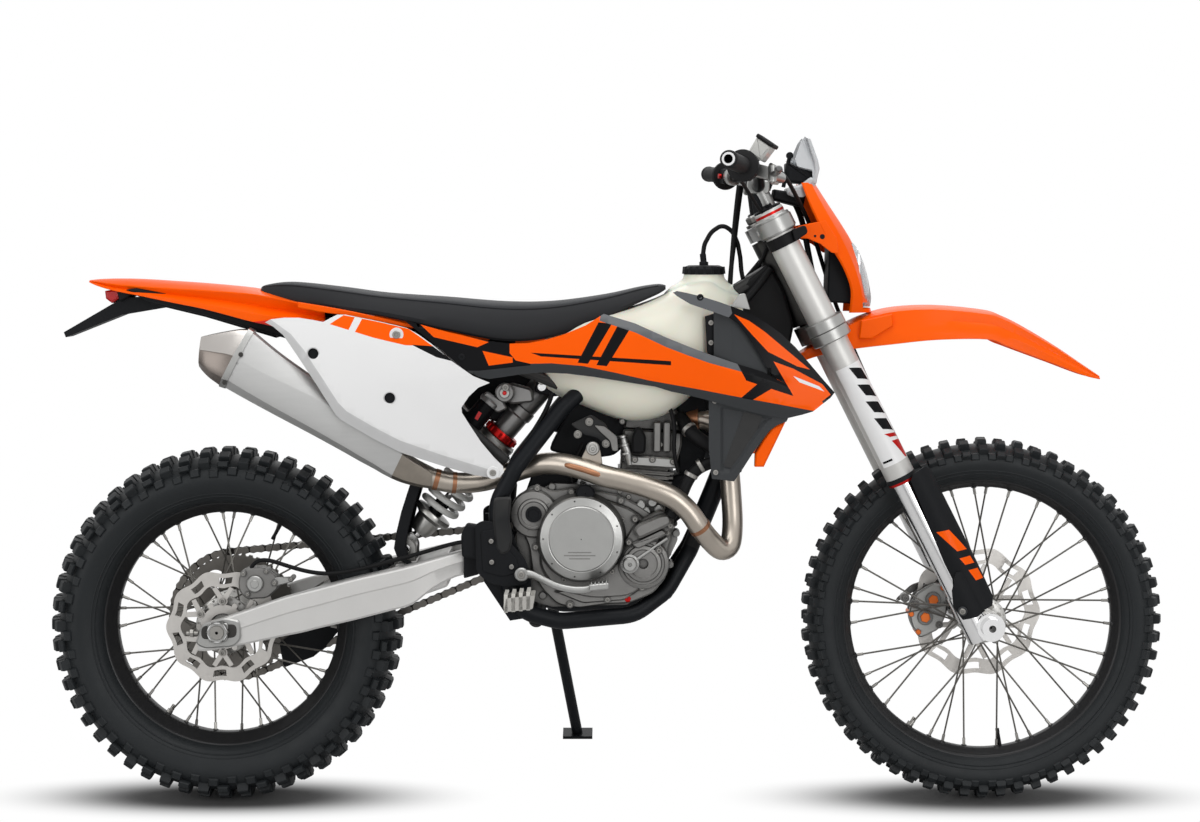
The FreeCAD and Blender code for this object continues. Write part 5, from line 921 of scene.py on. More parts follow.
def saddle():
    stations = [(68, 996, 1001, 30), (74, 990, 1008, 44), (110, 979, 1014, 58),
        (150, 973, 1013, 68), (230, 960, 1004, 90), (314, 949, 993, 103), (430, 924, 985, 108),
        (547, 902, 976, 104), (640, 909, 977, 92), (740, 944, 990, 74), (810, 975, 1005, 58),
        (846, 991, 1010, 46), (861, 1000, 1008, 34)]
    section = [(0, 1.0), (0.30, 0.995), (0.55, 0.97), (0.72, 0.915), (0.80, 0.86), (0.84, 0.80),
        (0.90, 0.62), (0.96, 0.42), (1.0, 0.20), (0.99, 0.06), (0.96, 0.0), (0.5, 0.02), (0, 0.02)]
    ring = section + [(-y, z) for y, z in section[-2:0:-1]]
    # the faces above the piping take the lighter cover finish, a painted highlight on the seat's
    # top
    picks = [0 if 0.5 * (ring[k][1] + ring[(k + 1) % len(ring)][1]) > saddleShape["topFrom"] else 1
        for k in range(len(ring))]
    rings = [[Vector((x, half * y, low + (high - low) * z)) for y, z in ring]
        for x, low, high, half in between(stations, 6)]
    bm = bmesh.new()
    lofted(bm, rings, 1, picks=picks)
    seat = addPiece("saddlePad", bm, ["seatCover", "seatSide"], ["seat"], smooth=26,
        weld=0)
    bm = bmesh.new()
    for side in (-1, 1):
        line = [Vector((x, side * half * saddleShape["pipeY"],
            low + (high - low) * saddleShape["pipeZ"]))
            for x, low, high, half in between(stations[1:-1], 6)]
        for one, two in zip(line, line[1:]):
            bar(bm, one, two, saddleShape["pipeR"], 6, caps=False)
    addPiece("saddlePiping", bm, ["seatSide"], weld=0.1, smooth=35)


# Strip sections (x, crown, lip y, lip z, groove y, groove z, flap y, flap z, edge z), both skins
def ridged(stations, wall, steps=5):
    rings = []
    for x, crown, lipY, lipZ, grooveY, grooveZ, flapY, flapZ, edgeZ in between(stations, steps):
        half = [(0, crown), (lipY * 0.45, crown - (crown - lipZ) * 0.12),
            (lipY * 0.8, crown - (crown - lipZ) * 0.5), (lipY, lipZ),
            (lipY + 0.6, lipZ - min(3, wall) * 0.6), (grooveY, grooveZ), (flapY, flapZ),
            (flapY + 1.0, edgeZ)]
        top = [(-y, z) for y, z in half[:0:-1]] + half
        under = [(y * (1 - wall / max(lipY, 8) * 0.75), z - wall * (0.9 if abs(y) < lipY * 0.9
            else 0.25)) for y, z in top]
        rings.append([Vector((x, y, z)) for y, z in top + under[::-1]])
    return rings


fenderWall = 3.2


def fenders():
    rear = [(-271, 1018, 16, 1017, 15, 1016, 18, 1015, 1014),
        (-250, 1020, 32, 1015, 30, 1012, 36, 1009, 1007),
        (-215, 1021, 48, 1011, 44, 1005, 50, 1001, 998),
        (-165, 1020, 58, 1007, 53, 999, 62, 993, 989),
        (-100, 1016, 66, 1003, 59, 991, 70, 983, 976), (-30, 1011, 70, 999, 61, 983, 76, 971, 962),
        (50, 1003, 73, 993, 62, 972, 80, 956, 941), (90, 994, 75, 987, 62, 964, 82, 950, 933),
        (140, 978, 79, 977, 64, 957, 82, 946, 930), (200, 962, 86, 964, 68, 948, 82, 940, 926)]
    bm = bmesh.new()
    lofted(bm, ridged(rear, fenderWall))
    for side in (-1, 1):
        slab(bm, [(150, 977), (200, 969), (260, 958), (314, 946), (360, 936), (388, 930),
            (370, 926), (314, 938), (250, 950), (190, 958), (150, 966)], side * 90, side * 100, 1.5)
        # a darker orange sheet, painted shadow under the fender's lip
        slab(bm, [(60, 938), (110, 944), (200, 940), (215, 928), (120, 925)], side * 60, side * 84,
            2, material=1)
    addPiece("tailFender", bm, ["orangePlastic", "orangeShade"], ["rear_fender"],
        smooth=30, bevel=0.6, weld=0)
    bm = bmesh.new()
    slab(bm, [(-190, 1000), (-150, 978), (-38, 951), (37, 929), (121, 905), (128, 925), (100, 945),
        (17, 968), (-101, 992), (-170, 1003)], -60, 60, 3)
    slab(bm, [(-150, 982), (-38, 955), (37, 932), (100, 912), (100, 905), (36, 924), (-38, 946),
        (-146, 972)], -42, 42, 2)
    addPiece("underTray", bm, ["blackPlastic"], smooth=32, bevel=0.8)
    front = [(1118, 872, 26, 870, 30, 866, 36, 862, 856),
        (1150, 893, 38, 889, 40, 883, 44, 876, 868), (1185, 914, 46, 909, 48, 900, 52, 892, 878),
        (1233, 943, 52, 937, 53, 922, 57, 908, 886), (1300, 964, 57, 956, 57, 937, 62, 919, 894),
        (1387, 969, 59, 961, 58, 940, 66, 922, 903), (1485, 960, 57, 952, 57, 934, 66, 920, 904),
        (1520, 949, 56, 941, 56, 923, 64, 910, 892), (1560, 929, 52, 921, 52, 906, 60, 896, 877),
        (1622, 892, 44, 886, 44, 874, 51, 866, 854), (1680, 853, 33, 849, 33, 843, 38, 838, 832),
        (1713, 831, 20, 829, 20, 827, 24, 826, 824)]
    bm = bmesh.new()
    lofted(bm, ridged(front, fenderWall))
    for side in (-1, 1):
        slab(bm, [(1240, 940), (1300, 953), (1302, 930), (1262, 905), (1236, 905)], side * 57,
            side * 66, 2)
    addPiece("noseFender", bm, ["orangePlastic"], ["front_fender"], body="fork",
        smooth=30, bevel=0.6, weld=0)


def tailLamp():
    bm = bmesh.new()
    slab(bm, [(-236, 997), (-208, 1002), (-206, 984), (-222, 973), (-234, 982)], -40, 40, 4)
    addPiece("tailLens", bm, ["lampRed"], ["tail_light"], smooth=30, bevel=0.8)
    bm = bmesh.new()
    slab(bm, [(-212, 1003), (-190, 1002), (-186, 988), (-206, 976)], -44, 44, 2)
    addPiece("tailLampBase", bm, ["blackPlastic"], smooth=30, bevel=0.8)


lampMask = {"openHalf": 48, "openLow": 968, "openHigh": 1094, "wall": 4.5}


def mask():
    rows = [(955, 1266, 1221, 60), (1000, 1255, 1223, 72), (1045, 1243, 1206, 82),
        (1090, 1228, 1178, 90), (1125, 1208, 1160, 92), (1165, 1182, 1142, 86),
        (1208, 1155, 1128, 64)]
    rings = []
    for z, front, edge, half in between(rows, 4):
        outer = [(front, 0), (front - 1, half * 0.30), (front - 6, half * 0.58),
            (front - (front - edge) * 0.45, half * 0.86), (edge, half)]
        line = [(x, -y) for x, y in outer[:0:-1]] + outer
        back = [(x - lampMask["wall"], y * 0.955) for x, y in line[::-1]]
        rings.append([Vector((x, y, z)) for x, y in line + back])
    bm = bmesh.new()
    lofted(bm, rings)
    middles = [(face, face.calc_center_median()) for face in bm.faces]   # the lamp's opening
    gone = [face for face, middle in middles if abs(middle.y) < lampMask["openHalf"]
        and lampMask["openLow"] < middle.z < lampMask["openHigh"]]
    bmesh.ops.delete(bm, geom=gone, context="FACES")
    for side in (-1, 1):
        slab(bm, [(1108, 1118), (1118, 1124), (1140, 1129), (1168, 1134), (1190, 1100),
            (1194, 1070), (1180, 1072), (1158, 1089), (1134, 1099), (1112, 1100)], side * 86,
            side * 91, 1)
        for x, z, r in ((1148, 1104, 2.6), (1162, 1103, 5)):
            crossBar(bm, x, z, side * 86, side * 91.6, r, 16, material=1)
    addPiece("lampMask", bm, ["orangePlastic", "blackPlastic"],
        ["headlight_mask"], body="fork", smooth=24, bevel=0.7, weld=0.01)
    bm = bmesh.new()
    rings = []
    for z, front, half in between([(966, 1264, 40), (985, 1266, 47), (1020, 1260, 49),
            (1055, 1250, 48), (1082, 1238, 44), (1096, 1226, 36)], 4):
        line = [(front - 16 * abs(s) ** 2.4, half * s)
            for s in (-1, -0.75, -0.5, -0.25, 0, 0.25, 0.5, 0.75, 1)]
        rings.append([Vector((x, y, z)) for x, y in line + [(x - 2.2, y) for x, y in line[::-1]]])
    lofted(bm, rings)
    addPiece("lampLens", bm, ["lampGlass"], ["headlamp"], body="fork", smooth=40,
        weld=0)
    bm = bmesh.new()
    dish = Matrix.Translation((1196, 0, 1032)) @ Matrix.Rotation(math.radians(-90), 4, "Z")
    turned(bm, [(6, 2), (20, 4), (34, 14), (44, 32), (47, 44), (50, 44), (47, 28), (36, 10),
        (22, 0), (6, -3)], 40, dish)
    bar(bm, (1198, 0, 1032), (1222, 0, 1032), 6, 20, material=1, chamfer=1)
    slab(bm, [(1176, 975), (1232, 972), (1222, 1020), (1206, 1086), (1180, 1090)], -46, 46, 3,
        material=2)
    addPiece("lampBowl", bm, ["chrome", "lampGlass", "blackPlastic"], body="fork",
        smooth=40)
    bm = bmesh.new()
    screen = [(1096, 1188), (1114, 1180), (1128, 1180), (1144, 1190), (1155, 1208), (1160, 1236),
        (1157, 1252), (1142, 1294), (1133, 1299), (1125, 1288), (1112, 1254), (1116, 1240),
        (1146, 1233), (1147, 1218), (1140, 1204), (1122, 1196)]
    panel(bm, screen, lambda x, z: 44 + (1160 - x) * 0.55 - max(z - 1230, 0) * 0.30, 2.4, (), (),
        [(screen, [(1116, 1240), (1146, 1233)], 0.05)], step=9)
    slab(bm, [(1146, 1206), (1154, 1206), (1161, 1236), (1158, 1252), (1143, 1294), (1136, 1296),
        (1150, 1250), (1152, 1234)], -50, 50, 1.5)
    addPiece("screen", bm, ["visorGrey"], body="fork", smooth=35, bevel=0.5, weld=0)


shrouds()
sidePanels()
radiatorGuards()
tank()
saddle()
fenders()
tailLamp()
mask()
print("bodywork done")


# Fork, clamps and handlebar, in the steering frame: Z up the axis, X forward

upAxis = Matrix.Rotation(math.pi / 2, 4, "X")
legs = [head @ Matrix.Translation((sizes["legOffset"], side * sizes["legY"], 0))
    for side in (-1, 1)]
# the left leg mirrors the right one
legTurns = [legs[0], legs[1] @ Matrix.Scale(-1, 4, (0, 1, 0))]


# A sheet of (arc length, height) points laid round a tube, its middle facing the rider's right
def wrapped(bm, outline, radius, wall, areas, where, holes=(), step=7, base=0):
    sheet = bmesh.new()
    panel(sheet, outline, lambda x, z: radius + wall, wall, areas, holes, (), step, base, (-1,))
    for vert in sheet.verts:
        out = -vert.co.y
        angle = vert.co.x / radius
        vert.co = where @ Vector((out * math.sin(angle), -out * math.cos(angle), vert.co.z))
    keep = bpy.data.meshes.new("sheet")
    sheet.to_mesh(keep)
    sheet.free()
    bm.from_mesh(keep)
    bpy.data.meshes.remove(keep)


legShape = {"tubeR": 29.0, "sticker": 0.35, "guardR": 32.5, "lowGuardR": 36.5, "guardWall": 3.0}


def forkTubes():
    bm = bmesh.new()
    for leg in legs:
        turned(bm, [(23.4, -434), (28.2, -434), (29, -432), (29, -150), (29.3, -148), (29.3, 118),
            (29, 120), (29, 137), (27, 139), (23.4, 139)], 48, leg @ upAxis)
        turned(bm, [(24, 128), (29.6, 128), (29.6, 133), (24, 133)], 48, leg @ upAxis, material=1)
        turned(bm, [(1, 120), (27.5, 120), (27.5, 142), (25, 144), (12, 144), (11, 149), (1, 149)],
            32, leg @ upAxis, material=2)
        turned(bm, [(24.2, -441), (30.2, -441), (30.2, -434), (28, -430), (24.2, -430)], 48,
            leg @ upAxis, material=3)
        turned(bm, [(24.2, -446), (28.6, -446), (29.6, -441), (24.2, -441)], 48, leg @ upAxis,
            material=1)
    thick = legShape["sticker"]
    for turn in legTurns:
        wrapped(bm, [(-26, -404), (30, -404), (36, -300), (36, -196), (-26, -196)],
            legShape["tubeR"], thick, [], turn, base=4)
        for level in (-200, -236, -272, -308):
            slant = [(2, level), (28, level - 12), (32, level - 38), (8, level - 26)]
            wrapped(bm, slant, legShape["tubeR"] + 0.3, thick, [], turn, base=2)
        wrapped(bm, [(6, -344), (34, -352), (36, -360), (14, -354)], legShape["tubeR"] + 0.3, thick,
            [], turn, base=1)
        wrapped(bm, [(14, -362), (36, -366), (34, -402), (28, -402)], legShape["tubeR"] + 0.3,
            thick, [], turn, base=1)
        wrapped(bm, [(-22, -396), (-2, -396), (-2, -392), (-22, -392)], legShape["tubeR"] + 0.3,
            thick, [], turn, base=2)
    addPiece("forkTubes", bm, ["forkSilver", "anodisedRed", "graphicBlack",
        "blackPlastic", "whitePlastic"], ["fork_outer_tubes"], body="fork", smooth=30, weld=0.004)


def clampRings():
    bm = bmesh.new()
    for leg in legs:
        turned(bm, [(29.4, 88), (34, 88), (35.5, 90), (35.5, 122), (34, 124), (29.4, 124)], 56,
            leg @ upAxis)
        turned(bm, [(29.4, -142), (37, -142), (39.5, -140), (39.5, -121), (38, -119.5),
            (39.5, -118), (39.5, -99), (37, -97), (29.4, -97)], 56, leg @ upAxis)
        turned(bm, [(29.4, 62), (31.6, 62), (31.6, 84), (29.4, 84)], 40, leg @ upAxis, material=1)
        for level in (-132, -108):
            sideScrew(bm, (-30, -12, level), 5, 5, material=2, where=leg)
            crossBar(bm, -30, level, 14, -12, 8, 16, where=leg, chamfer=1)
        sideScrew(bm, (-30, -10, 106), 5, 5, material=2, where=leg)
        crossBar(bm, -30, 106, 14, -10, 9, 16, where=leg, chamfer=1)
    addPiece("clampRings", bm, ["machinedAlloy", "hoseRubber", "boltSteel"],
        body="fork", smooth=32, weld=0.004)
    bm = bmesh.new()
    for side, leg in zip((-1, 1), legs):
        plate(bm, 6, [(18, 62), (48, 66), (50, 82), (22, 84)], side * 6, side * 32, 1.5, where=leg)
    addPiece("maskStraps", bm, ["hoseRubber"], body="fork", smooth=40)
    bm = bmesh.new()
    for side in (-1, 1):
        base = Vector((1046, side * 50, 1150))
        bar(bm, base, (1040, side * 50, 1188), 15, 24, endRadius=14, material=2)
        plate(bm, 8, [(1018, 1186), (1062, 1186), (1062, 1212), (1018, 1214)], side * 34, side * 66,
            2)
        for x in (1024, 1056):
            socketHead(bm, (x, side * 50, 1212), (0, 0, 1), 5, 4, material=1)
    plate(bm, 6, [(1014, 1200), (1066, 1196), (1066, 1214), (1020, 1222)], -64, 64, 5, material=2)
    addPiece("barMounts", bm, ["machinedAlloy", "boltSteel", "blackPlastic"],
        body="fork", smooth=32)
    bm = bmesh.new()
    turned(bm, [(1, 126), (17, 126), (19, 128), (19, 138), (16, 141), (1, 141)], 6, head @ upAxis)
    turned(bm, [(18, 120), (24, 120), (24, 126), (18, 126)], 32, head @ upAxis)
    addPiece("stemNut", bm, ["hubAlloy"], body="fork", smooth=30)


def forkGuards():
    upper = [(-12, -446), (-2, -436), (24, -434), (38, -446), (40, -640), (34, -716), (20, -730),
        (-16, -728), (-28, -700), (-26, -620), (-18, -540)]
    lower = [(-26, -700), (-20, -728), (6, -734), (26, -732), (32, -650), (8, -640), (-14, -668)]
    wall = legShape["guardWall"]
    slashes = [[(-12, -556), (10, -562), (26, -612), (6, -606)], [(4, -620), (26, -626), (28, -642),
        (8, -636)], [(9, -648), (30, -654), (32, -676), (13, -672)]]
    bm = bmesh.new()
    for turn in legTurns:
        wrapped(bm, upper, legShape["guardR"], wall, [(slash, 1) for slash in slashes],
            turn @ Matrix.Translation((24, 1, 0)), step=9)
        wrapped(bm, lower, legShape["lowGuardR"], wall, [], turn @ Matrix.Translation((2, 0, 0)),
            step=9)
        spot = turn @ Vector((-12, -39, -712))
        away = (turn.to_3x3() @ Vector((-0.25, -1, 0))).normalized()
        bar(bm, spot - away * 3, spot + away * 1.5, 9, 24, material=2, chamfer=0.8)
        socketHead(bm, spot + away * 1, away, 6, 2.4, material=3)
    addPiece("forkShields", bm, ["blackPlastic", "graphicOrange", "greyPlastic",
        "boltSteel"], ["fork_guards"], body="fork", bevel=0.5, weld=0)


def wheelLugs():
    bm = bmesh.new()
    for side in (-1, 1):
        turned(bm, [(11.4, side * 76), (24, side * 76), (26.5, side * 79), (26.5, side * 116),
            (24, side * 120), (19, side * 120), (18, side * 118), (11.4, side * 118)], 40, frontHub)
        crossBar(bm, 10, -24, side * 84, side * 112, 9, 20, where=frontHub, chamfer=1)
        for x in (-16, 16):
            sideScrew(bm, (x, side * 121, -16), 4.5, 3, material=1, where=frontHub)
    for side in (-1, 1):
        turned(bm, [(3, side * 128), (14, side * 128), (17, side * 126), (17, side * 119),
            (3, side * 119)], 6, frontHub, material=1)
    addPiece("axleLugs", bm, ["castAlloy", "machinedAlloy"], body="fork", smooth=32)


gripShape = {"bore": 11.2, "radius": 16, "long": 112, "ribs": 6.6, "deep": 1.1}


# Ribbed rubber between two distances in from the bar's end
def gripProfile(start, end):
    bore, radius = gripShape["bore"], gripShape["radius"]
    low = radius - gripShape["deep"]
    points = [(bore, start), (radius * 0.9, start), (radius, start + 2)]
    level = start + 6
    while level < end - 4:
        points += [(radius, level), (low, level + 1), (low, level + 2.4), (radius, level + 3.4)]
        level += gripShape["ribs"]
    return points + [(radius, end - 2), (bore, end - 2)]


# Frame at the bar's end: Y runs inward along the grip
def alongBar(side):
    end = Vector((965, side * 402, 1240))
    before = Vector((1033.4, side * 160, 1224))
    inward = (before - end).normalized()
    across = (inward.cross(Vector((0, 0, 1))) * -side).normalized()
    up = across.cross(inward) * -side
    turn = Matrix((across, inward, up)).transposed().to_4x4()
    return Matrix.Translation(end) @ turn


def controls():
    for side, tag in ((-1, "right"), (1, "left")):
        grip = alongBar(side)
        bm = bmesh.new()
        turned(bm, gripProfile(1, gripShape["long"]), 32, grip)
        turned(bm, [(11.3, 108), (22, 108), (29, 110), (30, 112), (29, 115), (22, 117),
            (11.3, 117)], 40, grip)
        turned(bm, [(8.2, -6), (14, -6), (16.4, -3), (16.8, 4), (8.2, 4)], 32, grip)
        addPiece(tag + "Grip", bm, ["gripRubber"], body="fork", smooth=30,
            weld=0.004)
        bm = bmesh.new()
        turned(bm, [(8.3, -6.8), (11.5, -6.8), (12.2, -6.2), (12.2, -2), (8.3, -2)], 32, grip)
        addPiece(tag + "BarPlug", bm, ["whitePlastic"], body="fork", smooth=30)
        bm = bmesh.new()
        if side < 0:
            turned(bm, [(11.3, 117), (25, 117), (27, 119), (27, 139), (24, 142), (11.3, 142)], 36,
                grip)
            plate(bm, 5, [(-20, -30), (14, -26), (12, -8), (-16, -8)], 119, 140, 2, where=grip)
            turned(bm, [(11.3, 146), (16, 146), (16, 162), (11.3, 162)], 24, grip)
        else:
            turned(bm, [(11.3, 119), (17, 119), (17, 160), (11.3, 160)], 24, grip)
            plate(bm, 6, [(-18, -16), (20, -18), (22, 14), (-16, 16)], 122, 150, 2, where=grip)
            bar(bm, (-18, 136, 0), (-24, 136, 0), 5, 16, where=grip, material=1)
        addPiece(tag + "Housing", bm, ["blackPlastic", "anodisedRed"], body="fork",
            smooth=32)


def lever(side, node, name):
    grip = alongBar(side)
    bm = bmesh.new()
    turned(bm, [(11.4, 150), (17.5, 150), (18.6, 152), (18.6, 170), (17.5, 172), (11.4, 172)], 28,
        grip, material=1)
    plate(bm, 5, [(6, -14), (30, -20), (52, -24), (56, -6), (34, 4), (8, 10)], 156, 186, 2,
        where=grip, material=1)
    bar(bm, (44, 168, -13), (50, 222, -13), 10.5, 24, where=grip, material=1, chamfer=1)
    bar(bm, (46, 160, -27), (46, 160, 4), 8, 20, where=grip, material=1, chamfer=1)
    bar(bm, (46, 160, -29), (46, 160, 6), 4.5, 16, where=grip, material=2, chamfer=1)
    path = [(46, 172, -12, 9, 5.5), (52, 152, -12, 8.5, 5), (62, 128, -12, 6.8, 4.8),
        (70, 96, -13, 6.2, 4.8), (76, 60, -14, 6, 4.8), (82, 34, -15, 6, 5),
        (86, 22, -16, 7.2, 6.4), (88, 14, -16, 4, 4)]
    rings = []
    for x, y, z, wide, tall in between(path, 4):
        rings.append([grip @ Vector((x + wide * math.cos(a), y, z + tall * math.sin(a)))
            for a in around(14)])
    lofted(bm, rings)
    addPiece(name, bm, ["leverGrey", "machinedAlloy", "boltSteel"], [node],
        body="fork")
    bm = bmesh.new()
    reach, low, tall, slope, y = (20, 30, 30, 34, 172) if side < 0 else (68, -2, 26, 6, 196)
    tilt = grip @ Matrix.Translation((reach, y, low)) @ Matrix.Rotation(math.radians(slope), 4, "Y")
    plate(bm, 4, [(-15, -12), (15, -12), (17, tall - 8), (-17, tall - 8)], -22, 22, 4, where=tilt)
    bar(bm, (-4, 0, -24), (0, 0, -8), 9, 20, where=tilt, material=1)
    plate(bm, 3, [(-19, tall - 10), (19, tall - 10), (19, tall - 2), (-19, tall - 2)], -25, 25, 3,
        material=1, where=tilt)
    addPiece(name + "Reservoir", bm, ["reservoirWhite", "gripRubber"], body="fork",
        smooth=36)


def dash():
    bm = bmesh.new()
    plate(bm, 5, [(1098, 1210), (1152, 1206), (1158, 1228), (1120, 1238), (1098, 1250)], -40, 40, 4)
    slab(bm, [(1100, 1252), (1122, 1240), (1128, 1243), (1104, 1258)], -30, 30, 2, material=1)
    slab(bm, [(1070, 1176), (1130, 1160), (1136, 1186), (1074, 1196)], -34, 34, 4)
    plate(bm, 5, [(1096, 1186), (1112, 1179), (1134, 1188), (1151, 1213), (1144, 1220),
        (1122, 1204), (1100, 1200)], -58, 58, 4, material=2)
    bar(bm, (1092, -24, 1200), (1104, -30, 1262), 4, 12)
    crossBar(bm, 1104, 1262, -34, -24, 7, 16)
    addPiece("dashPanel", bm, ["blackPlastic", "lampGlass", "visorGrey"],
        body="fork")


def frontCaliper():
    bm = bmesh.new()
    outline = rounded([(1352, 332), (1368, 302), (1408, 320), (1424, 352), (1424, 406), (1398, 414),
        (1362, 392), (1348, 360)], 10)
    slab(bm, outline, 70, 86, 3)
    slab(bm, outline, 45, 58, 3)
    plate(bm, 8, [(1356, 340), (1374, 318), (1412, 350), (1414, 396), (1384, 400)], 57, 71, 0)
    for x, z in ((1380, 345), (1396, 380)):
        crossBar(bm, x, z, 86, 90, 13, 28, chamfer=1)
        crossBar(bm, x, z, 45, 41, 15, 28, chamfer=1, material=2)
        crossBar(bm, x, z, 42, 39.5, 10.5, 6, chamfer=1, material=1)
    for x, z in ((1366, 316), (1416, 404), (1352, 352)):
        crossBar(bm, x, z, 40, 88, 5.5, 16, material=1, chamfer=1)
    for x, z, r in ((1360, 372, 8), (1340, 384, 9), (1408, 330, 7), (1424, 372, 6)):
        crossBar(bm, x, z, 42, 60, r, 20, chamfer=1, material=2)
        socketHead(bm, (x, 42, z), (0, -1, 0), r * 0.6, 2.4, material=2)
    plate(bm, 6, [(1330, 372), (1362, 392), (1430, 400), (1446, 376), (1440, 350), (1424, 352),
        (1400, 414), (1360, 400)], 84, 98, 2, material=2)
    addPiece("frontCaliperBody", bm,
        ["machinedAlloy", "anodisedBronze", "castAlloy"], ["front_caliper"], body="fork", smooth=32)


def forkHoses():
    route("frontBrakeHose", [(1052, -230, 1236), (1078, -190, 1228), (1110, -110, 1180),
        (1150, -20, 1120), (1190, 60, 1000), (1240, 84, 880), (1290, 92, 770), (1352, 96, 640),
        (1410, 98, 500), (1440, 98, 430), (1432, 92, 404), (1412, 84, 400)], 4.2, "fork")
    route("throttleCable", [(990, -262, 1212), (1010, -200, 1190), (1040, -120, 1150),
        (1070, -60, 1120), (1062, -30, 1080), (1046, -18, 1050)], 3.6, "fork")
    for index, y in enumerate((-14, -5, 4)):
        route("headCable%d" % index, [(1004 + index * 4, y * 3, 1204),
            (998 + index * 3, y * 2, 1150), (994 + index * 2, y, 1090), (990, y, 1040),
            (988, y, 1000)], 4.6, "fork")
    route("clutchHose", [(1050, 230, 1230), (1074, 180, 1200), (1090, 120, 1160), (1080, 60, 1110),
        (1060, 30, 1060)], 3.6, "fork")
    route("dashLoom", [(1110, 0, 1180), (1130, 10, 1150), (1140, 20, 1100), (1150, 10, 1040),
        (1160, 0, 990)], 6, "fork")


forkTubes()
clampRings()
forkGuards()
wheelLugs()
controls()
lever(-1, "brake_lever", "brakeLever")
lever(1, "clutch_lever", "clutchLever")
dash()
frontCaliper()
forkHoses()
print("fork and controls done")


# Engine, exhaust, shock, swingarm, chain and foot controls

finish("jointTint", tint(146, 104, 78), 0.34, metal=0.85, vary=0.20, varyScale=50, grain=0.05)
finish("pipeSteel", tint(166, 158, 148), 0.30, metal=0.92, vary=0.16, varyScale=9, grain=0.05,
    roughVary=0.08)
# a darker copy of the end cap alloy, painted shade for the cap's lower facets
finish("capShade", tint(110, 103, 98), 0.26, metal=0.9, vary=0.14, varyScale=14, grain=0.05)
finish("darkSeam", tint(58, 57, 55), 0.55, metal=0.5, vary=0.10, grain=0.10)
finish("palePrint", tint(72, 190, 160), 0.40, vary=0.03, grain=0.03, coat=0.2)


# A round tube through (x, y, z, radius) stations
def swept(bm, path, sides=24, material=0, caps=True):
    rings, across = [], None
    for index, (x, y, z, radius) in enumerate(path):
        here = Vector((x, y, z))
        before = Vector(path[max(index - 1, 0)][:3])
        after = Vector(path[min(index + 1, len(path) - 1)][:3])
        along = (after - before).normalized()
        across = along.orthogonal() if across is None else across - along * across.dot(along)
        across.normalize()
        up = along.cross(across)
        rings.append([here + (across * math.cos(a) + up * math.sin(a)) * radius
            for a in around(sides)])
    return lofted(bm, rings, material, caps)


def facing(x, z):
    return Matrix.Translation((x, 0, z))


# Bolt bosses on a cover, each with a round cap screw
def bossed(bm, spots, yLow, yHigh, radius, screwR, bolt=1):
    for x, z in spots:
        crossBar(bm, x, z, yLow, yHigh, radius, 20, chamfer=1)
        sideScrew(bm, (x, yHigh, z), screwR, 3.4, material=bolt)


coverBolts = ((612, 618), (678, 611), (773, 595), (776, 558), (789, 514), (609, 505), (862, 533),
    (849, 480), (852, 450), (814, 427), (756, 458), (747, 404), (675, 394), (663, 442))


clutchCover = {"x": 697, "z": 524, "screws": 9, "screwR": 73, "lines": ((498, 22), (492, 30),
    (486, 20))}


def clutchCasing():
    bm = bmesh.new()
    outline = rounded([(570, 566), (576, 604), (606, 626), (644, 612), (676, 619), (716, 616),
        (770, 604), (806, 586), (866, 546), (872, 524), (858, 486), (862, 448), (836, 416),
        (790, 396), (745, 394), (690, 386), (650, 394), (620, 424), (602, 456), (596, 506),
        (584, 532)], 12)
    slab(bm, outline, -86, -98, 3)
    inner = rounded([(640, 600), (720, 606), (800, 578), (852, 530), (846, 470), (800, 410),
        (720, 404), (650, 420), (612, 470)], 26)
    slab(bm, inner, -96, -104, 5)
    clutch = facing(clutchCover["x"], clutchCover["z"])
    turned(bm, [(1, -96), (88, -96), (86, -106), (82, -111), (81, -119), (1, -119)], 96, clutch)
    turned(bm, [(1, -118), (79.2, -118), (79.2, -121.5), (1, -121.5)], 96, clutch, material=2)
    turned(bm, [(1, -120), (81, -120.5), (81, -124), (78.5, -127.5), (64, -131.5), (62.6, -131),
        (61.8, -131.5), (60.5, -132.6), (1, -132.6)], 96, clutch, material=1)
    for z, half in clutchCover["lines"]:
        slab(bm, [(694 - half, z), (694 + half, z), (694 + half, z + 1.6), (694 - half, z + 1.6)],
            -132.4, -133, 0)
    for angle in around(clutchCover["screws"]):
        spot = polar(clutchCover["screwR"], angle + math.radians(20))
        bar(bm, spot + Vector((0, -128.5, 0)), spot + Vector((0, -129.6, 0)), 1.6, 10, material=2,
            where=clutch)
    turned(bm, [(66.5, -130.2), (72.5, -128.6), (72.5, -129.1), (66.5, -130.8)], 20, clutch,
        material=3, angles=(math.radians(22), math.radians(50)))
    bump = facing(605, 569)
    turned(bm, [(10, -84), (46, -84), (46, -101), (43, -105), (31, -107), (29, -110), (25, -111),
        (23, -109), (10, -109)], 64, bump)
    turned(bm, [(1, -108), (14, -108), (15.5, -110), (14.5, -112), (11, -112), (10, -110),
        (1, -110)], 40, bump, material=4)
    for a in around(10):
        bar(bm, polar(20, a, -108), polar(37, a, -105), 1.4, 8, where=bump)
    plate(bm, 5, [(684, 578), (728, 582), (722, 604), (690, 604)], -98, -126, 3)
    oilCap = facing(705, 610)
    turned(bm, [(1, -100), (16, -100), (17.5, -103), (17.5, -119), (15, -122), (1, -122)], 40,
        oilCap, material=4)
    for a in around(12):
        bar(bm, polar(17, a, -104), polar(17, a, -118), 1.8, 8, material=4, where=oilCap)
    addPiece("clutchCasing", bm, ["castAlloy", "machinedAlloy", "darkSeam",
        "palePrint", "blackPlastic"], ["clutch_cover"], smooth=32, weld=0.005)


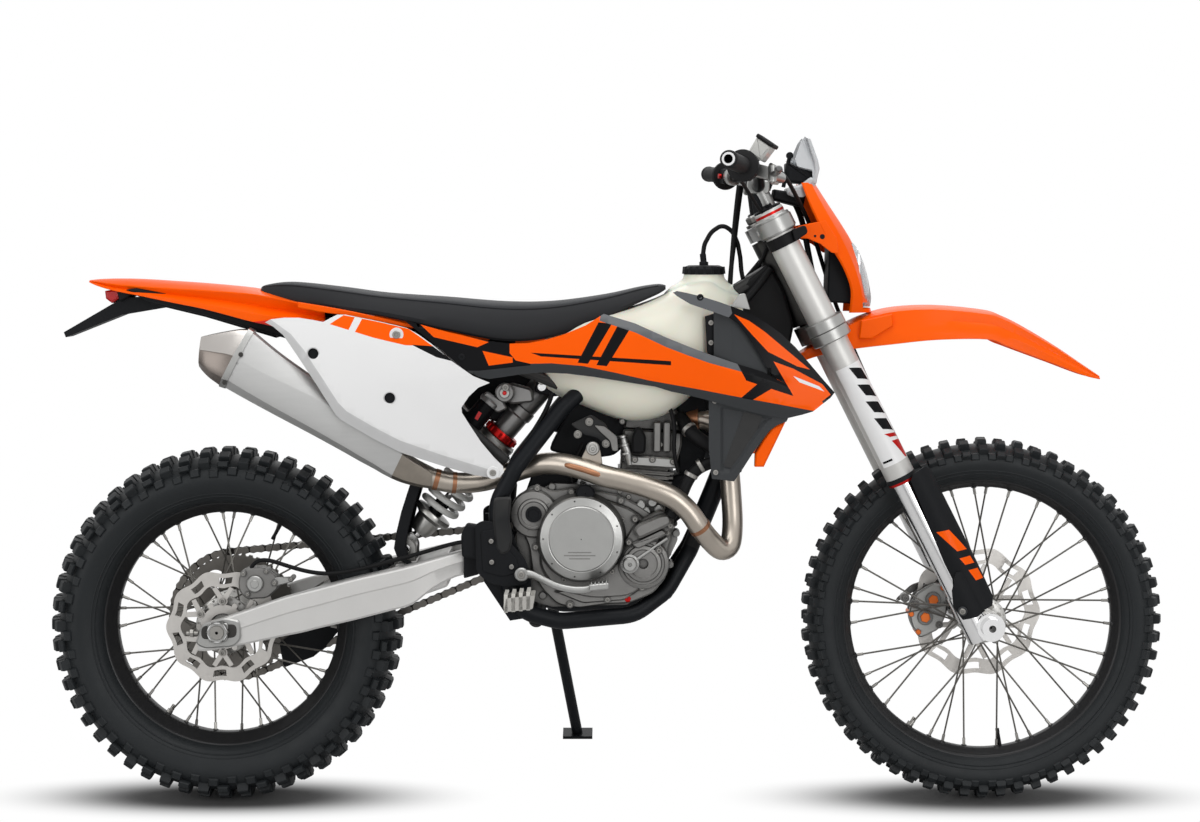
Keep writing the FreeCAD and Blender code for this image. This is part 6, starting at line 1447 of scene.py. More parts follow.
def pumpCasing():
    bm = bmesh.new()
    plate(bm, 12, [(780, 520), (800, 552), (850, 580), (878, 562), (872, 540), (812, 500),
        (786, 502)], -96, -108, 3)
    plate(bm, 9, [(796, 540), (806, 522), (848, 541), (872, 553), (866, 572), (848, 570),
        (806, 552)], -104, -124, 5)
    plate(bm, 5, [(790, 512), (806, 502), (864, 532), (852, 542), (806, 520)], -100, -114, 3)
    sweep = facing(816, 474)
    turned(bm, [(10, -100), (50, -100), (48, -107), (42, -110), (40, -108), (36, -108), (34, -111),
        (28, -112), (26, -110), (10, -110)], 72, sweep)
    cap = facing(790, 474)
    turned(bm, [(1, -104), (19, -104), (18, -112), (14, -114), (13, -121), (11, -123), (4, -123),
        (3, -121), (1, -121)], 48, cap, material=1)
    bar(bm, (803, -110, 482), (862, -107, 523), 3.4, 12, material=1)
    for x, z in ((800, 560), (868, 548), (788, 516), (846, 500)):
        sideScrew(bm, (x, -112, z), 4.4, 5, material=2)
        crossBar(bm, x, z, -98, -112, 7, 18, chamfer=1)
    bossed(bm, coverBolts, -86, -102, 7.4, 4.6, bolt=2)
    turned(bm, [(1, -86), (8, -86), (8, -97), (6, -99), (1, -99)], 6, facing(786, 405), material=3)
    addPiece("pumpCasing", bm, ["castAlloy", "machinedAlloy", "boltSteel",
        "anodisedRed"], smooth=32, weld=0.005)


flywheel = {"x": 772, "z": 505, "boltR": 72, "bolts": 8}


def caseTrim():
    bm = bmesh.new()
    plate(bm, 8, [(640, 420), (700, 396), (780, 402), (822, 430), (790, 440), (700, 424)], -94,
        -101, 3)
    for k in range(5):
        z = 612 + k * 9
        plate(bm, 1, [(772 + k * 3, z), (868 + k * 2, z - 8), (869 + k * 2, z - 4),
            (772 + k * 3, z + 4)], -62, 62, 0)
    for x, z in ((602, 450), (622, 410), (868, 470), (880, 530), (700, 624), (640, 620)):
        for side in (-1, 1):
            crossBar(bm, x, z, side * 60, side * 92, 7, 18, chamfer=1)
    turned(bm, [(1, -40), (30, -40), (30, 44), (26, 48), (1, 48)], 40, facing(820, 612))
    left = facing(flywheel["x"], flywheel["z"])
    turned(bm, [(8, 96), (66, 96), (66, 112), (62, 118), (50, 119), (48, 116), (8, 116)], 72, left)
    turned(bm, [(1, 115), (46, 115), (46, 118), (30, 121), (28, 119), (1, 119)], 56, left,
        material=1)
    ring = [polar(flywheel["boltR"], a + math.radians(10)) for a in around(flywheel["bolts"])]
    bossed(bm, [(flywheel["x"] + p.x, flywheel["z"] + p.z) for p in ring], 90, 104, 7, 4.4, bolt=2)
    addPiece("caseTrim", bm, ["castAlloy", "machinedAlloy", "boltSteel"], smooth=32,
        weld=0.005)


def cylinderHead():
    bm = bmesh.new()
    plate(bm, 5, [(764, 604), (848, 594), (872, 660), (774, 668)], -58, 58, 3)
    plate(bm, 6, [(772, 664), (880, 656), (892, 700), (892, 724), (778, 730)], -68, 68, 4)
    plate(bm, 9, [(778, 728), (890, 722), (890, 756), (852, 798), (800, 790), (780, 752)], -62, 62,
        5)
    for level in (606, 614, 622, 630, 638, 646):
        slab(bm, [(762 + (level - 600) * 0.12, level), (854 + (level - 600) * 0.3, level - 8),
            (855 + (level - 600) * 0.3, level - 5), (762 + (level - 600) * 0.12, level + 3)], -63,
            63, 0)
    plate(bm, 4, [(789, 660), (881, 654), (884, 674), (789, 680)], -66, -86, 3, material=1)
    swept(bm, between([(789, -80, 662, 8), (786, -82, 684, 8.5), (780, -82, 700, 9),
        (776, -80, 716, 8)], 5), 20, material=1)
    for z, r in ((700, 12), (716, 10.5), (684, 11)):
        x = 789 - (z - 662) * 0.25
        bar(bm, (x, -81, z - 2.5), (x - 1, -81, z + 2.5), r, 24, material=1, chamfer=0.8)
    plate(bm, 7, [(794, 684), (820, 684), (822, 716), (812, 734), (802, 734), (794, 716)], -70, -92,
        4, material=3)
    for x in (843, 862):
        plate(bm, 3, [(x - 7, 686), (x + 7, 686), (x + 8, 744), (x - 6, 744)], -66, -82, 2)
    for x, z in ((800, 672), (834, 672), (874, 668), (771, 611), (788, 600), (850, 700), (776, 745),
            (884, 742)):
        crossBar(bm, x, z, -50, -88 if z < 690 else -74, 6.4, 18, chamfer=1)
        sideScrew(bm, (x, -88 if z < 690 else -74, z), 4.2, 3, material=2)
    for x, z in ((812, 585), (834, 590), (846, 576), (822, 572)):
        crossBar(bm, x, z, -60, -96, 9, 20, chamfer=2, material=1)
    plate(bm, 5, [(806, 570), (856, 566), (862, 592), (812, 600)], -60, -84, 3)
    addPiece("cylinderHead", bm, ["castAlloy", "machinedAlloy", "boltSteel",
        "hoseRubber"], ["cylinder"], smooth=32, weld=0.005)


headerPath = [(880, -30, 735, 20), (915, -38, 744, 20), (948, -46, 742, 20), (974, -46, 712, 20),
    (983, -48, 660, 20), (988, -54, 600, 20), (990, -66, 545, 20), (984, -84, 508, 20.5),
    (966, -97, 500, 20.5), (944, -110, 520, 20.5), (922, -126, 549, 20.5), (900, -130, 580, 20.5),
    (868, -133, 606, 21), (820, -134, 625, 21), (780, -131, 636, 21), (740, -128, 645, 21),
    (700, -116, 657, 21), (660, -102, 665, 21), (624, -86, 664, 21), (590, -73, 655, 20.5),
    (550, -71, 642, 20.5), (510, -72, 630, 20), (470, -78, 626, 20), (430, -84, 630, 20),
    (385, -88, 644, 20), (343, -90, 663.5, 20)]


def exhaust():
    bm = bmesh.new()
    path = between(headerPath, 5)
    swept(bm, path, 32)
    for index, wide, big in ((49, 1, 1.0), (112, 1, 0.9), (116, 1, 0.8), (4, 3, 5)):
        swept(bm, [(x, y, z, r + big) for x, y, z, r in path[index:index + wide + 1]], 32,
            material=1)
    for grow, sink, material in ((0, 16.5, 1), (-1.7, 15.2, 0)):   # the tongue that is welded on
        bead = path[75:86]
        shares = [math.sqrt(max(0.04, 1 - abs(i / 5 - 1) ** 6)) for i in range(len(bead))]
        swept(bm, [(x, y - sink, z + 1, (7.2 + grow) * share)
            for (x, y, z, r), share in zip(bead, shares)], 20, material=material)
    plate(bm, 4, [(700, 664), (738, 664), (734, 692), (722, 710), (708, 700), (696, 676)], -112,
        -117, 1)
    crossBar(bm, 719, 696, -100, -122, 13, 32, material=3, chamfer=2)
    sideScrew(bm, (719, -122, 696), 7, 3, material=3)
    addPiece("exhaustHeader", bm, ["pipeSteel", "jointTint", "darkSeam", "hubAlloy"],
        ["exhaust_pipe"], weld=0.005)


canStations = [(408, 617, 412, 656, 0.56, 0.5), (384, 620, 396, 664, 0.62, 0.7),
    (352, 628, 374, 676, 0.72, 0.8), (330, 637, 356, 690, 0.84, 0.84),
    (313, 646, 343, 706, 0.92, 0.84), (296, 656, 330, 722, 0.96, 0.82),
    (268, 671, 308, 741, 1.0, 0.76), (240, 687, 284, 758, 1.0, 0.68),
    (178, 721, 226, 800, 1.0, 0.50), (110, 757, 162, 844, 1.0, 0.32),
    (60, 784, 112, 880, 1.0, 0.18), (10, 812, 66, 918, 1.0, 0.06)]
bandStations = [(11, 811, 67, 920, 1.04, 0.06), (-1, 815, 57, 926, 1.04, 0.06)]
capStations = [(0, 816, 57, 924, 1.0, 0.06), (-10, 823, 36, 924, 0.95, 0.08),
    (-22, 832, 10, 920, 0.86, 0.1), (-33, 843, -16, 915, 0.74, 0.12),
    (-40, 852, -36, 910, 0.60, 0.14)]


def canRing(station, grow=0.0):
    lowX, lowZ, highX, highZ, wide, crease = station
    low, high = Vector((lowX, -90, lowZ)), Vector((highX, -90, highZ))
    middle, up = (low + high) / 2, (high - low) / 2
    half = 34 * wide + grow
    up = up.normalized() * (up.length + grow)
    ring = []
    for tall, across in ((1, 0.26), (0.97, 0.46), (0.97 * 0.8 + crease * 0.2, 0.66),
            (crease + 0.02, 1.0), (crease - 0.04, 1.03), (-0.5, 1), (-0.70, 0.92), (-0.97, 0.46),
            (-1, 0.26)):
        ring.append(middle + up * tall + Vector((0, half * across, 0)))
    return ring + [Vector((p.x, -180 - p.y, p.z)) for p in ring[::-1]]


def silencerCan():
    bm = bmesh.new()
    lofted(bm, [canRing(s) for s in between(canStations[:4], 3)], 1)
    lofted(bm, [canRing(s) for s in between(canStations[3:], 3)], 0)
    lofted(bm, [canRing(bandStations[0], 0.4), canRing(bandStations[0], 1.2),
        canRing(bandStations[1], 1.2), canRing(bandStations[1], 0.4)], 2)
    rings = [canRing(s) for s in between(capStations, 3)]
    # the end cap's lower facets take the darker copy of its finish, painted shade
    loops = lofted(bm, rings, 3, caps=False, picks=[3] * 3 + [5] * 11 + [3] * 4)
    bm.faces.new(loops[0][::-1])
    centre = sum((v.co for v in loops[-1]), Vector()) / len(loops[-1])
    inward = (Vector((57, -90, 870)) - Vector((-38, -90, 881))).normalized()
    last = loops[-1]
    for reach, radius in ((1, 23), (3, 21), (30, 20.5)):
        ring = []
        for vert in last:
            out = (vert.co - centre)
            out -= inward * out.dot(inward)
            ring.append(bm.verts.new(centre + inward * reach + out.normalized() * radius))
        skin(bm, [last, ring], 3 if reach < 30 else 4)
        last = ring
    bm.faces.new(last).material_index = 4
    for x, z in ((45, 877), (14, 823)):
        crossBar(bm, x, z, -123, -126.5, 4.5, 20, material=4, chamfer=0.8)
    for x, z in ((26, 838), (38, 860)):
        crossBar(bm, x, z, -124, -125.6, 2.2, 12, material=2)
    addPiece("silencerCan", bm, ["silencerAlloy", "weldedTab", "machinedAlloy",
        "endCapAlloy", "darkSeam", "capShade"], ["silencer"], smooth=22, weld=0.005)
    bm = bmesh.new()
    swept(bm, between([(318, -62, 640, 4), (338, -60, 652, 4), (372, -60, 648, 4),
        (408, -62, 632, 4), (440, -66, 618, 4)], 5), 12)
    plate(bm, 5, [(246, 742), (300, 740), (322, 760), (300, 776), (262, 772)], -56, -60, 0)
    addPiece("silencerHanger", bm, ["boltSteel"])


coil = {"radius": 35.5, "wire": 6.3, "turns": 7.5, "top": 152, "foot": 92}
shockTop, shockLow = Vector((619, 0, 810)), Vector((352, 0, 496))
shockRun = shockLow - shockTop
shockFrame = Matrix.Translation(shockTop) @ shockRun.to_track_quat("-Y", "Z").to_matrix().to_4x4()


# Turned on the line from the top bolt to the clevis: Y runs up, so stations are negative
def shock():
    bm = bmesh.new()
    long = shockRun.length
    turned(bm, [(1, -4), (23, -4), (25, -8), (25, -52), (24, -56), (27, -58), (27, -74), (24, -78),
        (24, -128), (1, -128)], 48, shockFrame)
    turned(bm, [(24, -118), (33, -118), (34, -120), (34, -133), (33, -134), (24, -134)], 48,
        shockFrame, material=1)
    for a in around(18):
        bar(bm, polar(34, a, -131), polar(34, a, -121), 2.6, 8, material=1, where=shockFrame)
    turned(bm, [(24, -135), (38, -135), (41, -138), (41, -145), (38, -148), (24, -148)], 48,
        shockFrame, material=2)
    turned(bm, [(1, -128), (7, -128), (7, -long + 26), (1, -long + 26)], 24, shockFrame, material=3)
    turned(bm, [(1, -long + 84), (38, -long + 84), (40, -long + 80), (40, -long + 74),
        (26, -long + 66), (24, -long + 46), (20, -long + 34), (1, -long + 34)], 48, shockFrame,
        material=2)
    turned(bm, [(1, -long + 120), (12, -long + 120), (15, -long + 112), (15, -long + 84),
        (1, -long + 84)], 32, shockFrame, material=4)
    crossBar(bm, 619, 810, -26, 26, 15, 32, chamfer=2)
    crossBar(bm, 352, 496, -25, 25, 19, 32, material=2, chamfer=2)
    for side in (-1, 1):
        plate(bm, 8, [(334, 452), (372, 460), (374, 500), (356, 518), (338, 512)], side * 26,
            side * 36, 2, material=2)
        sideScrew(bm, (354, side * 36, 494), 8, 5, material=3)
        sideScrew(bm, (619, side * 40, 810), 9, 5, material=3)
        plate(bm, 6, [(604, 800), (640, 790), (660, 812), (640, 834), (610, 830)], side * 30,
            side * 40, 2, material=4)
    knob = Vector((547, -46, 799))
    bar(bm, knob, knob + Vector((0, -14, 0)), 19, 32, chamfer=3)
    bar(bm, knob + Vector((0, -12, 0)), knob + Vector((0, -17, 0)), 10, 24, material=2, chamfer=1)
    bar(bm, knob + Vector((0, -15, 0)), knob + Vector((0, -19, 0)), 4.2, 16, material=5, chamfer=1)
    plate(bm, 8, [(556, 818), (600, 806), (604, 780), (560, 776), (540, 786)], -10, -46, 4)
    plate(bm, 4, [(498, 789), (512, 802), (544, 783), (552, 768), (534, 760), (506, 776)], -30, -58,
        3)
    down = shockRun.normalized()
    base = Vector((519, -44, 782))                 # the gas bottle beside it
    for start, end, radius, material in ((0, 84, 21, 4), (-3, 8, 22, 0), (84, 90, 18, 4)):
        bar(bm, base + down * start, base + down * end, radius, 36, material=material, chamfer=2)
    flash = [base + down * 34 + Vector((dx, -21.6, dz)) for dx, dz in ((-8, -6), (0, 8), (6, 4),
        (-2, -10))]
    bm.faces.new([bm.verts.new(p) for p in flash]).material_index = 5
    addPiece("shockBody", bm, ["shockSilver", "anodisedRed", "hubAlloy", "chrome",
        "graphicBlack", "graphicRed"], ["rear_shock"], weld=0.005)
    bm = bmesh.new()
    path, start, end = [], coil["top"], long - coil["foot"]
    steps = int(coil["turns"] * 30)
    for index in range(steps + 1):
        share = index / steps
        angle = 2 * math.pi * coil["turns"] * share
        eased = share + 0.035 * math.sin(2 * math.pi * (share - 0.5))
        path.append((*(shockFrame @ polar(coil["radius"], angle, -start - (end - start) * eased)),
            coil["wire"]))
    swept(bm, path, 14)
    addPiece("springCoil", bm, ["springWhite"], ["shock_spring"], smooth=40)


armStations = [(-40, 330, 306, 99, 112, 0.5), (-24, 350, 306, 99, 114, 0.5),
    (6, 369, 311, 99, 115, 0.5), (60, 388, 321, 99, 115, 0.45), (120, 409, 334, 99, 116, 0.42),
    (160, 420, 342, 97, 117, 0.40), (199, 430, 352, 80, 118, 0.40), (260, 446, 366, 79, 118, 0.38),
    (330, 462, 384, 78, 118, 0.38), (372, 472, 396, 78, 116, 0.38), (410, 482, 424, 72, 108, 0.40),
    (450, 492, 444, 62, 96, 0.42), (480, 499, 450, 58, 88, 0.44), (520, 504, 452, 58, 86, 0.46),
    (546, 500, 456, 58, 86, 0.48)]


def arms():
    bm = bmesh.new()
    for side in (-1, 1):
        rings = []
        for x, high, low, inner, outer, crease in between(armStations, 4):
            tall = high - low
            line = [(inner, high - 3), (inner + 3, high), (outer - 5, high),
                (outer - 1.5, high - 2), (outer, high - 5), (outer, high - tall * crease),
                (outer - 1.6, high - tall * crease - 3), (outer - 3, low + 4), (outer - 6, low),
                (inner + 3, low), (inner, low + 3)]
            rings.append([Vector((x, side * y, z)) for y, z in line])
        lofted(bm, rings)
        plate(bm, 8, [(-44, 322), (-26, 312), (30, 316), (44, 330), (42, 366), (14, 372),
            (-30, 360)], side * 98, side * 119, 3, material=1)
        plate(bm, 11, [(-32, 330), (36, 334), (36, 360), (-32, 356)], side * 118, side * 120, 1,
            material=2)
        plate(bm, 6, [(-18, 326), (18, 326), (20, 362), (-20, 362)], side * 118, side * 122.5, 1.5,
            material=1)
        turned(bm, [(8, side * 121), (22, side * 121), (22, side * 126), (19, side * 131),
            (8, side * 131)], 6, rearHub, material=1)
        turned(bm, [(3, side * 129), (15, side * 129), (13, side * 134), (3, side * 134)], 32,
            rearHub, material=3)
        bar(bm, (-62, side * 108, 340), (-40, side * 108, 340), 4.4, 16, material=3)
        bar(bm, (-56, side * 108, 340), (-48, side * 108, 340), 8, 6, material=3, chamfer=1)
    plate(bm, 8, [(372, 402), (372, 468), (440, 490), (440, 426)], -80, 80, 4)
    plate(bm, 4, [(330, 446), (374, 456), (374, 470), (332, 462)], -40, 40, 2)
    for side in (-1, 1):
        crossBar(bm, 528, 478, side * 56, side * 88, 29, 40, chamfer=2)
    addPiece("swingarmBeams", bm, ["swingarmAlloy", "machinedAlloy", "darkSeam",
        "boltSteel"], ["swingarm"], smooth=24, weld=0.005)
    bm = bmesh.new()
    plate(bm, 6, [(468, 488), (498, 484), (502, 548), (476, 552), (466, 530)], -92, -122, 4)
    plate(bm, 4, [(470, 444), (500, 452), (500, 490), (470, 486)], -90, -100, 2)
    addPiece("armSeal", bm, ["blackPlastic"])


chain = {"pitch": 15.875, "y": 84, "rearTeeth": 50, "frontTeeth": 13, "frontAt": (588, 0, 492),
    "toothReach": 142, "half": 7.0, "waist": 5.2}


# The pins' places one pitch apart, round both sprockets
def chainLoop():
    pitch = chain["pitch"]
    rearAt, frontAt = Vector((0, 0, sizes["rearTyreR"])), Vector(chain["frontAt"])
    rearR, frontR = (pitch / 2 / math.sin(math.pi / chain[teeth])
        for teeth in ("rearTeeth", "frontTeeth"))
    run = frontAt - rearAt
    rise = math.atan2(run.z, run.x)
    spread = math.asin((rearR - frontR) / run.length)
    top, low = rise + math.pi / 2 - spread, rise - math.pi / 2 + spread
    straight = run.length * math.cos(spread)
    frontEnd = straight + (math.pi - 2 * spread) * frontR
    lowerEnd = frontEnd + straight
    total = lowerEnd + (math.pi + 2 * spread) * rearR
    stations = []
    count = int(round(total / pitch))
    for index in range(count):
        along = total * index / count
        if along < straight:
            share = along / straight
            stations.append((rearAt + polar(1, top) * rearR).lerp(frontAt + polar(1, top) * frontR,
                share))
        elif along < frontEnd:
            stations.append(frontAt + polar(1, top - (along - straight) / frontR) * frontR)
        elif along < lowerEnd:
            share = (along - frontEnd) / straight
            stations.append((frontAt + polar(1, low) * frontR).lerp(rearAt + polar(1, low) * rearR,
                share))
        else:
            stations.append(rearAt + polar(1, low - (along - lowerEnd) / rearR) * rearR)
    return stations


def chainLinks():
    bm = bmesh.new()
    pins = chainLoop()
    for index, (one, two) in enumerate(zip(pins, pins[1:] + pins[:1])):
        along = (two - one).normalized()
        up = Vector((-along.z, 0, along.x))
        half = (two - one).length / 2
        middle = (one + two) / 2
        bends = [-math.pi / 2 + math.pi * k / 6 for k in range(7)]
        end = [(half + chain["half"] * math.cos(a), chain["half"] * math.sin(a)) for a in bends]
        outline = end + [(0, chain["waist"])] + [(-x, -z) for x, z in end] + [(0, -chain["waist"])]
        turn = Matrix((along, (0, 1, 0), up)).transposed().to_4x4()
        y = chain["y"]
        where = Matrix.Translation((middle.x, y, middle.z)) @ turn
        near, far = (7.0, 9.0) if index % 2 else (4.6, 6.6)
        slab(bm, outline, near, far, 0, material=index % 2, where=where)
        slab(bm, outline, -far, -near, 0, material=index % 2, where=where)
        if math.hypot(one.x, one.z - sizes["rearTyreR"]) > chain["toothReach"]:
            crossBar(bm, one.x, one.z, y - 4.6, y + 4.6, 5, 12, caps=False)
            crossBar(bm, one.x, one.z, y - 9.3, y + 9.3, 2.6, 8, material=1)
            continue
        # the turning sprocket's teeth fill the middle here
        for side in (-1, 1):
            crossBar(bm, one.x, one.z, y + side * 4.6, y + side * 9.3, 2.6, 8, material=1)
    addPiece("chainLinks", bm, ["chainSteel", "sprocketSteel"], ["chain"], smooth=40,
        weld=0)


peg = {"inner": 149, "outer": 212, "tooth": 9, "bars": (553, 567, 581, 595)}


def foot():
    bm = bmesh.new()
    for side in (-1, 1):
        for yLow, yHigh in ((149, 153), (208, 212)):
            plate(bm, 3, [(553, 398), (607, 404), (611, 430), (557, 424)], side * yLow,
                side * yHigh, 0)
        for x0 in peg["bars"]:
            low = 397 + (x0 - peg["bars"][0]) * 0.11
            teeth = []
            for k in range(8):
                y = peg["inner"] + k * peg["tooth"]
                teeth += [(y, low + 26), (y + 3, low + 34), (y + 6, low + 34), (y + 9, low + 26)]
            outline = [(peg["inner"], low),
                (peg["inner"], low + 26)] + teeth[1:28] + [(peg["outer"], low)]
            turn = Matrix.Translation((x0, 0, 0)) @ Matrix.Rotation(-math.pi / 2, 4, "Z")
            slab(bm, [(-side * y, z) for y, z in outline], 0, 7, 0, where=turn)
        plate(bm, 3, [(560, 396), (604, 400), (600, 412), (562, 408)], side * 128, side * 152, 2)
        bar(bm, (566, side * 130, 404), (598, side * 130, 408), 5, 16, material=1)
        plate(bm, 3, [(548, 392), (570, 396), (568, 414), (550, 410)], side * 126, side * 140, 2)
    addPiece("toothedPegs", bm, ["pegSteel", "boltSteel"], ["footpegs"], smooth=30)
    bm = bmesh.new()
    path = [(583, 458, 9, 6), (600, 458, 8, 5), (620, 450, 7.5, 5), (650, 436, 7, 5),
        (680, 429, 7, 5), (706, 429, 7, 5), (726, 436, 6.5, 5), (744, 440, 6, 5)]
    rings = []
    for x, z, tall, wide in between(path, 5):
        rings.append([Vector((x, -139 + wide * math.cos(a), z + tall * math.sin(a)))
            for a in around(16)])
    lofted(bm, rings)
    crossBar(bm, 583, 458, -112, -145, 13, 32, chamfer=2)
    sideScrew(bm, (583, -145, 458), 7, 3, material=1)
    plate(bm, 4, [(712, 430), (750, 434), (750, 446), (712, 442)], -134, -166, 2)
    for k in range(5):
        slab(bm, [(715 + k * 7, 442 + k * 0.8), (719 + k * 7, 442.4 + k * 0.8),
            (717 + k * 7, 448 + k * 0.8)], -136, -165, 0)
    addPiece("rearBrakePedal", bm, ["machinedAlloy", "boltSteel"], ["brake_pedal"])
    bm = bmesh.new()
    plate(bm, 4, [(624, 440), (646, 442), (744, 462), (744, 474), (640, 462), (624, 460)], 134, 143,
        2)
    crossBar(bm, 634, 451, 96, 145, 10, 28, chamfer=1)
    crossBar(bm, 739, 469, 136, 172, 8, 24, chamfer=2, material=1)
    addPiece("gearLever", bm, ["machinedAlloy", "hoseRubber"], ["shift_lever"])


def frameShields():
    bm = bmesh.new()
    outline = rounded([(494, 552), (508, 560), (540, 556), (556, 524), (590, 486), (600, 458),
        (592, 438), (556, 432), (520, 440), (496, 462)], 8)
    for side in (-1, 1):
        slab(bm, outline, side * 129, side * 133, 1.5)
        plate(bm, 8, [(504, 540), (536, 544), (548, 516), (574, 488), (580, 462), (548, 452),
            (508, 462)], side * 132, side * 134.5, 1.5)
        for x, z in ((525, 521), (526, 481), (564, 472)):
            crossBar(bm, x, z, side * 130, side * 136, 7.5, 20, chamfer=1)
            sideScrew(bm, (x, side * 136, z), 4.6, 2.4, material=1)
        plate(bm, 8, [(530, 604), (564, 606), (560, 562), (566, 524), (560, 500), (544, 494),
            (534, 508), (528, 560)], side * 126, side * 138, 4, material=2)
    addPiece("frameShields", bm, ["blackPlastic", "boltSteel", "framePaint"],
        ["frame_guards"])
    bm = bmesh.new()
    crossBar(bm, 528, 478, -127, 127, 9, 24)
    addPiece("pivotPin", bm, ["boltSteel"], ["swingarm_bolt"])
    bm = bmesh.new()
    for side in (-1, 1):
        plate(bm, 6, [(676, 742), (716, 760), (744, 742), (756, 716), (742, 700), (728, 714),
            (700, 722)], side * 96, side * 102, 1.5)
        for x, z in ((712, 746), (690, 722), (744, 704)):
            crossBar(bm, x, z, side * 90, side * 104, 8, 20, chamfer=1, material=1)
            sideScrew(bm, (x, side * 104, z), 5, 3, material=1)
        plate(bm, 5, [(721, 740), (741, 738), (766, 718), (768, 690), (756, 690), (752, 710),
            (736, 724)], side * 102, side * 105, 1, material=2)
    for x, z in ((549, 810), (619, 822)):
        sideScrew(bm, (x, -62, z), 7, 4, material=1)
    addPiece("headStays", bm, ["framePaint", "boltSteel", "castAlloy"])


def rearBrake():
    bm = bmesh.new()
    outline = rounded([(34, 420), (48, 402), (90, 404), (112, 424), (108, 446), (82, 464),
        (46, 462), (34, 444)], 8)
    slab(bm, outline, -72, -88, 3)
    slab(bm, outline, -50, -58, 3)
    plate(bm, 5, [(44, 436), (98, 438), (84, 462), (48, 460)], -57, -72, 0)
    crossBar(bm, 66, 432, -86, -93, 16, 32, chamfer=2, material=2)
    crossBar(bm, 66, 432, -92, -94, 9, 6, chamfer=1, material=2)
    plate(bm, 4, [(96, 424), (140, 436), (142, 446), (100, 444)], -80, -88, 2, material=2)
    for x, z, r in ((44, 452, 6), (104, 434, 6), (136, 441, 5), (88, 456, 5), (52, 412, 5)):
        crossBar(bm, x, z, -92, -52, r, 16, chamfer=1)
        sideScrew(bm, (x, -92, z), r * 0.6, 2, material=1)
    addPiece("rearCaliperBody", bm, ["castAlloy", "boltSteel", "machinedAlloy"],
        ["rear_caliper"])
    bm = bmesh.new()
    spine, deep = [(372, 640), (360, 604), (348, 566), (339, 528), (334, 496), (342, 474),
        (364, 462)], 6
    outline = [(x - deep * 0.5, z) for x, z in spine] + [(x + deep, z + 2)
        for x, z in reversed(spine)]
    slab(bm, outline, -54, 54, 1.5)
    for side in (-1, 1):
        slab(bm, [(x - 3, z) for x, z in spine[:6]]
            + [(x + 20, z + 3) for x, z in reversed(spine[:6])], side * 50, side * 55, 1.5)
    addPiece("splashFlap", bm, ["blackPlastic"], ["mud_flap"], smooth=40)
    route("rearBrakeHose", [(58, -82, 462), (70, -86, 486), (120, -92, 470), (200, -96, 446),
        (290, -96, 466), (380, -96, 490), (450, -92, 512), (490, -104, 520), (540, -118, 500)], 4)


def plumbing():
    route("radiatorHoseRight", [(888, -60, 752), (900, -84, 735), (916, -100, 718),
        (940, -106, 702), (972, -108, 690), (1000, -108, 690)], 14)
    route("pumpHose", [(868, -112, 566), (884, -114, 592), (896, -110, 624), (910, -108, 650),
        (936, -108, 668), (980, -108, 676)], 12)
    bm = bmesh.new()
    for spot, along, radius in (((889, -112, 604), (0.3, 0, 1), 14), ((908, -108, 645), (0.5, 0, 1),
            14), ((926, -108, 662), (1, 0, 0.6), 14), ((905, -88, 730), (0.6, -0.6, -0.7), 16),
            ((950, -106, 698), (1, 0, -0.3), 16)):
        along = Vector(along).normalized()
        bar(bm, Vector(spot) - along * 4, Vector(spot) + along * 4, radius, 28, chamfer=0.8)
    addPiece("hoseClamps", bm, ["boltSteel"])
    route("ventLine", [(640, -70, 800), (632, -78, 770), (604, -92, 728), (588, -96, 700),
        (580, -98, 680)], 4.5)
    route("starterLead", [(700, -60, 700), (680, -70, 660), (668, -72, 632), (690, -70, 606)], 4)
    route("rightWire", [(860, -84, 790), (874, -88, 760), (880, -92, 720), (872, -96, 690),
        (884, -92, 650)], 4)
    route("crossHose", [(1072, -40, 903), (1054, -48, 912), (1034, -54, 910), (1018, -60, 896),
        (1008, -62, 866)], 8)
    bm = bmesh.new()
    plate(bm, 10, [(960, 1000), (1000, 1000), (1062, 1052), (1092, 1000), (1112, 930), (1100, 872),
        (1010, 868), (960, 900)], -38, 38, 5)
    addPiece("headGusset", bm, ["hoseRubber"])
    route("ventTail", [(1010, 0, 1046), (1011, 0, 1036), (1014, 0, 1016), (1024, 0, 992),
        (1034, 0, 980)], 4.4)
    bm = bmesh.new()
    plate(bm, 3, [(984, 968), (1000, 992), (1012, 994), (1022, 962)], -104, -110, 1)
    addPiece("tankTab", bm, ["machinedAlloy"])
    route("headLoom", [(1060, 40, 1060), (1020, 52, 1010), (980, 60, 960), (930, 66, 920)], 8)
    route("headLoomRight", [(1066, -34, 1040), (1030, -48, 990), (990, -58, 950), (950, -64, 915)],
        8)
    # black plates round the cylinder: the intake parts, and black fill in the gaps between frame
    # and engine as painted shade
    bm = bmesh.new()
    plate(bm, 10, [(640, 800), (560, 846), (470, 850), (450, 800), (470, 760), (530, 735),
        (600, 770)], 8, 50, 4)
    plate(bm, 10, [(632, 686), (690, 800), (790, 800), (786, 700), (760, 676), (700, 668)], -46, 46,
        4)
    plate(bm, 12, [(884, 640), (882, 800), (938, 808), (946, 720), (930, 640)], -52, 52, 5)
    plate(bm, 8, [(820, 572), (880, 640), (902, 640), (898, 560), (860, 530)], -50, 50, 4)
    plate(bm, 6, [(560, 530), (600, 640), (690, 650), (690, 626), (600, 600), (575, 530)], -60, 60,
        3)
    addPiece("intakeAndShadeFill", bm, ["blackPlastic"])


clutchCasing()
pumpCasing()
caseTrim()
cylinderHead()
exhaust()
silencerCan()
shock()
arms()
chainLinks()
foot()
frameShields()
rearBrake()
plumbing()
print("engine and running gear done")


# Finishes of the pieces that stay as the frame has them

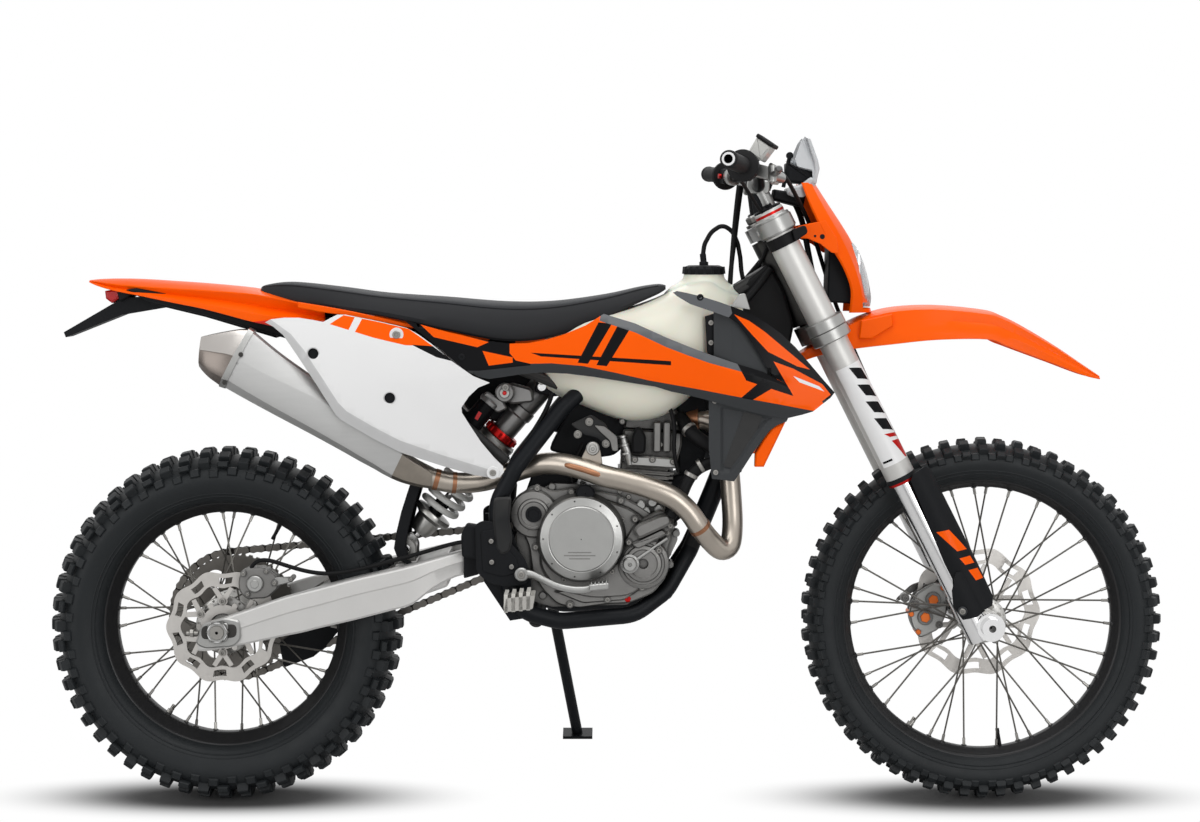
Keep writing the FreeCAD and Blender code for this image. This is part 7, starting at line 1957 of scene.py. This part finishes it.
keptFinishes = {"framePaint": ["main_frame", "subframe", "side_stand", "stand_bracket"],
    "blackPlastic": ["chain_guide", "throttle_body", "plate_bracket"],
    "sprocketSteel": ["front_sprocket", "rear_sprocket"],
    "chrome": ["front_axle", "rear_axle", "fork_inner_tubes"], "machinedAlloy": ["fork_clamps"],
    "castAlloy": ["crankcase", "ignition_cover"], "radiatorCore": ["radiators"],
    "barBlack": ["handlebar"], "gripRubber": ["grips"], "hoseRubber": ["tank_vent_hose"]}
for name, nodes in keptFinishes.items():
    for node in nodes:
        mesh = frame["nodes"][node].data
        mesh.materials.clear()
        mesh.materials.append(finishes[name])
print("frame dressed")


# Camera, floor and light

view = {"x": 752, "z": 1083, "away": 4300, "lens": 65.4, "shiftX": -0.00833, "shiftY": -0.1367}
camera = bpy.data.objects.new("camera", bpy.data.cameras.new("camera"))
camera.data.sensor_width = 36
camera.data.lens = view["lens"]
camera.data.shift_x = view["shiftX"]
camera.data.shift_y = view["shiftY"]
camera.data.clip_end = 60
cameraAt = park @ Vector((view["x"], -view["away"], view["z"]))
camera.matrix_world = Matrix.Translation(cameraAt) @ leanTurn @ Matrix.Rotation(math.pi / 2, 4, "X")
scene.collection.objects.link(camera)
scene.camera = camera
scene.view_settings.view_transform = "Standard"

# Floor sizes, and the shadow painted on the floor round each tyre
ground = {"reach": 9.0, "rings": 24, "steps": 64, "shadowLong": 0.54, "shadowWide": 0.115,
    "fadeFrom": 0.3, "dark": 0.12, "pale": 0.72}


def makeFloor():
    bm = bmesh.new()
    loops = [[bm.verts.new((ground["reach"] * ring / ground["rings"] * math.cos(a),
        ground["reach"] * ring / ground["rings"] * math.sin(a), 0))
        for a in around(ground["steps"])] for ring in range(1, ground["rings"] + 1)]
    bm.faces.new(loops[0])
    skin(bm, loops[::-1])
    mesh = bpy.data.meshes.new("floor")
    bm.to_mesh(mesh)
    bm.free()
    floor = bpy.data.objects.new("floor", mesh)
    scene.collection.objects.link(floor)
    material = bpy.data.materials.new("paleFloor")
    material.use_nodes = True
    tree = material.node_tree
    where = addNode(tree, "TexCoord").outputs["Object"]
    distances = []
    # how far a point is from each tyre's contact patch, for the shadow painted round it
    for x in (0, sizes["wheelbase"]):
        spot = park @ Vector((x, 0, 0))
        apart = addNode(tree, "VectorMath", {0: where, 1: (spot.x, spot.y, 0)},
            operation="SUBTRACT").outputs["Vector"]
        squash = addNode(tree, "VectorMath", {0: apart, 1: (1 / ground["shadowLong"],
            1 / ground["shadowWide"], 0)}, operation="MULTIPLY")
        distances.append(addNode(tree, "VectorMath", {0: squash.outputs["Vector"]},
            operation="LENGTH").outputs["Value"])
    nearest = addNode(tree, "Math", {0: distances[0], 1: distances[1]},
        operation="MINIMUM").outputs["Value"]
    fade = addNode(tree, "MapRange", {"Value": nearest, "From Min": ground["fadeFrom"],
        "From Max": 1.0}, interpolation_type="SMOOTHSTEP").outputs["Result"]
    shader = tree.nodes["Principled BSDF"]
    shader.inputs["Roughness"].default_value = 0.9
    # painted shadow: the floor's own colour is deep grey round each tyre and pale further out
    dark, pale = ((ground[key],) * 3 + (1,) for key in ("dark", "pale"))
    tree.links.new(blendOf(tree, fade, dark, pale), shader.inputs["Base Color"])
    ray = addNode(tree, "LightPath").outputs["Is Camera Ray"]
    seen = addNode(tree, "Math", {0: fade, 1: ray}, operation="MULTIPLY").outputs["Value"]
    glow = addNode(tree, "Emission", {"Color": (1, 1, 1, 1)}).outputs["Emission"]
    mix = addNode(tree, "MixShader", {"Fac": seen, 1: shader.outputs["BSDF"],
        2: glow}).outputs["Shader"]
    tree.links.new(mix, tree.nodes["Material Output"].inputs["Surface"])
    mesh.materials.append(material)


# A dim sky to light the machine, and plain white where it is seen, mirrored or looked at through
# glass
def makeWorld(strength):
    world = bpy.data.worlds.new("studio")
    scene.world = world
    world.use_nodes = True
    tree = world.node_tree
    fill = tree.nodes["Background"]
    fill.inputs["Color"].default_value = (1, 1, 1, 1)
    fill.inputs["Strength"].default_value = strength
    backdrop = addNode(tree, "Background", {"Color": (1, 1, 1, 1)}).outputs["Background"]
    rays = addNode(tree, "LightPath").outputs
    seen = addNode(tree, "Math", {0: rays["Is Camera Ray"], 1: rays["Is Transmission Ray"]},
        operation="MAXIMUM").outputs["Value"]
    clear = addNode(tree, "Math", {0: seen, 1: rays["Is Glossy Ray"]},
        operation="MAXIMUM").outputs["Value"]
    mix = addNode(tree, "MixShader", {"Fac": clear, 1: fill.outputs["Background"],
        2: backdrop}).outputs["Shader"]
    tree.links.new(mix, tree.nodes["World Output"].inputs["Surface"])


def softBox(name, spot, aim, wide, tall, power):
    lamp = bpy.data.lights.new(name, "AREA")
    lamp.shape = "RECTANGLE"
    lamp.size, lamp.size_y = wide, tall
    lamp.energy = power
    holder = bpy.data.objects.new(name, lamp)
    holder.location = spot
    holder.rotation_euler = (Vector(aim) - Vector(spot)).to_track_quat("-Z", "Y").to_euler()
    scene.collection.objects.link(holder)


makeFloor()
makeWorld(0.42)
softBox("overhead", (0.2, -0.6, 3.6), (0, -0.1, 0.5), 3.6, 2.2, 62)
softBox("frontSide", (1.9, -3.4, 1.9), (0.1, 0, 0.6), 1.6, 2.2, 34)
softBox("rearSide", (-2.6, -2.6, 1.6), (-0.2, 0, 0.6), 1.4, 2.2, 20)
softBox("behind", (0.3, 3.2, 2.2), (0, 0, 0.6), 3.0, 1.6, 20)
print("stage set")
